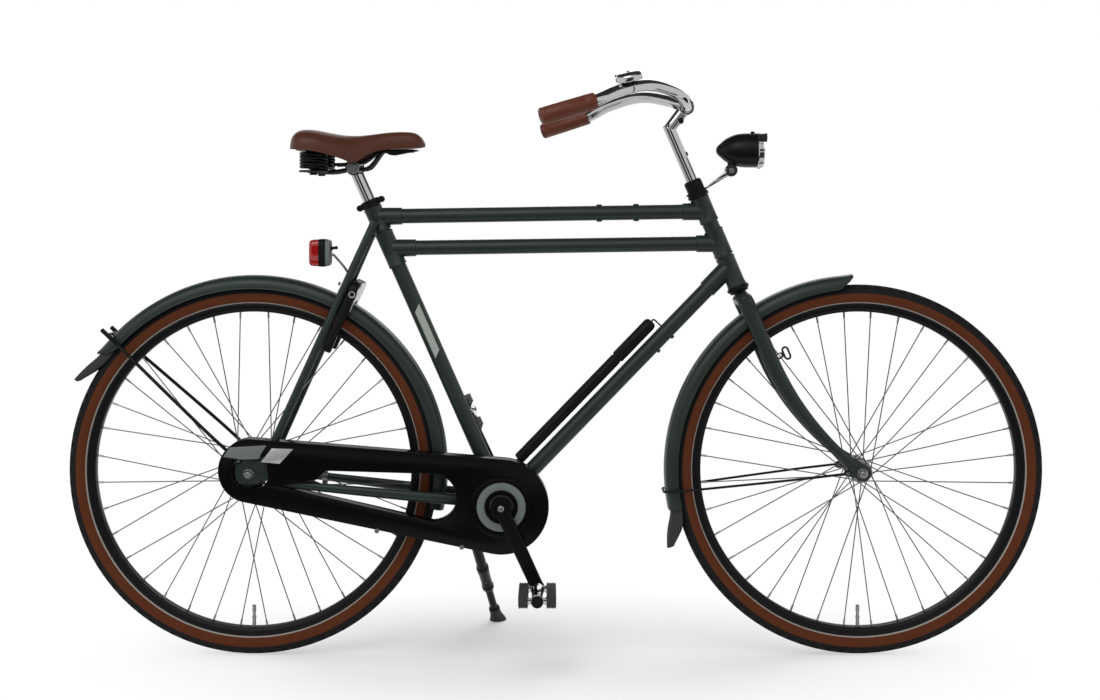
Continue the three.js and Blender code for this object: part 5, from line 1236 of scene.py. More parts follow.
@dataclass
class MainFrame:
    """The painted frame."""

    at: Places
    seat_radius: float = 0.0152
    top_radius: float = 0.0143
    head_radius: float = 0.0159
    head_low: float = 0.43
    head_high: float = 0.605
    seat_length: float = 0.622
    upper: Pair = (0.6024, 0.5751)
    lower: Pair = (0.5352, 0.5077)
    down_station: float = 0.4585
    post_bore: float = 0.0128
    stud_places: tuple[float, float] = (0.084, 0.1555)
    stud_stations: tuple[float, float] = (0.174, 0.212)
    lug_wall: float = 0.0022
    shell_radius: float = 0.021
    shell_half: float = 0.034
    stay_top: Vector = Vector((-0.3533, 0, 0.8265))
    stay_foot: Vector = Vector((-0.553, 0, 0.3815))
    bridge_run: float = 0.13164
    low_bridge_share: float = 0.105
    low_bridge_lift: float = 0.0764
    strip: Pair = (0.305, 0.415)

    def build(self) -> None:
        """Make every painted part of the frame."""
        self.add_head()
        self.add_seat()
        self.add_top_tubes()
        self.add_down_tube()
        self.add_shell()
        self.add_chain_stays()
        self.add_seat_stays()
        self.add_dropouts()
        self.add_studs()

    @property
    def bridge(self) -> Vector:
        """Return the middle of the bridge between the seat stays."""
        return along(self.stay_top, (self.stay_foot - self.stay_top).normalized(), self.bridge_run)

    def painted(self, piece: Piece, *nodes: str) -> None:
        """Finish a piece of the frame."""
        finished(piece, "frame", FRAME_PAINT, *nodes)

    def socket(self, name: str, start: Vector, end: Vector, radius: float, reach: float) -> Piece:
        """Return the socket that a lug reaches out along a tube, with a crisp edge.

        Args:
            name: The socket's name.
            start: The tube's end inside the lug.
            end: The tube's other end.
            radius: The tube's radius.
            reach: How far the socket reaches.

        Returns:
            The turned socket.
        """
        axis = (end - start).normalized()
        wall = self.lug_wall
        profile = [
            (0, 0), (0, radius + wall + 0.0006), (reach * 0.6, radius + wall + 0.0003),
            (reach - 0.0008, radius + wall), (reach - 0.0002, radius + wall - 0.0007),
            (reach, radius + 0.0003), (reach, 0),
        ]
        return turned(name, profile, start, axis, ROUND)

    def collar(
        self, name: str, start: Vector, axis: Vector, radius: float, low: float, high: float
    ) -> Piece:
        """Return a lug's sleeve round a tube, with a raised ring at each end.

        Args:
            name: The sleeve's name.
            start: The point that its ends count from.
            axis: The tube's axis.
            radius: The tube's radius.
            low: The sleeve's first end.
            high: Its last end.

        Returns:
            The turned sleeve.
        """
        wall = self.lug_wall
        ring = radius + wall + 0.0007
        inner = radius - 0.001
        profile = [
            (low, inner), (low, ring - 0.0006), (low + 0.0008, ring), (low + 0.0035, ring),
            (low + 0.005, radius + wall), (high - 0.005, radius + wall), (high - 0.0035, ring),
            (high - 0.0008, ring), (high, ring - 0.0006), (high, inner),
        ]
        return turned(name, profile, start, axis, ROUND)

    def bored(self, piece: Piece) -> Piece:
        """Return a piece of the frame with the seat post's bore cut through it."""
        low, high = (self.at.seat_at(station) for station in (self.lower[0] - 0.06, self.upper[0] + 0.06))
        return carved(piece, rod("seat_bore", low, high, self.post_bore, ROUND))

    def add_head(self) -> None:
        """Turn the head tube with its three lugs, and the rolled rim at each end."""
        at = self.at
        span = self.head_high - self.head_low
        start = at.head_at(self.head_low)
        r = self.head_radius
        edge = r + 0.0012
        profile = [
            (0, r - 0.003), (0, edge), (0.003, edge), (0.005, r), (span - 0.005, r), (span - 0.003, edge),
            (span, edge), (span, r - 0.003),
        ]
        piece = turned("head_tube_turned", profile, start, at.head_axis, ROUND)
        gathered(
            piece, self.collar("head_lug_top", at.head_foot, at.head_axis, r, 0.553, 0.6046),
            self.collar("head_lug_middle", at.head_foot, at.head_axis, r, 0.4815, 0.5365),
            self.collar("head_lug_low", at.head_foot, at.head_axis, r, 0.4188, 0.4792),
        )
        self.painted(piece, "head_tube")

    def add_seat(self) -> None:
        """Build the seat tube with its lugs and the pale strip."""
        at = self.at
        tube = turned(
            "seat_tube_turned",
            [
                (0, 0), (0, self.seat_radius), (self.seat_length, self.seat_radius),
                (self.seat_length, self.seat_radius - 0.0015),
            ],
            at.bracket, at.seat_axis, ROUND,
        )
        gathered(
            tube, self.collar("seat_lug_top", at.bracket, at.seat_axis, self.seat_radius, 0.572, 0.6215),
            self.collar("seat_lug_low", at.bracket, at.seat_axis, self.seat_radius, 0.498, 0.5695),
        )
        self.painted(tube, "seat_tube")
        low, high = self.strip
        r = self.seat_radius + 0.0001
        band = turned(
            "seat_tube_strip", [(low, r), (low, r + 0.0004), (high, r + 0.0004), (high, r)], at.bracket,
            at.seat_axis, 96,
        )
        cleaned(band)
        half, slant = 0.0068, 0.009
        foot, top = (along(at.seat_at(end), at.seat_forward, 0.0015) for end in (low + slant, high - slant))
        across, rise = at.seat_forward * half, at.seat_axis * slant
        corners = [
            foot - across - rise, foot + across + rise * 0.4, top + across + rise, top - across - rise * 0.4
        ]
        window = pressed("strip_window", [(c.x, c.z) for c in corners], -0.03, -0.004)
        modified(band, "SOLIDIFY", thickness=0.0003, offset=0.0)
        carved(band, window, operation="INTERSECT")
        finished(band, "frame", STRIP_GREY)

    def add_top_tubes(self) -> None:
        """Draw both top tubes with the sockets they sit in."""
        for name, stations in (("upper", self.upper), ("lower", self.lower)):
            seat, head = self.at.seat_at(stations[0]), self.at.head_at(stations[1])
            tube = self.bored(rod(f"{name}_top_tube_drawn", seat, head, self.top_radius))
            gathered(
                tube, self.bored(self.socket(f"{name}_seat_socket", seat, head, self.top_radius, 0.05)),
                self.socket(f"{name}_head_socket", head, seat, self.top_radius, 0.044),
            )
            self.painted(tube, f"{name}_top_tube")

    def add_down_tube(self) -> None:
        """Draw the down tube with the sockets it sits in."""
        head, foot = self.at.head_at(self.down_station), self.at.bracket
        tube = rod("down_tube_drawn", head, foot, self.seat_radius)
        gathered(
            tube, self.socket("down_head_socket", head, foot, self.seat_radius, 0.062),
            self.socket("down_shell_socket", foot, head, self.seat_radius, 0.048),
        )
        self.painted(tube, "down_tube")

    def add_shell(self) -> None:
        """Turn the bracket shell with the seat tube's socket."""
        at, r, half = self.at, self.shell_radius, self.shell_half
        profile = [
            (-half, 0.0085), (-half, r - 0.001), (-half + 0.001, r), (half - 0.001, r), (half, r - 0.001),
            (half, 0.0085),
        ]
        shell = turned("bracket_shell_turned", profile, at.bracket, LEFT, ROUND, closed=True)
        gathered(
            shell,
            self.socket(
                "seat_shell_socket", at.bracket, at.seat_at(self.seat_length), self.seat_radius, 0.044
            ),
        )
        self.painted(shell, "bottom_bracket_shell")

    def stay(
        self, name: str, start: Vector, end: Vector, rows: Sequence[tuple[float, float, float, float, float]]
    ) -> Piece:
        """Return a pair of oval stays.

        Args:
            name: The pair's name.
            start: The first end's place in the middle plane.
            end: The last end's place in the middle plane.
            rows: Share of the run, side, share of the rise, depth and width.

        Returns:
            Both stays as one piece.
        """
        rings = []
        for share, side, lift, deep, wide in smooth_rows(rows, 6):
            centre = Vector((mixed(start.x, end.x, share), side, mixed(start.z, end.z, lift)))
            rings.append(oval(centre, (end - start).normalized(), deep, wide))
        return both_sides(lofted(name, rings))

    def add_chain_stays(self) -> None:
        """Shape the chain stays."""
        rows = [
            (0.03, 0.02, 0.016, 0.011, 0.008), (0.12, 0.0305, 0.088, 0.011, 0.008),
            (0.22, 0.038, 0.171, 0.011, 0.0075), (0.41, 0.0475, 0.325, 0.01, 0.0072),
            (0.66, 0.0555, 0.533, 0.0084, 0.0066), (0.78, 0.057, 0.634, 0.0079, 0.0058),
            (0.92, 0.057, 0.74, 0.0074, 0.0054),
        ]
        self.painted(self.stay("chain_stays_drawn", self.at.bracket, self.at.rear_axle, rows), "chain_stays")

    def add_seat_stays(self) -> None:
        """Shape the seat stays with their caps and bridges."""
        rows = [
            (-0.02, 0.023, -0.02, 0.0082, 0.008), (0.14, 0.031, 0.14, 0.0082, 0.008),
            (0.3, 0.0375, 0.3, 0.0082, 0.008), (0.62, 0.0475, 0.62, 0.008, 0.0072),
            (1.0, 0.057, 1.0, 0.0074, 0.0054),
        ]
        top, foot = self.stay_top, self.stay_foot
        stays = self.stay("seat_stays_drawn", top, foot, rows)
        line = (foot - top).normalized()
        cap = turned(
            "stay_cap",
            [(0, 0), (0.0012, 0.0055), (0.004, 0.0082), (0.012, 0.0086), (0.016, 0.0082), (0.016, 0)],
            off(along(top, line, -0.016), y=0.0226), line, FINE,
        )
        bridge = self.bridge
        start, end = self.at.bracket, self.at.rear_axle
        low = Vector(
            (mixed(start.x, end.x, self.low_bridge_share), 0, mixed(start.z, end.z, self.low_bridge_lift))
        )
        gathered(
            stays, both_sides(cap), cross_rod("stay_bridge", bridge, 0.034, 0.006),
            cross_rod("low_bridge", low, 0.025, 0.0065),
        )
        self.painted(stays, "seat_stays")

    def add_dropouts(self) -> None:
        """Press the rear ends, with a round eyelet lobe and a softened edge."""
        axle = self.at.rear_axle
        outline = [
            *arc((axle.x, axle.z), 0.0255, 150, 330, 18), (axle.x + 0.06, axle.z - 0.0125),
            (axle.x + 0.064, axle.z - 0.004), (axle.x + 0.05, axle.z + 0.006),
            (axle.x + 0.041, axle.z + 0.018), (axle.x + 0.04, axle.z + 0.034),
            (axle.x + 0.03, axle.z + 0.036), (axle.x + 0.018, axle.z + 0.0255),
            *arc((axle.x - 0.019, axle.z + 0.026), 0.009, 40, 200, 8),
        ]
        plate = pressed("rear_ends_pressed", outline, 0.0546, 0.0594, 0.0005)
        self.painted(both_sides(plate))

    def add_studs(self) -> None:
        """Braze the cable studs on, above and below the upper top tube and under the down tube."""
        at = self.at
        seat, head = at.seat_at(self.upper[0]), at.head_at(self.down_station)
        up = (at.head_at(self.upper[1]) - seat).normalized()
        down = (at.bracket - head).normalized()
        above = Vector((-up.z, 0, up.x))
        below = Vector((-down.z, 0, down.x))
        studs = []
        for x in self.stud_places:
            spot = along(seat, up, (x - seat.x) / up.x)
            for side in (above, -above):
                base = along(spot, side, self.top_radius - 0.0018)
                studs.append(turned(f"top_stud_{x}_{side.z:.0f}", self.stud(0.0056), base, side, FINE))
        for station in self.stud_stations:
            base = along(along(head, down, station), below, self.seat_radius - 0.0012)
            studs.append(turned(f"down_stud_{station}", self.stud(0.004), base, below, FINE))
        self.painted(gathered(*studs))

    @staticmethod
    def stud(radius: float) -> list[Pair]:
        """Return a stud's profile, drilled in its top.

        Args:
            radius: The stud's radius.

        Returns:
            Pairs of the height and the radius.
        """
        top = 0.0044
        return [
            (0, 0), (0, radius * 0.9), (top - 0.0012, radius), (top - 0.0004, radius * 0.94),
            (top, radius * 0.8), (top, radius * 0.45), (top - 0.0016, radius * 0.4), (top - 0.0016, 0),
        ]


# The fork and the headset


@dataclass
class Fork:
    """Crown, blades, ends and headset."""

    at: Places
    length: float = 0.405
    bow: float = 0.075
    bend: float = 0.2681
    anchor_side: float = 0.0425
    anchor_station: float = 0.2551
    anchor_reach: float = 0.0266

    def build(self) -> None:
        """Make the fork and the headset."""
        self.add_blades()
        self.add_crown()
        self.add_headset()
        self.add_anchor()

    def blade_centre(self, station: float, side: float) -> Vector:
        """Return the blade's middle at a station of the steering axis."""
        forward = self.bow * ((self.bend - station) / self.bend) ** 2 if station < self.bend else 0.0
        return along(self.at.head_at(station), self.at.head_forward, forward) + LEFT * side

    def add_blades(self) -> None:
        """Shape both blades down to their forged ends."""
        rows = [
            (0.975, 0.039, 0.015, 0.0096), (0.662, 0.041, 0.015, 0.0096), (0.543, 0.0425, 0.0146, 0.009),
            (0.42, 0.0445, 0.0134, 0.0084), (0.296, 0.0465, 0.012, 0.0076), (0.185, 0.048, 0.0106, 0.0068),
            (0.089, 0.0495, 0.0094, 0.0056), (0.035, 0.0495, 0.0086, 0.0044),
        ]
        fine = smooth_rows(rows, 6)
        centres = [self.blade_centre(row[0] * self.length, row[1]) for row in fine]
        rings = []
        for number, (row, centre) in enumerate(zip(fine, centres)):
            before, after = centres[max(number - 1, 0)], centres[min(number + 1, len(centres) - 1)]
            line = (after - before).normalized()
            rings.append(oval(centre, Vector((line.x, 0, line.z)).normalized(), row[2], row[3]))
        blades = both_sides(lofted("fork_blades_shaped", rings))
        axle = self.at.front_axle
        up = (centres[-8] - centres[-1]).normalized()
        up = Vector((up.x, 0, up.z)).normalized()
        ahead = Vector((up.z, 0, -up.x))
        lean = math.degrees(math.atan2(ahead.z, ahead.x))
        neck = [
            axle + up * u + ahead * v
            for u, v in ((0.026, -0.0118), (0.05, -0.0088), (0.05, 0.0088), (0.026, 0.0118))
        ]
        outline = [*arc((axle.x, axle.z), 0.0165, lean, lean - 180, 20), *[(p.x, p.z) for p in neck]]
        eye = belt((axle.x - 0.029, axle.z, 0.0066), (axle.x - 0.006, axle.z, 0.01), 8)
        ends = gathered(
            pressed("fork_ends", outline, 0.0471, 0.0519, 0.0012),
            pressed("fork_eyes", eye, 0.0475, 0.0517, 0.0006),
        )
        gathered(blades, both_sides(ends))
        finished(blades, "fork_group", FRAME_PAINT, "fork")

    def add_crown(self) -> None:
        """Shape the crown: a rounded bridge that drops into both blades, under a turned neck."""
        at = self.at
        half = [
            (0.0485, 0.366, 0.0149, 0.009), (0.0475, 0.378, 0.0154, 0.0135), (0.0415, 0.3865, 0.0158, 0.015),
            (0.028, 0.3905, 0.0162, 0.0138), (0.01, 0.3915, 0.0165, 0.013),
        ]
        rows = [*[(-side, *rest) for side, *rest in half], *reversed(half)]
        rings = []
        for side, station, deep, tall in rows:
            centre = at.head_at(station) + LEFT * side
            angles = [TURN * i / FINE for i in range(FINE)]
            ahead, up = at.head_forward * deep, at.head_axis * tall
            rings.append([centre + ahead * math.cos(a) + up * math.sin(a) for a in angles])
        crown = lofted("fork_crown_forged", rings)
        modified(crown, "SUBSURF", levels=1)
        neck = [(0, 0), (0, 0.0152), (0.006, 0.014), (0.012, 0.0126), (0.018, 0.0118), (0.018, 0)]
        gathered(crown, turned("crown_neck", neck, at.head_at(self.length - 0.018), at.head_axis, ROUND))
        finished(crown, "fork_group", FRAME_PAINT, degrees=60)

    def add_headset(self) -> None:
        """Turn the lower ring and the upper stack with its milled nut."""
        at = self.at
        low = [
            (0.0004, 0.0162), (0.0004, 0.0182), (0.0036, 0.019), (0.0044, 0.0196), (0.0052, 0.0214),
            (0.0064, 0.022), (0.01, 0.022), (0.0112, 0.0212), (0.0118, 0.0196), (0.0134, 0.019),
            (0.014, 0.0174), (0.0243, 0.0172), (0.0243, 0.0162),
        ]
        piece = turned("headset_lower_turned", low, at.head_at(self.length), at.head_axis, 64, closed=True)
        finished(piece, "frame", BLACK_PLASTIC, "headset_cups")
        stack = [
            (0.0004, 0.0118), (0.0004, 0.0205), (0.0018, 0.021), (0.0052, 0.021), (0.0062, 0.02),
            (0.0092, 0.0198), (0.0096, 0.0172), (0.0106, 0.0166), (0.0116, 0.0174), (0.0182, 0.0175),
            (0.0188, 0.0168), (0.0194, 0.0174), (0.0318, 0.0175), (0.0352, 0.0146), (0.0356, 0.0118),
        ]
        nut = turned("headset_upper_turned", stack, at.head_at(0.6052), at.head_axis, 64, closed=True)
        finished(nut, "fork_group", BLACK_PLASTIC, "headset_locknut")

    def add_anchor(self) -> None:
        """Weld the anchor on: a drilled plate with a long loop of wire."""
        at, side = self.at, self.anchor_side
        hole = along(at.head_at(self.anchor_station), at.head_forward, self.anchor_reach)
        axis, ahead = at.head_axis, at.head_forward
        corners = (
            hole - ahead * 0.015 + axis * 0.0062, hole + ahead * 0.0052 + axis * 0.005,
            hole + ahead * 0.009 + axis * 0.002, hole + ahead * 0.009 - axis * 0.0045,
            hole + ahead * 0.002 - axis * 0.0072, hole - ahead * 0.015 - axis * 0.007,
        )
        plate = pressed("anchor_plate", [(p.x, p.z) for p in corners], side - 0.0015, side + 0.0015, 0.0005)
        carved(plate, cross_rod("anchor_hole", off(hole, y=side), 0.005, 0.0038, ROUND))
        middle = off(hole + ahead * 0.0145 - axis * 0.0008, y=side)
        loop = []
        for shift, turn in ((0.0068, 0), (-0.0068, 180)):
            for step in range(9):
                angle = math.radians(turn + 180 * step / 8)
                loop.append(
                    middle + axis * (shift + 0.0054 * math.sin(angle)) + ahead * (0.0054 * math.cos(angle))
                )
        wire = swept("anchor_wire", loop, 0.0021, closed=True)
        finished(gathered(plate, wire), "fork_group", FRAME_PAINT, "lock_anchor")


# Mudguards with their stays and flaps


@dataclass
class Mudguard:
    """A rolled guard over one wheel."""

    name: str
    body: str
    axle: Vector
    start: float
    end: float
    flap: tuple[tuple[float, float, float], ...]
    tip: int
    outer: float = 0.376
    wall: float = 0.0015
    half: float = 0.0275
    drop: float = 0.025
    steps: int = 96
    taper: float = 4.6

    def at(self, angle: float, y: float, radius: float) -> Vector:
        """Return a point at an angle round the axle."""
        a = math.radians(angle)
        return self.axle + Vector((radius * math.cos(a), y, radius * math.sin(a)))

    def section(self) -> list[Pair]:
        """Return the guard's outer section as y and drop, a round crown over straight sides.

        Returns:
            Pairs of y and drop.
        """
        rows = [
            (-1, 1), (-0.985, 0.72), (-0.93, 0.45), (-0.8, 0.235), (-0.56, 0.095), (-0.28, 0.022), (0, 0)
        ]
        side = [(y * self.half, d * self.drop) for y, d in rows]
        return [*side, *[(-y, d) for y, d in reversed(side[:-1])]]

    def build(self) -> None:
        """Make the guard and its flap."""
        self.add_guard()
        self.add_flap()

    def edge_at(self, step: int) -> tuple[float, float, float]:
        """Return the angle of a step, with the share of the section's width and drop that is left there.

        Args:
            step: The step's number along the guard.

        Returns:
            The angle, the share of the width and the share of the drop.
        """
        angle = mixed(self.start, self.end, step / self.steps)
        left = (angle - self.start) if self.tip < 0 else (self.end - angle)
        share = min(1.0, left / self.taper)
        return angle, mixed(0.66, 1, share**0.6), mixed(0.16, 1, share**0.75)

    def add_guard(self) -> None:
        """Roll the guard section by section, drawn out to a point at its tip, and bead its edges."""
        rings = []
        beads = {-1: [], 1: []}
        for step in range(self.steps + 1):
            angle, wide, deep = self.edge_at(step)
            lift = 0.0025 * max(0.0, 1 - deep) ** 2
            top = self.outer + lift
            outer = [self.at(angle, y * wide, top - d * deep) for y, d in self.section()]
            shrink = wide * (1 - self.wall / self.half)
            depth = max(self.drop * deep, self.wall)
            inner = [
                self.at(angle, y * shrink, top - min(d * deep + self.wall, depth))
                for y, d in reversed(self.section())
            ]
            rings.append([*outer, *inner])
            for side, line in beads.items():
                line.append(self.at(angle, side * wide * (self.half - 0.0008), top - self.drop * deep))
        piece = lofted(f"{self.name}_rolled", rings)
        for side, line in beads.items():
            gathered(piece, swept(f"{self.name}_bead_{side}", line, 0.0013, sides=2))
        finished(piece, self.body, FRAME_PAINT, self.name)

    def add_flap(self) -> None:
        """Shape the rubber flap that carries on from the guard's end."""
        rings = []
        for angle, lift, shrink in smooth_rows(self.flap, 5):
            shares = [-1, -0.97, -0.86, -0.62, -0.3, 0, 0.3, 0.62, 0.86, 0.97, 1]
            drops = [0.95, 0.62, 0.32, 0.13, 0.04, 0, 0.04, 0.13, 0.32, 0.62, 0.95]
            half = self.half - shrink - 0.0032
            outer = self.outer + lift
            upper = [
                self.at(angle, s * half, outer - d * (self.drop - shrink)) for s, d in zip(shares, drops)
            ]
            lower = [
                self.at(angle, s * (half - 0.0022), outer - 0.0026 - d * (self.drop - shrink - 0.0006))
                for s, d in zip(shares, drops)
            ]
            rings.append([*upper, *reversed(lower)])
        piece = lofted(f"{self.name}_flap_moulded", rings)
        bevelled(piece, 0.0006)
        finished(piece, self.body, BLACK_RUBBER, f"{self.name}_flap", degrees=50)


# Small fittings


def hex_head(name: str, base: Vector, axis: Vector, radius: float, height: float) -> Piece:
    """Return a hexagon nut or bolt head with chamfered corners.

    Args:
        name: The piece's name.
        base: The middle of its seat.
        axis: The direction that it stands in.
        radius: Its radius over the corners.
        height: Its height.

    Returns:
        The head.
    """
    nut = turned(name, [(0, 0), (0, radius), (height, radius), (height, 0)], base, axis, 6)
    chamfer = turned(
        f"{name}_chamfer",
        [
            (-0.001, 0), (-0.001, radius), (height * 0.8, radius), (height + 0.0004, radius * 0.78),
            (height + 0.0004, 0),
        ],
        base, axis, ROUND,
    )
    carved(nut, chamfer, operation="INTERSECT")
    return nut


def washer(name: str, base: Vector, axis: Vector, inner: float, outer: float, height: float) -> Piece:
    """Return a flat ring with broken edges.

    Args:
        name: The piece's name.
        base: The middle of its seat.
        axis: The direction that it stands in.
        inner: The hole's radius.
        outer: The ring's radius.
        height: Its height.

    Returns:
        The ring.
    """
    soft = height * 0.25
    profile = [
        (0, inner), (0, outer - soft), (soft, outer), (height - soft, outer), (height, outer - soft),
        (height, inner),
    ]
    return turned(name, profile, base, axis, ROUND, closed=True)


@dataclass
class GuardStay:
    """A wire from both ends of an axle round the edge of a guard."""

    guard: Mudguard
    eye: Vector
    seat: float
    eye_radius: float
    eye_height: float
    angle: float
    radius: float
    body: str
    poke: float = 0.0

    def build(self) -> None:
        """Bend the wire, flatten its eyes and bolt them on."""
        g, r = self.guard, self.radius
        wire_y = self.seat + r + 0.0005
        edge = g.half + r + 0.0004
        rim = g.at(self.angle, 0, g.outer)
        leg = [
            Vector((self.eye.x, wire_y, self.eye.z)),
            Vector((mixed(self.eye.x, rim.x, 0.25), wire_y, mixed(self.eye.z, rim.z, 0.25))),
            g.at(self.angle, edge, g.outer - g.drop / 2),
            g.at(self.angle, edge * 2 / 3, g.outer + r - 0.0004),
        ]
        middle = g.at(self.angle, 0, g.outer + r + 0.0004)
        path = [*leg, middle, *[Vector((p.x, -p.y, p.z)) for p in reversed(leg)]]
        wire = swept(f"{g.name}_stay_bent", smooth_path(path, 12), r)
        seat = Vector((self.eye.x, self.seat, self.eye.z))
        eye = washer(f"{g.name}_stay_eye", seat, LEFT, 0.002, self.eye_radius, self.eye_height)
        gathered(wire, both_sides(eye))
        if self.poke:
            knee = g.at(self.angle, edge + 0.0012, g.outer - g.drop)
            tip = g.at(self.angle, edge + 0.0012, g.outer + self.poke)
            gathered(wire, both_sides(rod(f"{g.name}_stay_end", knee, tip, 0.0042, FINE, soft=0.0012)))
        finished(wire, self.body, BLACK_PAINT, f"{g.name}_stay")
        bolt = hex_head(f"{g.name}_stay_bolts", off(seat, y=self.eye_height), LEFT, 0.0042, 0.0028)
        finished(both_sides(bolt), self.body, STEEL)
        clips = []
        for share in (-0.62, 0.62):
            base = g.at(self.angle, share * g.half, g.outer - g.wall - 0.002)
            outwards = (g.at(self.angle, share * g.half, g.outer) - base).normalized()
            clips.append(
                turned(
                    f"{g.name}_clip_{share}",
                    [(0, 0), (0, 0.0044), (0.0012, 0.0044), (0.0019, 0.003), (0.0019, 0)], base, -outwards,
                    COARSE,
                )
            )
        finished(gathered(*clips), self.body, STEEL)


@dataclass
class Axle:
    """A fixed axle with its nuts."""

    name: str
    body: str
    centre: Vector
    nut_face: float
    rod_radius: float = 0.0047
    nut_radius: float = 0.0088
    nut_height: float = 0.008
    overhang: float = 0.004

    def build(self) -> None:
        """Turn the axle and screw its nuts on."""
        end = self.nut_face + self.nut_height + self.overhang
        steps = 9
        r = self.rod_radius
        thread = []
        for i in range(steps):
            y = end - 0.0008 - i * 0.0008
            thread += [(y, r), (y - 0.0004, r - 0.0004)]
        profile = [
            (-end, 0), (-end, r - 0.0008), *[(-y, q) for y, q in thread], *reversed(thread),
            (end, r - 0.0008), (end, 0),
        ]
        axle = turned(f"{self.name}_turned", profile, self.centre, LEFT, FINE)
        face = off(self.centre, y=self.nut_face)
        parts = both_sides(
            gathered(
                washer(f"{self.name}_washer", face, LEFT, r - 0.0002, 0.0105, 0.0016),
                hex_head(
                    f"{self.name}_nut", off(face, y=0.0016), LEFT, self.nut_radius, self.nut_height - 0.0026
                ),
                turned(
                    f"{self.name}_dome",
                    [(0, 0), (0, 0.0076), (0.0022, 0.007), (0.0044, 0.005), (0.0056, 0.0022), (0.0058, 0)],
                    off(face, y=self.nut_height - 0.0012), LEFT, ROUND,
                ),
            )
        )
        finished(gathered(axle, parts), self.body, STEEL, self.name)


@dataclass
class BrakeArm:
    """The hub brake's arm, clipped to the left chain stay."""

    axle: Vector
    low: float = 0.0491
    high: float = 0.0505
    reach: float = 0.13
    fall: float = 0.0481
    stay_side: float = 0.0564
    stay_height: float = 0.3324

    def build(self) -> None:
        """Press the arm, bend its clip round the stay and bolt it."""
        a = self.axle
        x, z = a.x + self.reach, a.z - self.fall
        arm = pressed(
            "brake_arm_pressed", belt((a.x, a.z, 0.013), (x, z, 0.007), 12), self.low, self.high, 0.0004
        )
        tab = [
            (x - 0.006, z), (x + 0.006, z), (x + 0.005, self.stay_height - 0.006),
            (x - 0.005, self.stay_height - 0.006),
        ]
        straps = []
        turns = [TURN * i / FINE for i in range(FINE + 1)]
        for shift in (-0.0035, 0.0, 0.0035):
            middle = Vector((x + shift, self.stay_side, self.stay_height))
            loop = [off(middle, y=0.0078 * math.cos(q), z=0.0096 * math.sin(q)) for q in turns]
            straps.append(swept(f"brake_clip_{shift}", loop, 0.0018, sides=2))
        bolt = hex_head("brake_arm_bolt", Vector((x, self.low, z)), -LEFT, 0.0052, 0.0034)
        nut = hex_head("brake_arm_nut", Vector((x, self.high, z)), LEFT, 0.0052, 0.0034)
        plate = pressed("brake_arm_tab", tab, self.low, self.high, 0.0003)
        finished(gathered(arm, plate, *straps, bolt, nut), "frame", STEEL)


# Stem, handlebar, grips and bell


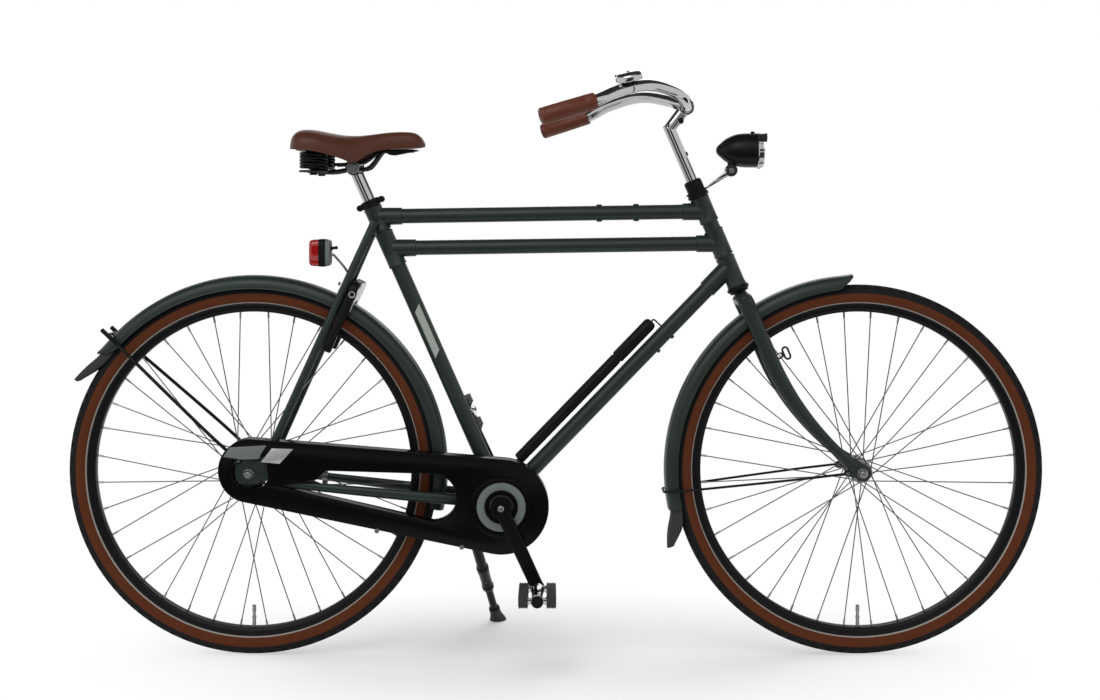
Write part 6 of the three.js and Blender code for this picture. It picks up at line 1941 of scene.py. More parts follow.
@dataclass
class Cockpit:
    """Everything that the rider's hands reach."""

    at: Places
    centre: Vector = Vector((0.25192, 0, 1.05847))
    bar_radius: float = 0.0111
    clamp_radius: float = 0.0156
    clamp_half: float = 0.017
    grip_end: tuple[float, float, float] = (-0.279, 0.279, -0.034)
    bell_offset: tuple[float, float, float] = (-0.116, -0.197, 0.0235)
    bell_axis: Vector = Vector((-0.21, -0.24, 0.95))

    BAR = (
        (0, 0, 0), (-0.002, 0.045, 0.0025), (-0.019, 0.098, 0.017), (-0.078, 0.16, 0.03),
        (-0.14, 0.218, 0.016), (-0.183, 0.252, -0.004),
    )

    def build(self) -> None:
        """Make the stem, the bar, the grips and the bell."""
        self.add_stem()
        self.add_bar()
        for side, name in ((-1, "right"), (1, "left")):
            self.add_grip(side, name)
        self.add_bell()

    def add_stem(self) -> None:
        """Cut the quill square, weld its neck on and fit the clamp, the bolt and the screw."""
        at, centre, half, r = self.at, self.centre, self.clamp_half, self.clamp_radius
        corner = at.head_at(0.75)
        rise = (centre - corner).normalized()
        quill = rod(
            "stem_quill", at.head_at(0.561), along(corner, at.head_axis, 0.009), self.bar_radius, ROUND,
            soft=0.0012,
        )
        neck = rod(
            "stem_neck", along(corner, rise, -0.003), along(centre, rise, -0.008), 0.0114, ROUND, 0.0118
        )
        profile = [
            (-half, 0.0112), (-half, r - 0.0016), (-half + 0.0016, r), (-0.003, r), (-0.002, r - 0.0008),
            (0.002, r - 0.0008), (0.003, r), (half - 0.0016, r), (half, r - 0.0016), (half, 0.0112),
        ]
        clamp = turned("stem_clamp", profile, centre, LEFT, ROUND, closed=True)
        lug = off(centre, -0.0105, -0.0115, -0.0265)
        ears = rod("clamp_ears", lug, off(lug, y=0.023), 0.0062, FINE, soft=0.0008)
        finished(gathered(quill, neck, clamp, ears), "fork_group", CHROME, "stem")
        bolt = gathered(
            hex_head("clamp_bolt_head", lug, -LEFT, 0.0052, 0.004),
            hex_head(
                "stem_screw", along(at.head_at(0.692), at.head_forward, 0.0102), at.head_forward, 0.0042,
                0.003,
            ),
        )
        finished(bolt, "fork_group", BLACK_PLASTIC)

    def add_bar(self) -> None:
        """Bend the handlebar as one tube, with a sleeve in its middle."""
        right = [self.centre + Vector(p) for p in self.BAR]
        end = self.centre + Vector(self.grip_end)
        right.append(right[-1].lerp(end, 0.88))
        line = [Vector((p.x, -p.y, p.z)) for p in reversed(right[1:])] + right
        bar = swept("handlebar_bent", smooth_path(line, 12), self.bar_radius, sides=8)
        sleeve = self.bar_radius + 0.0009
        ring = [
            (-0.03, self.bar_radius - 0.001), (-0.03, sleeve - 0.0006), (-0.0285, sleeve), (0.0285, sleeve),
            (0.03, sleeve - 0.0006), (0.03, self.bar_radius - 0.001),
        ]
        gathered(bar, turned("bar_sleeve", ring, self.centre, LEFT, ROUND))
        finished(bar, "fork_group", CHROME, "handlebar")

    def add_grip(self, side: int, name: str) -> None:
        """Sew a leather grip round the bar's end, with a groove by each end.

        Args:
            side: 1 for the rider's left and -1 for the right.
            name: The side's name.
        """
        start = self.centre + Vector((self.BAR[-1][0], self.BAR[-1][1] * side, self.BAR[-1][2]))
        end = self.centre + Vector((self.grip_end[0], self.grip_end[1] * side, self.grip_end[2]))
        length = (end - start).length
        rows = [
            (0, 0.0113), (0.0003, 0.0146), (0.0014, 0.0154), (0.02, 0.0156), (0.0206, 0.0153),
            (0.0214, 0.0153), (0.022, 0.0156), (length * 0.5, 0.0158), (length - 0.0085, 0.0156),
            (length - 0.008, 0.0152), (length - 0.0072, 0.0152), (length - 0.0066, 0.0157),
            (length - 0.0014, 0.0155), (length, 0.0142), (length + 0.0004, 0.0126),
            (length - 0.0002, 0.0118), (length + 0.0012, 0.0085), (length + 0.0016, 0),
        ]
        axis = (end - start).normalized()
        piece = turned(f"{name}_grip_sewn", rows, start, axis, 64)
        finished(piece, "fork_group", GRIP_LEATHER, f"{name}_grip", degrees=50)
        down = axis.cross(LEFT).normalized()
        down = down if down.z < 0 else -down
        outer = (down * 0.55 + Vector((0, side, 0))).normalized()
        outer = (outer - axis * outer.dot(axis)).normalized()
        across = axis.cross(outer)
        stitches = []
        count = 26
        for i in range(count):
            base = along(start, axis, mixed(0.01, length - 0.018, i / (count - 1)))
            a = base + outer * 0.0156 + across * 0.0016
            b = along(base, axis, 0.0022) + outer * 0.0156 - across * 0.0016
            stitches.append((a, b))
        thread = bundle(f"{name}_grip_stitches", stitches, 0.0005)
        finished(thread, "fork_group", THREAD)

    def add_bell(self) -> None:
        """Turn the bell's dome, its clamp round the bar, and its thumb lever."""
        centre = self.centre + Vector(self.bell_offset)
        axis = self.bell_axis.normalized()
        outer = [
            (0.015, 0.0248), (0.0156, 0.0254), (0.0166, 0.025), (0.0215, 0.0248), (0.025, 0.0238),
            (0.0274, 0.0212), (0.0288, 0.0165), (0.0296, 0.0095), (0.03, 0),
        ]
        inner = [(d - 0.0012, max(0.0, r - 0.0012)) for d, r in reversed(outer[:-1])]
        dome = turned("bell_dome", [*outer, (0.0288, 0), *inner, outer[0]], centre, axis, 64)
        screw = turned(
            "bell_screw", [(0.029, 0), (0.029, 0.0034), (0.0308, 0.0031), (0.0314, 0.002), (0.0314, 0)],
            centre, axis, FINE,
        )
        finished(gathered(dome, screw), "fork_group", CHROME, "bell")
        bar = [self.centre + Vector((p[0], -p[1], p[2])) for p in self.BAR[3:5]]
        tangent = (bar[1] - bar[0]).normalized()
        band = turned(
            "bell_band",
            [
                (-0.004, 0.0108), (-0.004, 0.0118), (-0.0034, 0.0122), (0.0034, 0.0122), (0.004, 0.0118),
                (0.004, 0.0108),
            ],
            centre, tangent, ROUND, closed=True,
        )
        base = turned(
            "bell_base",
            [(0.011, 0), (0.011, 0.008), (0.0145, 0.013), (0.0165, 0.0195), (0.018, 0.0195), (0.018, 0)],
            centre, axis, ROUND,
        )
        post = rod("bell_post", along(centre, axis, 0.012), along(centre, axis, 0.029), 0.0036, FINE)
        finished(band, "fork_group", CHROME)
        finished(gathered(base, post), "fork_group", BLACK_PLASTIC)
        finished(
            refined("bell_lever", "bell_lever_pressed", 0.0006), "bell_thumb_lever", BLACK_PLASTIC,
            "bell_lever",
        )


# Headlamp


@dataclass
class Headlamp:
    """The bullet lamp on the headset."""

    at: Places
    tip: Vector = Vector((0.3106, 0, 0.975))
    depth: float = 0.079
    radius: float = 0.0335
    rim_radius: float = 0.0346
    visor: float = 0.0185

    def build(self) -> None:
        """Make the shell, rim, lens and bracket."""
        rows = [
            (0, 0.001), (0.006, 0.1), (0.022, 0.19), (0.06, 0.3), (0.1, 0.385), (0.2, 0.6), (0.3, 0.75),
            (0.45, 0.9), (0.65, 0.985), (1, 1),
        ]
        outer = [(share * self.depth, reach * self.radius) for share, reach in smooth_rows(rows, 4)]
        outer[0] = (0, 0)
        inner = [
            (self.depth, self.radius - 0.002), (self.depth - 0.006, self.radius - 0.0025),
            (self.depth - 0.03, 0.02), (self.depth - 0.036, 0),
        ]
        shell = turned("headlamp_shell", [*outer, *inner], self.tip, AHEAD, 72)
        top = along(self.tip, AHEAD, self.depth - 0.008)
        nub = turned(
            "headlamp_nub", [(0, 0), (0, 0.0042), (0.003, 0.004), (0.0042, 0.0028), (0.0042, 0)],
            off(top, z=self.radius - 0.001), UP, FINE,
        )
        pin = self.at.lamp_pin
        outline = [
            *arc((pin.x, pin.z), 0.007, 180, 360, 12), (pin.x + 0.0085, pin.z + 0.016),
            (pin.x - 0.0065, pin.z + 0.02),
        ]
        lug = pressed("headlamp_lug", outline, -0.0054, 0.0054, 0.0008)
        hole = cross_rod("lug_hole", pin, 0.01, 0.0033)
        finished(gathered(shell, nub, carved(lug, hole)), "headlamp", BLACK_PAINT, "headlamp_body")
        self.add_rim()
        self.add_lens()
        self.add_bracket()

    def add_rim(self) -> None:
        """Turn the bright rim and its peak over the upper part of the lens."""
        face = self.depth
        r = self.rim_radius
        profile = [
            (face, r - 0.0046), (face, r - 0.0012), (face + 0.0012, r), (face + 0.004, r),
            (face + 0.0047, r - 0.001), (face + 0.0058, r - 0.001), (face + 0.0065, r - 0.0002),
            (face + 0.0102, r - 0.0005), (face + 0.012, r - 0.0024), (face + 0.0114, r - 0.004),
            (face + 0.004, r - 0.0046),
        ]
        rim = turned("headlamp_rim_turned", profile, self.tip, AHEAD, 72, closed=True)
        reach = self.visor
        angles = [math.radians(mixed(8, 172, i / 36)) for i in range(37)]
        rings = []
        for a in angles:
            fall = abs(a - math.pi / 2) / (math.pi / 2)
            length = face + 0.011 + (reach - 0.011) * max(0.05, 1 - fall**3)
            spoke = Vector((0, math.cos(a), math.sin(a)))
            rows = [
                (face + 0.003, r - 0.0016), (length, r + 0.0002), (length, r - 0.001),
                (face + 0.003, r - 0.0028),
            ]
            rings.append([along(self.tip, AHEAD, d) + spoke * q for d, q in rows])
        gathered(rim, lofted("headlamp_peak", rings))
        screw = turned(
            "headlamp_screw", [(0, 0), (0, 0.0028), (0.0022, 0.0028), (0.0028, 0.002), (0.0028, 0)],
            off(along(self.tip, AHEAD, face + 0.0035), z=-r + 0.0016), -UP, FINE,
        )
        finished(gathered(rim, screw), "headlamp", CHROME, "headlamp_rim")

    def add_lens(self) -> None:
        """Press the lens with its ribs."""
        profile = []
        count = 12
        for i in range(count + 1):
            share = i / count
            rise = 0.003 + 0.0035 * (1 - share**2) + (0.0003 if i % 2 else 0)
            profile.append((self.depth + rise, share * 0.0296))
        profile.append((self.depth + 0.0006, 0.0296))
        profile.append((self.depth + 0.0006, 0))
        lens = turned("headlamp_lens_pressed", profile, self.tip, AHEAD, 64)
        finished(lens, "headlamp", CLEAR_LENS, "headlamp_lens")
        mirror = turned(
            "headlamp_mirror",
            [
                (self.depth + 0.0002, 0.0292), (self.depth - 0.012, 0.018), (self.depth - 0.018, 0.008),
                (self.depth - 0.019, 0),
            ],
            self.tip, AHEAD, 64,
        )
        modified(mirror, "SOLIDIFY", thickness=0.0005, offset=0.0)
        finished(mirror, "headlamp", CHROME)

    def add_bracket(self) -> None:
        """Fold the bracket's strip, seat it on its ring and pin the lamp between its cheeks."""
        pin, at = self.at.lamp_pin, self.at
        foot = along(at.head_at(0.6163), at.head_forward, 0.0215)
        up = (pin - foot).normalized()
        over = Vector((-up.z, 0, up.x))
        corners = [
            foot - over * 0.0016, foot + over * 0.0016, pin - up * 0.01 + over * 0.0054, pin + over * 0.005,
            pin - over * 0.005, pin - up * 0.012 - over * 0.005,
        ]
        strip = pressed("lamp_strip", [(p.x, p.z) for p in corners], -0.0078, 0.0078, 0.0008)
        shifts = ((-0.014, 0.02), (0.02, 0.02), (0.02, -0.02), (-0.014, -0.02))
        corners = [pin + up * rise + over * shift for rise, shift in shifts]
        carved(strip, pressed("lamp_strip_room", [(p.x, p.z) for p in corners], -0.0056, 0.0056))
        knuckle = washer("lamp_knuckle", off(pin, y=0.0057), LEFT, 0.003, 0.0118, 0.0036)
        gathered(strip, both_sides(knuckle))
        finished(strip, "fork_group", CHROME, "headlamp_bracket")
        ring = [
            (0, 0.0206), (0, 0.0214), (0.0006, 0.0219), (0.0026, 0.0219), (0.0032, 0.0214), (0.0032, 0.0206)
        ]
        finished(
            turned("lamp_ring", ring, at.head_at(0.6147), at.head_axis, 64, closed=True), "fork_group",
            BLACK_PLASTIC,
        )
        heads = both_sides(hex_head("lamp_pin_head", off(pin, y=0.0093), LEFT, 0.0056, 0.003))
        finished(heads, "fork_group", STEEL)


# Chain case, chain and sprocket


@dataclass
class ChainCase:
    """The closed chain case on the right side."""

    at: Places
    outer_face: float = -0.068
    inner_face: float = -0.039
    wall: float = 0.0015
    front_radius: float = 0.0905
    rear_radius: float = 0.0605
    rear_shift: Pair = (0.004, 0.007)
    edge: float = 0.0045

    SLOT = ((0.875, -0.0148), (0.728, 0.0064), (0.694, 0.026), (0.282, 0.0456))
    SLOT_END = (0.272, 0.0008, 0.0455)

    def on_run(self, share: float, rise: float) -> Pair:
        """Return a point at a share of the line between the axles and a rise over it."""
        b, r = self.at.bracket, self.at.rear_axle
        return (mixed(b.x, r.x, share), mixed(b.z, r.z, share) + rise)

    def slot(self, grow: float) -> list[Pair]:
        """Return the outline of the opening between the case's two runs.

        Args:
            grow: How far outside the opening the outline runs.

        Returns:
            The outline's corners, with round ends.
        """
        centre = self.on_run(*self.SLOT_END[:2])
        corners = [self.on_run(share, rise) for share, rise in self.SLOT]
        middle = (sum(c[0] for c in corners) / len(corners), sum(c[1] for c in corners) / len(corners))
        spread = []
        for x, z in corners:
            out = Vector((x - middle[0], z - middle[1])).normalized() * (grow * 1.6)
            spread.append((x + out.x, z + out.y))
        bend = arc(centre, self.SLOT_END[2] + grow, 84, -88, 20)
        cut = 0.006
        rounded = []
        for number, corner in enumerate(spread):
            before, after = (Vector(line[number]) for line in ((bend[-1], *spread), (*spread[1:], bend[0])))
            here = Vector(corner)
            a, b = (here + (there - here).normalized() * cut for there in (before, after))
            for i in range(5):
                t = i / 4
                rounded.append(tuple((a * (1 - t) ** 2 + here * (2 * t * (1 - t)) + b * t**2)[:]))
        return [*rounded, *bend]

    def build(self) -> None:
        """Mould the case and fix its trims."""
        b, r = self.at.bracket, self.at.rear_axle
        rear = (r.x + self.rear_shift[0], r.z + self.rear_shift[1])
        front = (b.x, b.z, self.front_radius)
        back = (*rear, self.rear_radius)
        case = pressed("chain_case_moulded", belt(front, back, 32), self.outer_face, self.inner_face)
        carved(case, pressed("case_slot", self.slot(0.0), self.outer_face - 0.01, self.inner_face + 0.01))
        with editing(case, "EDGE") as mesh:
            bpy.ops.mesh.select_all(action="DESELECT")
            for side in mesh.edges:
                ends = [v.co.y for v in side.verts]
                flat = abs(ends[0] - ends[1]) < 1e-6
                side.select = flat and ends[0] < self.outer_face + 1e-4 and side.calc_face_angle(0) > 0.5
            bpy.ops.mesh.bevel(offset=self.edge, segments=4, affect="EDGES", clamp_overlap=True)
        inner = pressed(
            "case_room",
            belt((b.x, b.z, self.front_radius - self.wall), (*rear, self.rear_radius - self.wall), 32),
            self.outer_face + self.wall + 0.001, self.inner_face - self.wall,
        )
        carved(inner, pressed("case_slot_wall", self.slot(self.wall), self.outer_face, self.inner_face))
        carved(case, inner)
        self.cut_windows(case)
        finished(case, "frame", CASE_PLASTIC, "chain_case", degrees=40)
        self.add_trims()

    def cut_windows(self, case: Piece) -> None:
        """Cut the rear window for the axle, the hub's hole and both holes at the bracket.

        Args:
            case: The moulded case.
        """
        b, r = self.at.bracket, self.at.rear_axle
        window = [
            (r.x - 0.032, r.z - 0.012), (r.x - 0.026, r.z - 0.022), (r.x - 0.016, r.z - 0.024),
            (r.x + 0.03, r.z - 0.024), (r.x + 0.038, r.z - 0.02), (r.x + 0.04, r.z - 0.01),
            (r.x + 0.036, r.z + 0.022), (r.x + 0.024, r.z + 0.04), (r.x - 0.016, r.z + 0.04),
            (r.x - 0.028, r.z + 0.032), (r.x - 0.032, r.z + 0.018),
        ]
        middle = (self.outer_face + self.inner_face) / 2
        outside, inside = self.outer_face - 0.01, self.inner_face + 0.01
        carved(case, pressed("case_window", window, outside, middle))
        for name, spot, start, end, radius in (
            ("hub_hole", r, middle, inside, 0.036), ("crank_hole", b, outside, middle, 0.0235),
            ("bracket_hole", b, middle, inside, 0.03),
        ):
            ends = (Vector((spot.x, y, spot.z)) for y in (start, end))
            carved(case, rod(name, *ends, radius, ROUND))

    def add_trims(self) -> None:
        """Fix the cover disc, the grey ring, the wedge, the plain plate and the screws."""
        b, r = self.at.bracket, self.at.rear_axle
        face = self.outer_face
        profile = [
            (0, 0.0475), (0, 0.0584), (0.0012, 0.059), (0.0022, 0.0584), (0.0026, 0.056), (0.0026, 0.048),
            (0.0016, 0.0475),
        ]
        disc = turned("case_disc", profile, Vector((b.x, face + 0.0003, b.z)), -LEFT, 96, closed=True)
        finished(disc, "frame", CASE_PLASTIC)
        ring = [
            (0, 0.0314), (0.0008, 0.0314), (0.0014, 0.0322), (0.0022, 0.0332), (0.0026, 0.0345),
            (0.0026, 0.0445), (0.0022, 0.046), (0.0012, 0.0468), (0, 0.0468),
        ]
        trim = turned("case_ring_turned", ring, Vector((b.x, face + 0.001, b.z)), -LEFT, 96, closed=True)
        finished(trim, "frame", GREY_TRIM, "chain_case_ring")
        wedge = [
            (r.x - 0.046, r.z + 0.034), (r.x - 0.034, r.z + 0.052), (r.x + 0.036, r.z + 0.056),
            (r.x + 0.02, r.z + 0.03), (r.x - 0.01, r.z + 0.029),
        ]
        finished(pressed("case_wedge", wedge, face - 0.0014, face + 0.0004, 0.0005), "frame", GREY_TRIM)
        plate = [
            (r.x + 0.025, r.z + 0.024), (r.x + 0.046, r.z + 0.05), (r.x + 0.087, r.z + 0.049),
            (r.x + 0.061, r.z + 0.021),
        ]
        finished(
            pressed("case_badge_place", plate, face - 0.0012, face + 0.0004, 0.0005), "frame", SILVER_TRIM
        )
        screws = []
        for x, z in ((-0.3397, 0.2509), (-0.1788, 0.2198)):
            screws.append(
                turned(
                    f"case_screw_{x}",
                    [
                        (0, 0), (0, 0.0046), (0.001, 0.0046), (0.0019, 0.0036), (0.0021, 0.0018),
                        (0.0012, 0.0016), (0.0012, 0),
                    ],
                    Vector((x, face + 0.0004, z)), -LEFT, FINE,
                )
            )
        finished(gathered(*screws), "frame", STEEL)


@dataclass
class Drive:
    """Cranks, pedals, chain and sprocket."""

    at: Places
    low: float = 0.0725
    high: float = 0.0845
    line: float = -0.045
    pitch: float = 0.0127
    teeth: Pair = (38, 19)

    def build(self) -> None:
        """Make every moving piece of the drive."""
        self.add_axle()
        self.add_crank(-1, "right", self.at.right_pedal)
        self.add_crank(1, "left", self.at.left_pedal)
        Pedal(self.at.right_pedal, -1, "right", 0.0).build()
        Pedal(self.at.left_pedal, 1, "left", 66.1).build()
        self.add_sprocket()
        self.add_chain()

    def add_axle(self) -> None:
        """Turn the bracket axle."""
        finished(refined("crank_axle", "crank_axle_turned", 0.0005), "cranks", STEEL, "crank_axle")

    def gear(self, name: str, centre: Vector, teeth: int, lean: float, bore: float) -> Piece:
        """Return a toothed wheel with round tooth gaps.

        Args:
            name: The wheel's name.
            centre: Its middle.
            teeth: How many teeth it has.
            lean: The angle of its first tooth gap in radians.
            bore: The radius of the hole in its middle.

        Returns:
            The wheel, with its edges broken.
        """
        radius = self.pitch / 2 / math.sin(math.pi / teeth)
        step = TURN / teeth
        rows = (
            (-0.3, -0.0044), (-0.16, -0.0046), (0.0, -0.0046), (0.16, -0.0044), (0.3, -0.003), (0.4, 0.0012),
            (0.46, 0.003), (0.54, 0.003), (0.6, 0.0012),
        )
        outline = []
        for i in range(teeth):
            for share, lift in rows:
                a = lean + (i + share) * step
                outline.append(
                    (centre.x + (radius + lift) * math.cos(a), centre.z + (radius + lift) * math.sin(a))
                )
        wheel = pressed(name, outline, self.line - 0.00145, self.line + 0.00145, 0.0003)
        middle = Vector((centre.x, self.line, centre.z))
        return carved(wheel, cross_rod(f"{name}_bore", middle, 0.01, bore, ROUND))

    def lean(self) -> float:
        """Return the angle of the line from the bracket to the rear axle."""
        run = self.at.rear_axle - self.at.bracket
        return math.atan2(run.z, run.x)

    def add_crank(self, side: int, name: str, pedal: Vector) -> None:
        """Forge a crank with its boss, its eye and its bolt.

        Args:
            side: 1 for the rider's left and -1 for the right.
            name: The side's name.
            pedal: The middle of the pedal's spindle.
        """
        b = self.at.bracket
        low, high = sorted((side * self.low, side * self.high))
        shape = belt((b.x, b.z, 0.0138), (pedal.x, pedal.z, 0.0126), 12)
        arm = pressed(f"{name}_crank_forged", shape, low + 0.0008, high - 0.0008)
        bevelled(arm, 0.0035, 4)
        boss = [
            (0, 0), (0, 0.019), (0.0012, 0.0202), (0.0115, 0.0202), (0.0135, 0.0186), (0.0138, 0.0128),
            (0.0124, 0.012), (0.0124, 0),
        ]
        eye = [(0, 0), (0, 0.0122), (0.001, 0.0132), (0.011, 0.0132), (0.012, 0.0122), (0.012, 0)]
        outwards = LEFT * side
        gathered(
            arm, turned(f"{name}_crank_boss", boss, Vector((b.x, side * self.low, b.z)), outwards, ROUND),
            turned(f"{name}_crank_eye", eye, Vector((pedal.x, side * self.low, pedal.z)), outwards, ROUND),
        )
        finished(arm, "cranks", CRANK_BLACK, f"{name}_crank")
        bolt = turned(
            f"{name}_crank_bolt",
            [(0, 0), (0, 0.006), (0.0016, 0.0058), (0.0026, 0.0044), (0.0026, 0.0024), (0.0014, 0)],
            Vector((b.x, side * (self.high + 0.0004), b.z)), outwards, FINE,
        )
        finished(bolt, "cranks", STEEL)
        if side < 0:
            self.add_ring()

    def add_ring(self) -> None:
        """Cut the chainring with five arms behind the case's cover."""
        b = self.at.bracket
        ring = self.gear("chainring_cut", b, int(self.teeth[0]), self.lean(), 0.0145)
        holes = []
        for i in range(5):
            a = TURN * (i + 0.5) / 5
            spot = Vector((b.x + 0.046 * math.cos(a), self.line, b.z + 0.046 * math.sin(a)))
            holes.append(cross_rod(f"ring_hole_{i}", spot, 0.01, 0.018))
        carved(ring, *holes)
        sleeve = turned(
            "chainring_sleeve", [(0, 0.0088), (0, 0.0145), (0.029, 0.0145), (0.029, 0.0088)],
            Vector((b.x, self.line + 0.0014, b.z)), -LEFT, ROUND, closed=True,
        )
        finished(gathered(ring, sleeve), "cranks", STEEL)

    def add_sprocket(self) -> None:
        """Cut the rear sprocket on its carrier."""
        r = self.at.rear_axle
        wheel = self.gear("rear_sprocket_cut", r, int(self.teeth[1]), self.lean() + math.pi, 0.016)
        carrier = [(0, 0.0054), (0, 0.016), (0.001, 0.017), (0.013, 0.017), (0.014, 0.016), (0.014, 0.0054)]
        gathered(
            wheel,
            turned("sprocket_carrier", carrier, Vector((r.x, -0.0398, r.z)), -LEFT, ROUND, closed=True),
        )
        finished(wheel, "sprocket", STEEL, "rear_sprocket")

    def chain_line(self) -> list[Pair]:
        """Return the closed line that the chain's rollers follow.

        Returns:
            The rollers' places as (x, z) pairs.
        """
        b, r = self.at.bracket, self.at.rear_axle
        radii = [self.pitch / 2 / math.sin(math.pi / t) for t in self.teeth]
        loop = belt((b.x, b.z, radii[0]), (r.x, r.z, radii[1]), 60)
        points = [Vector((x, 0, z)) for x, z in loop]
        points.append(points[0])
        lengths = [(q - p).length for p, q in zip(points, points[1:])]
        total = sum(lengths)
        count = round(total / self.pitch)
        spots, walked, number = [], 0.0, 0
        for i in range(count):
            goal = total * i / count
            while walked + lengths[number] < goal:
                walked += lengths[number]
                number += 1
            spot = points[number].lerp(points[number + 1], (goal - walked) / lengths[number])
            spots.append((spot.x, spot.z))
        return spots

    def add_chain(self) -> None:
        """Link the chain: an outer and an inner pair of plates, copied from roller to roller."""
        spots = self.chain_line()
        rollers = [
            (Vector((x, self.line - 0.0029, z)), Vector((x, self.line + 0.0029, z))) for x, z in spots
        ]
        pairs = []
        for near in (0.0024, 0.00185):
            outline = belt((0, 0, 0.004), (self.pitch, 0, 0.004), 5)
            plates = [pressed(f"link_{near}_{s}", outline, s * near, s * (near + 0.0005)) for s in (-1, 1)]
            pairs.append(gathered(*plates))
        links = []
        for number, (x, z) in enumerate(spots):
            ahead = spots[(number + 1) % len(spots)]
            pick(pairs[number % 2])
            bpy.ops.object.duplicate()
            lean = math.atan2(ahead[1] - z, ahead[0] - x)
            move = Matrix.Translation((x, self.line, z)) @ Matrix.Rotation(-lean, 4, "Y")
            links.append(placed(bpy.context.object, move))
        for pair in pairs:
            bpy.data.objects.remove(pair)
        chain = gathered(links[0], *links[1:], bundle("chain_rollers", rollers, 0.0034))
        chain.name = chain.data.name = "chain_linked"
        finished(chain, "frame", STEEL, "chain")


@dataclass
class Pedal:
    """A block pedal: barrel, end plates and two rubber blocks."""

    centre: Vector
    side: int
    name: str
    turn: float
    inner: float = 0.088
    outer: float = 0.185
    near: float = 0.0185
    far: float = 0.0348
    half: float = 0.0128

    @property
    def body(self) -> str:
        """Return the pedal's moving body."""
        return f"{self.name}_pedal_body"

    def build(self) -> None:
        """Make the pedal flat and turn it to its angle."""
        metal, spindle, rubber, cap = self.metal(), self.spindle(), self.blocks(), self.cap()
        spin = Matrix.Rotation(math.radians(self.turn), 4, "Y")
        move = Matrix.Translation(Vector((self.centre.x, 0, self.centre.z)))
        for piece in (metal, rubber):
            placed(piece, move @ spin)
        placed(spindle, move)
        placed(cap, move)
        finished(cap, self.body, BLACK_PLASTIC)
        finished(metal, self.body, CHROME, f"{self.name}_pedal")
        finished(rubber, self.body, BLACK_RUBBER, f"{self.name}_pedal_rubbers", degrees=40)
        finished(spindle, "cranks", STEEL)

    def across(self, name: str, rows: Sequence[Pair], sides: int = ROUND) -> Piece:
        """Return a profile of distance out from the bike and radius, turned about the spindle's line."""
        return turned(name, rows, Vector((0, 0, 0)), LEFT * self.side, sides)

    def metal(self) -> Piece:
        """Return the barrel with the two bars that carry the blocks.

        Returns:
            The barrel and its bars as one piece.
        """
        i, o = self.inner, self.outer
        barrel = self.across(
            f"{self.name}_pedal_barrel",
            [
                (i + 0.0022, 0.0053), (i + 0.0022, 0.0114), (i + 0.0034, 0.0122), (i + 0.012, 0.0122),
                (i + 0.014, 0.011), (o - 0.015, 0.0106), (o - 0.013, 0.0114), (o - 0.0034, 0.0116),
                (o - 0.0028, 0.0108), (o - 0.0028, 0.0053),
            ],
        )
        bars = []
        for number, out in enumerate((i, o - 0.0075)):
            low, high = sorted((self.side * out, self.side * (out + 0.0024)))
            quarter = [(0.0335, 0.0085), (0.017, 0.0085), (0.014, 0.0058), (0.009, 0.0058)]
            half = [*quarter, *[(-x, z) for x, z in reversed(quarter)]]
            bar = pressed(
                f"{self.name}_pedal_bar_{number}", [*half, *[(x, -z) for x, z in reversed(half)]], low, high,
                0.0006,
            )
            if not number:
                carved(
                    bar,
                    rod("bar_hole", Vector((0, low - 0.01, 0)), Vector((0, high + 0.01, 0)), 0.0062, FINE),
                )
            bars.append(bar)
        for x in (-0.0266, 0.0266):
            bars.append(
                hex_head(
                    f"{self.name}_pedal_nut_{x}", Vector((x, self.side * i, 0)), LEFT * -self.side, 0.0038,
                    0.0022,
                )
            )
        return gathered(barrel, *bars)

    def cap(self) -> Piece:
        """Return the dust cap in the barrel's outer end.

        Returns:
            The turned cap.
        """
        o = self.outer
        rows = [
            (o - 0.003, 0), (o - 0.003, 0.0106), (o - 0.0022, 0.0113), (o + 0.0022, 0.0112),
            (o + 0.0034, 0.01), (o + 0.0036, 0),
        ]
        return self.across(f"{self.name}_pedal_cap", rows)

    def spindle(self) -> Piece:
        """Return the spindle between the crank and the pedal.

        Returns:
            The turned spindle.
        """
        return self.across(
            f"{self.name}_pedal_spindle",
            [
                (0.0745, 0), (0.0745, 0.0048), (0.0848, 0.0048), (0.0848, 0.0078), (0.0876, 0.0078),
                (0.0876, 0.0048), (0.1815, 0.0044), (0.1815, 0),
            ],
            FINE,
        )

    def blocks(self) -> Piece:
        """Return the two rubber blocks, grooved lengthwise on the faces that meet the shoe.

        Returns:
            Both blocks as one piece.
        """
        blocks = []
        near, far, half = self.near - 0.0015, self.far, self.half
        ribs = 4
        for hand in (-1, 1):
            top = [(near, half - 0.0026)]
            for rib in range(ribs):
                low, high = (mixed(near, far, (rib + share) / ribs) for share in (0.1, 0.78))
                top += [
                    (low, half - 0.0016), (low + 0.0005, half), (high - 0.0005, half), (high, half - 0.0016)
                ]
            top.append((far, half - 0.0045))
            outline = [(hand * x, z) for x, z in [*top, *[(x, -z) for x, z in reversed(top)]]]
            low, high = sorted((self.side * (self.inner + 0.0024), self.side * (self.outer - 0.0026)))
            block = pressed(f"{self.name}_block_{hand}", outline, low, high)
            blocks.append(bevelled(block, 0.0005, 1, 50))
        return gathered(*blocks)


# Saddle, post and clamp


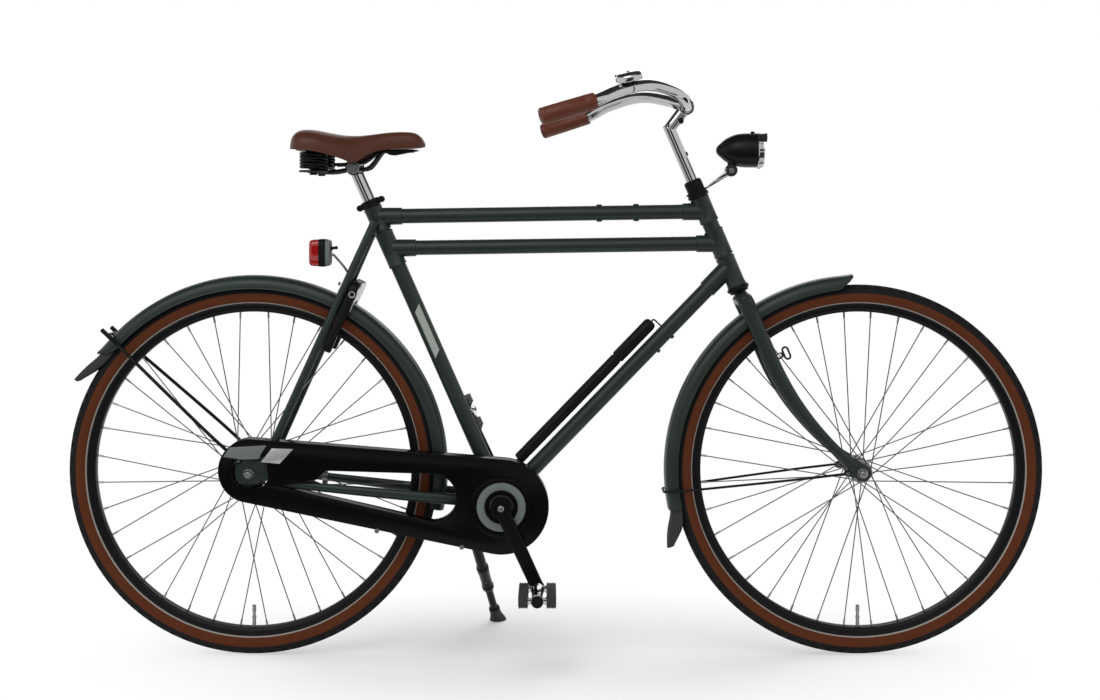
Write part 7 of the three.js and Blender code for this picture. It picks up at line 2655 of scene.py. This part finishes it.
@dataclass
class Saddle:
    """The sprung saddle on its post."""

    at: Places
    post_top: float = 0.706
    post_bottom: float = 0.556
    post_radius: float = 0.0125
    skirt: float = 0.005
    pan_low: float = 0.032
    pan_high: float = 0.0352
    coil: tuple[float, float, float] = (-0.072, 0.052, -0.0025)
    coil_radius: float = 0.024
    coil_wire: float = 0.0033
    coil_turns: int = 5

    STATIONS = (
        (-0.115, 0.048, 0.034, 0.064), (-0.109, 0.063, 0.0335, 0.088), (-0.096, 0.0715, 0.0325, 0.101),
        (-0.072, 0.0715, 0.0305, 0.105), (-0.045, 0.0665, 0.025, 0.099), (-0.019, 0.0622, 0.017, 0.085),
        (0.007, 0.061, 0.009, 0.066), (0.033, 0.0635, 0.0265, 0.048), (0.063, 0.0675, 0.0345, 0.036),
        (0.093, 0.069, 0.037, 0.029), (0.117, 0.067, 0.0385, 0.025), (0.13, 0.0585, 0.04, 0.019),
        (0.136, 0.048, 0.0415, 0.01),
    )
    RAILS = (
        (
            (0.088, 0.008, 0.031), (0.06, 0.011, 0.0315), (0.054, 0.012, 0.0295), (0.032, 0.019, 0.0015),
            (0.02, 0.022, -0.0035), (-0.008, 0.024, -0.004), (-0.04, 0.038, -0.009), (-0.072, 0.05, -0.009),
        ),
        (
            (0.074, 0.006, 0.031), (0.05, 0.009, 0.031), (0.0445, 0.01, 0.0285), (0.022, 0.017, 0.0125),
            (0.008, 0.021, 0.0075), (-0.012, 0.024, 0.006), (-0.038, 0.034, 0.005),
        ),
    )

    @property
    def origin(self) -> Vector:
        """Return the post's top, which the saddle is measured from."""
        return self.at.seat_at(self.post_top)

    def place(self, ahead: float, side: float, lift: float) -> Vector:
        """Return a point of the saddle."""
        return off(self.origin, ahead, side, lift)

    def build(self) -> None:
        """Make the saddle from the post up."""
        self.add_post()
        self.add_cover()
        self.add_pan()
        self.add_rails()
        self.add_springs()
        self.add_clamp()

    def add_post(self) -> None:
        """Turn the seat post and its clamp with a bolt."""
        low, high = (self.at.seat_at(station) for station in (self.post_bottom, self.post_top))
        post = rod("seat_post_turned", low, high, self.post_radius, ROUND, soft=0.001)
        finished(post, "seat", CHROME, "seat_post")
        low, tall, wide = 0.0003, 0.0147, 0.018
        rows = [
            (low, 0.0129), (low, wide - 0.0008), (low + 0.0008, wide), (tall * 0.36, wide),
            (tall * 0.4, wide - 0.0006), (tall * 0.6, wide - 0.0006), (tall * 0.64, wide),
            (tall - 0.0008, wide), (tall, wide - 0.0008), (tall, 0.0129),
        ]
        base = self.at.seat_at(0.622)
        ring = turned("post_clamp_ring", rows, base, self.at.seat_axis, ROUND, closed=True)
        middle = along(base, self.at.seat_axis, (low + tall) / 2)
        for end in (-1, 1):
            spot = along(middle, self.at.seat_forward, end * 0.0165)
            tip = along(middle, self.at.seat_forward, end * 0.026)
            ear = cross_rod(f"clamp_ear_{end}", spot, 0.008, 0.0058, soft=0.0008)
            bolt = rod(f"clamp_pin_{end}", spot, tip, 0.0054, FINE, soft=0.0012)
            knob = cross_rod(f"clamp_knob_{end}", tip.lerp(spot, 0.35), 0.0075, 0.0062, soft=0.0014)
            gathered(ring, ear, bolt, knob)
        finished(ring, "frame", BLACK_PLASTIC, "seat_clamp")

    def add_cover(self) -> None:
        """Draw the leather over its form, hollow below, with a rolled lower edge."""
        rings = []
        count = 32
        for ahead, top, low, half in smooth_rows(self.STATIONS, 5):
            upper = []
            for i in range(count + 1):
                a = math.pi * i / count
                y = half * math.copysign(abs(math.cos(a)) ** 0.65, math.cos(a))
                upper.append(self.place(ahead, y, low + (top - low) * abs(math.sin(a)) ** 0.55))
            nose = max(0.0, min(1.0, (ahead - 0.112) / 0.012))
            roof = max(low + 0.001, self.pan_high + mixed(0.0003, 0.0058, nose))
            inner = half - self.skirt
            under = [
                (-inner - 0.0015, low - 0.0006), (-inner, low), (-inner + 0.0017, roof),
                (inner - 0.0017, roof), (inner, low), (inner + 0.0015, low - 0.0006),
            ]
            rings.append([*upper, *[self.place(ahead, y, z) for y, z in under]])
        cover = lofted("saddle_cover_drawn", rings)
        finished(cover, "seat", SADDLE_LEATHER, "saddle_cover", degrees=60)
        for side in (-1, 1):
            rows = smooth_rows(self.STATIONS, 4)
            edge = [self.place(ahead, side * (half - 0.0004), low - 0.0001) for ahead, _, low, half in rows]
            bead = swept(f"saddle_edge_{side}", edge, 0.0008, sides=2)
            finished(bead, "seat", SADDLE_LEATHER)

    def add_pan(self) -> None:
        """Press the pan under the leather, with its nose bridge and spring plates."""
        pan = [
            (-0.108, -0.04), (-0.1, -0.066), (-0.088, -0.076), (-0.056, -0.076), (-0.044, -0.06),
            (-0.038, -0.03), (-0.02, -0.012), (0.116, -0.012),
        ]
        outline = [*pan, *[(x, -y) for x, y in reversed(pan)]]
        points = [self.place(x, y, self.pan_low) for x, y in outline]
        line = drawn("saddle_pan_pressed", points, closed=True)
        plate = bevelled(extruded(line, (0, 0, self.pan_high - self.pan_low)), 0.0008)
        nose = pressed(
            "saddle_nose_block",
            [(0.06, 0.0292), (0.064, 0.029), (0.112, 0.029), (0.116, 0.0305), (0.116, 0.033), (0.06, 0.033)],
            -0.012, 0.012, 0.001,
        )
        placed(nose, Matrix.Translation(self.origin))
        under = pressed(
            "saddle_nose_plate",
            [(0.05, 0.0335), (0.068, 0.0245), (0.078, 0.0235), (0.126, 0.0325), (0.12, 0.0345)], -0.01, 0.01,
            0.0015,
        )
        placed(under, Matrix.Translation(self.origin))
        seats = []
        for side in (-1, 1):
            ahead, out, low = self.coil
            base = self.place(ahead, side * out, low - self.coil_wire - 0.0043)
            rows = [
                (0, 0), (0, 0.026), (0.001, 0.0278), (0.003, 0.028), (0.004, 0.0268), (0.004, 0.0125),
                (0.0034, 0.012), (0.0034, 0),
            ]
            seats.append(turned(f"spring_seat_{side}", rows, base, UP, ROUND))
            seats.append(hex_head(f"spring_bolt_{side}", off(base, z=-0.0002), -UP, 0.0078, 0.005))
            top = self.place(ahead, side * out, self.pan_low - 0.0036)
            seats.append(
                turned(
                    f"spring_cap_{side}",
                    [(0, 0), (0, 0.0155), (0.0012, 0.0165), (0.0032, 0.0165), (0.0035, 0)], top, UP, ROUND,
                )
            )
        gathered(plate, nose, under, *seats)
        finished(plate, "seat", BLACK_PLASTIC, "saddle_frame")

    def add_rails(self) -> None:
        """Bend the rails from the nose block to the spring seats."""
        rails = []
        for side in (-1, 1):
            for number, (line, radius) in enumerate(zip(self.RAILS, (0.0035, 0.0031))):
                path = smooth_path([self.place(a, side * s, z) for a, s, z in line], 8)
                rails.append(swept(f"saddle_rail_{side}_{number}", path, radius, sides=4))
        finished(gathered(*rails), "seat", BLACK_PAINT)

    def add_springs(self) -> None:
        """Coil both springs and join their feet with the cross wire."""
        ahead, out, low = self.coil
        high = self.pan_low - self.coil_wire - 0.0003
        springs = []
        turns = self.coil_turns
        for side in (-1, 1):
            path = []
            for i in range(turns * 20 + 1):
                share = i / (turns * 20)
                a = TURN * turns * share
                x, y = ahead + self.coil_radius * math.cos(a), out + self.coil_radius * math.sin(a)
                path.append(self.place(x, side * y, mixed(low, high, share)))
            springs.append(swept(f"saddle_coil_{side}", path, self.coil_wire, sides=3))
        foot = self.place(ahead + self.coil_radius, 0, low)
        springs.append(cross_rod("spring_tie", foot, out, self.coil_wire))
        finished(gathered(*springs), "seat", BLACK_PAINT, "saddle_springs")

    def add_clamp(self) -> None:
        """Fit the clamp between the rails, with its discs and nuts."""
        body = refined("saddle_clamp", "saddle_clamp_cast", 0.0008)
        finished(body, "seat", CHROME, "saddle_clamp")
        centre = self.place(0, 0, 0.001)
        parts = []
        for side in (-1, 1):
            base = off(centre, y=side * 0.0304)
            parts.append(washer(f"saddle_clamp_disc_{side}", base, LEFT * side, 0.003, 0.0128, 0.0022))
            parts.append(
                hex_head(f"saddle_clamp_nut_{side}", off(base, y=side * 0.0022), LEFT * side, 0.0078, 0.006)
            )
        finished(gathered(*parts), "seat", STEEL)


# Stand


@dataclass
class Stand:
    """The side stand with its telescopic leg."""

    at: Places
    eye_top: float = 0.0115
    foot: tuple[float, float, float] = (-0.121, 0.24, 0.0)

    @property
    def eye(self) -> Vector:
        """Return the middle of the leg's eye."""
        return along(self.at.stand_pivot, self.at.stand_axis, self.eye_top / 2)

    def build(self) -> None:
        """Make the mount, the leg and the foot."""
        finished(
            refined("kickstand_mount", "kickstand_mount_cast", 0.0009), "frame", BLACK_PAINT,
            "kickstand_mount",
        )
        pivot, axis = self.at.stand_pivot, self.at.stand_axis
        head = hex_head("stand_bolt", along(pivot, axis, 0.0156), axis, 0.0078, 0.004)
        finished(head, "frame", STEEL)
        start, end = self.eye, Vector(self.foot)
        line = (end - start).normalized()
        length = (end - start).length
        rows = [
            (0.0, 0), (0.0, 0.0085), (0.014, 0.01), (length * 0.405, 0.0104), (length * 0.41, 0.0118),
            (length * 0.417, 0.0126), (length * 0.44, 0.0126), (length * 0.447, 0.012),
            (length * 0.47, 0.012), (length * 0.478, 0.0112), (length * 0.6, 0.011), (length * 0.605, 0.012),
            (length * 0.612, 0.0124), (length * 0.636, 0.0122), (length * 0.648, 0.0104),
            (length * 0.652, 0.0078), (length * 0.95, 0.0076), (length * 0.95, 0),
        ]
        leg = turned("kickstand_leg_tube", rows, start, line, 32)
        hole = rod("leg_room", along(pivot, axis, -0.03), along(pivot, axis, -0.0002), 0.03, ROUND)
        above = rod("head_room", along(pivot, axis, self.eye_top), along(pivot, axis, 0.03), 0.02, ROUND)
        carved(leg, hole, above)
        ring = washer("kickstand_eye", along(pivot, axis, 0.0), axis, 0.0063, 0.0122, self.eye_top)
        pin_room = rod("pin_room", along(pivot, axis, -0.02), along(pivot, axis, 0.03), 0.0063, ROUND)
        carved(leg, pin_room)
        button = turned(
            "stand_button", [(0, 0), (0, 0.0032), (0.0014, 0.0032), (0.0022, 0.0022), (0.0022, 0)],
            along(start, line, length * 0.56) - LEFT * 0.0104, -LEFT, FINE,
        )
        finished(gathered(leg, ring), "stand", BLACK_PAINT, "kickstand_leg")
        finished(button, "stand", STEEL)
        self.add_foot(start, line, length)

    def add_foot(self, start: Vector, line: Vector, length: float) -> None:
        """Turn the rubber foot and cut it flat on the ground.

        Args:
            start: The leg's upper end.
            line: The leg's direction.
            length: The leg's length.
        """
        rows = [
            (length * 0.86, 0.0079), (length * 0.86, 0.0104), (length * 0.865, 0.0112),
            (length * 0.885, 0.0114), (length * 0.89, 0.0106), (length * 0.93, 0.0118),
            (length * 0.97, 0.0145), (length * 1.0, 0.0172), (length * 1.03, 0.0182),
            (length * 1.06, 0.0183), (length * 1.06, 0), (length * 0.9505, 0), (length * 0.9505, 0.0079),
        ]
        foot = turned("kickstand_foot_moulded", rows, start, line, ROUND, closed=True)
        clear()
        bpy.ops.mesh.primitive_cube_add(size=0.2, location=(self.foot[0], self.foot[1], -0.1))
        carved(foot, started("ground_room"))
        finished(foot, "stand", BLACK_RUBBER, "kickstand_foot")


# Rear lamp, ring lock and pump


@dataclass
class RearLamp:
    """The battery lamp on its bent rod."""

    bridge: Vector
    behind: float = 0.0505
    lift: float = 0.07
    half: float = 0.027
    width: float = 0.022
    sides: int = 32
    squareness: float = 0.38

    LENS = (
        (-0.019, 0.7), (-0.0186, 0.8), (-0.0172, 0.88), (-0.0145, 0.935), (-0.008, 0.965), (-0.0003, 0.975)
    )
    BODY = ((0, 0.97), (0.0004, 0.99), (0.006, 1.0), (0.0128, 0.985), (0.0128, 0.93))
    BACK = ((0.0126, 0.955), (0.018, 0.935), (0.0206, 0.88), (0.0214, 0.8), (0.0216, 0.66))

    @property
    def centre(self) -> Vector:
        """Return the lamp's middle where lens and body meet."""
        return off(self.bridge, x=-self.behind, z=self.lift)

    def ring(self, x: float, scale: float) -> list[Vector]:
        """Return a rounded square ring at x.

        Args:
            x: Where the ring stands.
            scale: Its share of the lamp's size.

        Returns:
            The ring's points.
        """
        points = []
        for i in range(self.sides):
            a = TURN * i / self.sides
            c, s = math.cos(a), math.sin(a)
            y = self.width * scale * math.copysign(abs(c) ** self.squareness, c)
            z = self.half * scale * math.copysign(abs(s) ** self.squareness, s)
            points.append(Vector((x, y, self.centre.z + z)))
        return points

    def shell(self, name: str, rows: Sequence[Pair]) -> Piece:
        """Return a moulding from rows of the distance ahead of the middle and the ring's scale."""
        return lofted(name, [self.ring(self.centre.x + ahead, scale) for ahead, scale in rows])

    def build(self) -> None:
        """Make the lens, the body, the grey back, the rod and the clip."""
        finished(self.shell("rear_lens_moulded", self.LENS), "frame", RED_LENS, "rear_lamp_lens", degrees=45)
        finished(self.shell("rear_lamp_body_moulded", self.BODY), "frame", BLACK_PLASTIC, "rear_lamp_body")
        finished(self.shell("rear_lamp_back", self.BACK), "frame", GREY_TRIM)
        x, z = self.centre.x, self.centre.z
        lever = turned(
            "rear_lamp_lever",
            [
                (0, 0), (0, 0.0042), (0.0035, 0.0042), (0.004, 0.003), (0.01, 0.0028), (0.0106, 0.0034),
                (0.014, 0.0032), (0.0146, 0.0022), (0.0146, 0),
            ],
            Vector((x + 0.0205, -0.004, z + 0.0085)), Vector((1, 0, 0.12)).normalized(), FINE,
        )
        finished(lever, "frame", BLACK_PLASTIC)
        start = Vector((x + 0.0195, 0.0, z - 0.001))
        clip = off(self.bridge, y=0.01325)
        rod_line = smooth_path(
            [start, Vector((x + 0.0285, 0.0, z - 0.006)), Vector((x + 0.056, 0.004, z - 0.044)), clip], 8
        )
        wire = swept("rear_lamp_rod", rod_line, 0.0024, sides=3)
        band = turned(
            "rear_lamp_clip",
            [
                (-0.00675, 0.0063), (-0.00675, 0.0076), (-0.006, 0.0082), (0.006, 0.0082), (0.00675, 0.0076),
                (0.00675, 0.0063),
            ],
            clip, LEFT, ROUND, closed=True,
        )
        finished(gathered(wire, band), "frame", STEEL)
        for number, lift in enumerate((0.0095, -0.004)):
            spot = Vector((self.bridge.x - 0.0095, -0.01, self.bridge.z + lift))
            screw = hex_head(
                f"bridge_screw_{number}", spot, Vector((-1, 0, 0.5)).normalized(), 0.0036, 0.004
            )
            finished(screw, "frame", STEEL)


@dataclass
class RingLock:
    """The ring lock in front of the seat stays."""

    at: Places
    stay_top: Vector
    stay_foot: Vector
    top: float = 0.106
    arch: float = 0.145
    bottom: float = 0.253
    half: float = 0.05
    inner: float = 0.0325
    near: float = 0.0086
    far: float = 0.029

    def matrix(self) -> Matrix:
        """Return the lock's own axes: across the bike, away from the stays, down the stays.

        Returns:
            The matrix from those axes to the bike's.
        """
        line = (self.stay_foot - self.stay_top).normalized()
        away = Vector((-line.z, 0, line.x))
        rows = (LEFT, away, line)
        matrix = Matrix([[row[i] for row in rows] for i in range(3)]).to_4x4()
        matrix.translation = self.stay_top
        return matrix

    def outline(self, grow: float) -> list[Pair]:
        """Return the horseshoe outline with round corners.

        Args:
            grow: How far inside the lock's edge the outline runs.

        Returns:
            The outline's corners.
        """
        half, inner = self.half - grow, self.inner + grow
        top, arch, low = self.top + grow, self.arch - grow, self.bottom - grow
        return [
            *arc((half - 0.02, top + 0.02), 0.02, -90, 0, 8), (half, low - 0.015),
            *arc((half - 0.0085, low - 0.0085), 0.0085, 0, 80, 6), (inner + 0.002, low), (inner, low - 0.01),
            *arc((inner - 0.022, arch + 0.022), 0.022, 0, -90, 8),
            *arc((-inner + 0.022, arch + 0.022), 0.022, -90, -180, 8), (-inner, low - 0.01),
            (-inner - 0.002, low), *arc((-half + 0.0085, low - 0.0085), 0.0085, 100, 180, 6),
            (-half, low - 0.015), *arc((-half + 0.02, top + 0.02), 0.02, 180, 270, 8),
        ]

    def build(self) -> None:
        """Cast the body, its bright cover plate and the keyhole with its slot."""
        matrix = self.matrix()
        body = pressed("ring_lock_cast", self.outline(0.0), self.near + 0.0022, self.far - 0.0022)
        bevelled(body, 0.0035, 3)
        placed(body, matrix)
        arms = pressed("ring_lock_back", self.outline(0.0015), self.near + 0.0016, self.near + 0.006, 0.001)
        placed(arms, matrix)
        finished(gathered(body, arms), "frame", BLACK_PLASTIC, "ring_lock", degrees=40)
        shell_outline = [p for p in self.outline(0.0008) if p[1] < self.arch + 0.03]
        cover = pressed("ring_lock_cover", shell_outline, self.far - 0.0026, self.far, 0.0012)
        placed(cover, matrix)
        finished(cover, "frame", SILVER_TRIM)
        right = -LEFT
        spot = matrix @ Vector((-self.half, (self.near + self.far) / 2 + 0.001, self.top + 0.026))
        barrel = turned(
            "lock_barrel",
            [(0, 0.004), (0.0004, 0.0058), (0.001, 0.0062), (0.0014, 0.0056), (0.0012, 0.0044)], spot, right,
            FINE, closed=True,
        )
        finished(barrel, "frame", SILVER_TRIM)
        key = pressed(
            "lock_key_slot",
            belt((spot.x - 0.0018, spot.z + 0.003, 0.0009), (spot.x + 0.0018, spot.z - 0.003, 0.0009), 4),
            spot.y - 0.0011, spot.y - 0.0003,
        )
        finished(key, "frame", BLACK_PLASTIC)


@dataclass
class Pump:
    """The frame pump between its pegs."""

    at: Places
    down_station: float = 0.4585
    station: float = 0.18
    reach: float = 0.372
    lift: float = 0.033
    radius: float = 0.0112
    grip: float = 0.0125
    grip_reach: float = 0.097

    def build(self) -> None:
        """Turn the pump and bend the hook that holds it."""
        top = self.at.head_at(self.down_station)
        line = (self.at.bracket - top).normalized()
        behind = Vector((line.z, 0, -line.x))
        start = along(along(top, line, self.station), behind, self.lift)
        g, r = self.grip, self.radius
        rows = [
            (0, 0), (0, 0.005), (0.0012, 0.0086), (0.004, 0.0112), (0.0085, g), (self.grip_reach - 0.002, g),
            (self.grip_reach - 0.0004, g - 0.0008), (self.grip_reach, r - 0.001),
            (self.grip_reach + 0.003, r - 0.001), (self.grip_reach + 0.004, r), (self.reach - 0.022, r),
            (self.reach - 0.0212, r - 0.0006), (self.reach - 0.0196, r - 0.0006), (self.reach - 0.0188, r),
            (self.reach - 0.003, r), (self.reach - 0.0006, r - 0.002), (self.reach, 0.006), (self.reach, 0),
        ]
        finished(turned("pump_turned", rows, start, line, ROUND), "frame", BLACK_PLASTIC, "pump")
        tube = along(top, line, self.station - 0.0058) + behind * 0.015
        hook = smooth_path(
            [
                tube, along(tube, behind, 0.008), along(tube, behind, 0.0155),
                along(start, line, -0.004) + behind * 0.001, along(start, line, 0.0004),
            ],
            6,
        )
        peg = along(top, line, self.station + self.reach) + behind * self.lift
        low = smooth_path(
            [
                along(peg, line, -0.0004), along(peg, line, 0.004), along(peg, line, 0.0075) - behind * 0.01,
                along(peg, line, 0.0075) - behind * (self.lift - 0.015),
            ],
            6,
        )
        wires = [swept("pump_hook", hook, 0.0016, sides=3), swept("pump_peg", low, 0.0024, sides=3)]
        finished(gathered(*wires), "frame", BLACK_PAINT)


def main() -> None:
    """Build every sub-assembly round the frame."""
    logging.basicConfig(level=logging.INFO, format="%(name)s: %(message)s")
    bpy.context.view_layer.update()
    Studio().set_up()
    places = Places.read()
    main_frame = MainFrame(places)
    front_flap = ((188, -0.0034, 0.004), (193, -0.003, 0.003), (198, 0.012, -0.003), (202.5, 0.024, 0.012))
    rear_flap = ((139.5, -0.0034, 0.004), (144, -0.003, 0.004), (149, 0.006, 0.007), (153.5, 0.014, 0.016))
    front, rear = places.front_axle, places.rear_axle
    front_guard = Mudguard("front_mudguard", "fork_group", front, 91.8, 192, front_flap, -1)
    rear_guard = Mudguard("rear_mudguard", "frame", rear, -12, 143, rear_flap, 1)
    front_eye, rear_eye = off(front, x=-0.029), off(rear, x=-0.019, z=0.026)
    front_hub = Hub(0.022, 0.0195, 0.0125, 0.009, 0.032, 0.032, 0.046, 0.046)
    rear_hub = Hub(0.034, 0.031, 0.026, 0.013, 0.031, 0.027, 0.0485, 0.0395)
    parts = (
        main_frame, Fork(places), front_guard, rear_guard,
        GuardStay(front_guard, front_eye, FRONT_FACE, 0.0055, 0.003, 186.3, 0.0024, "fork_group"),
        GuardStay(rear_guard, rear_eye, REAR_FACE, 0.0065, 0.0034, 136.5, 0.0034, "frame", 0.02),
        Axle("front_axle", "fork_group", front, FRONT_FACE), Axle("rear_axle", "frame", rear, REAR_FACE),
        BrakeArm(rear), Cockpit(places), Headlamp(places), ChainCase(places), Drive(places), Saddle(places),
        Stand(places), RearLamp(main_frame.bridge),
        RingLock(places, main_frame.stay_top, main_frame.stay_foot), Pump(places),
        Wheel("front", front, front_hub), Wheel("rear", rear, rear_hub),
    )
    for part in parts:
        part.build()


if __name__ == "__main__":
    main()
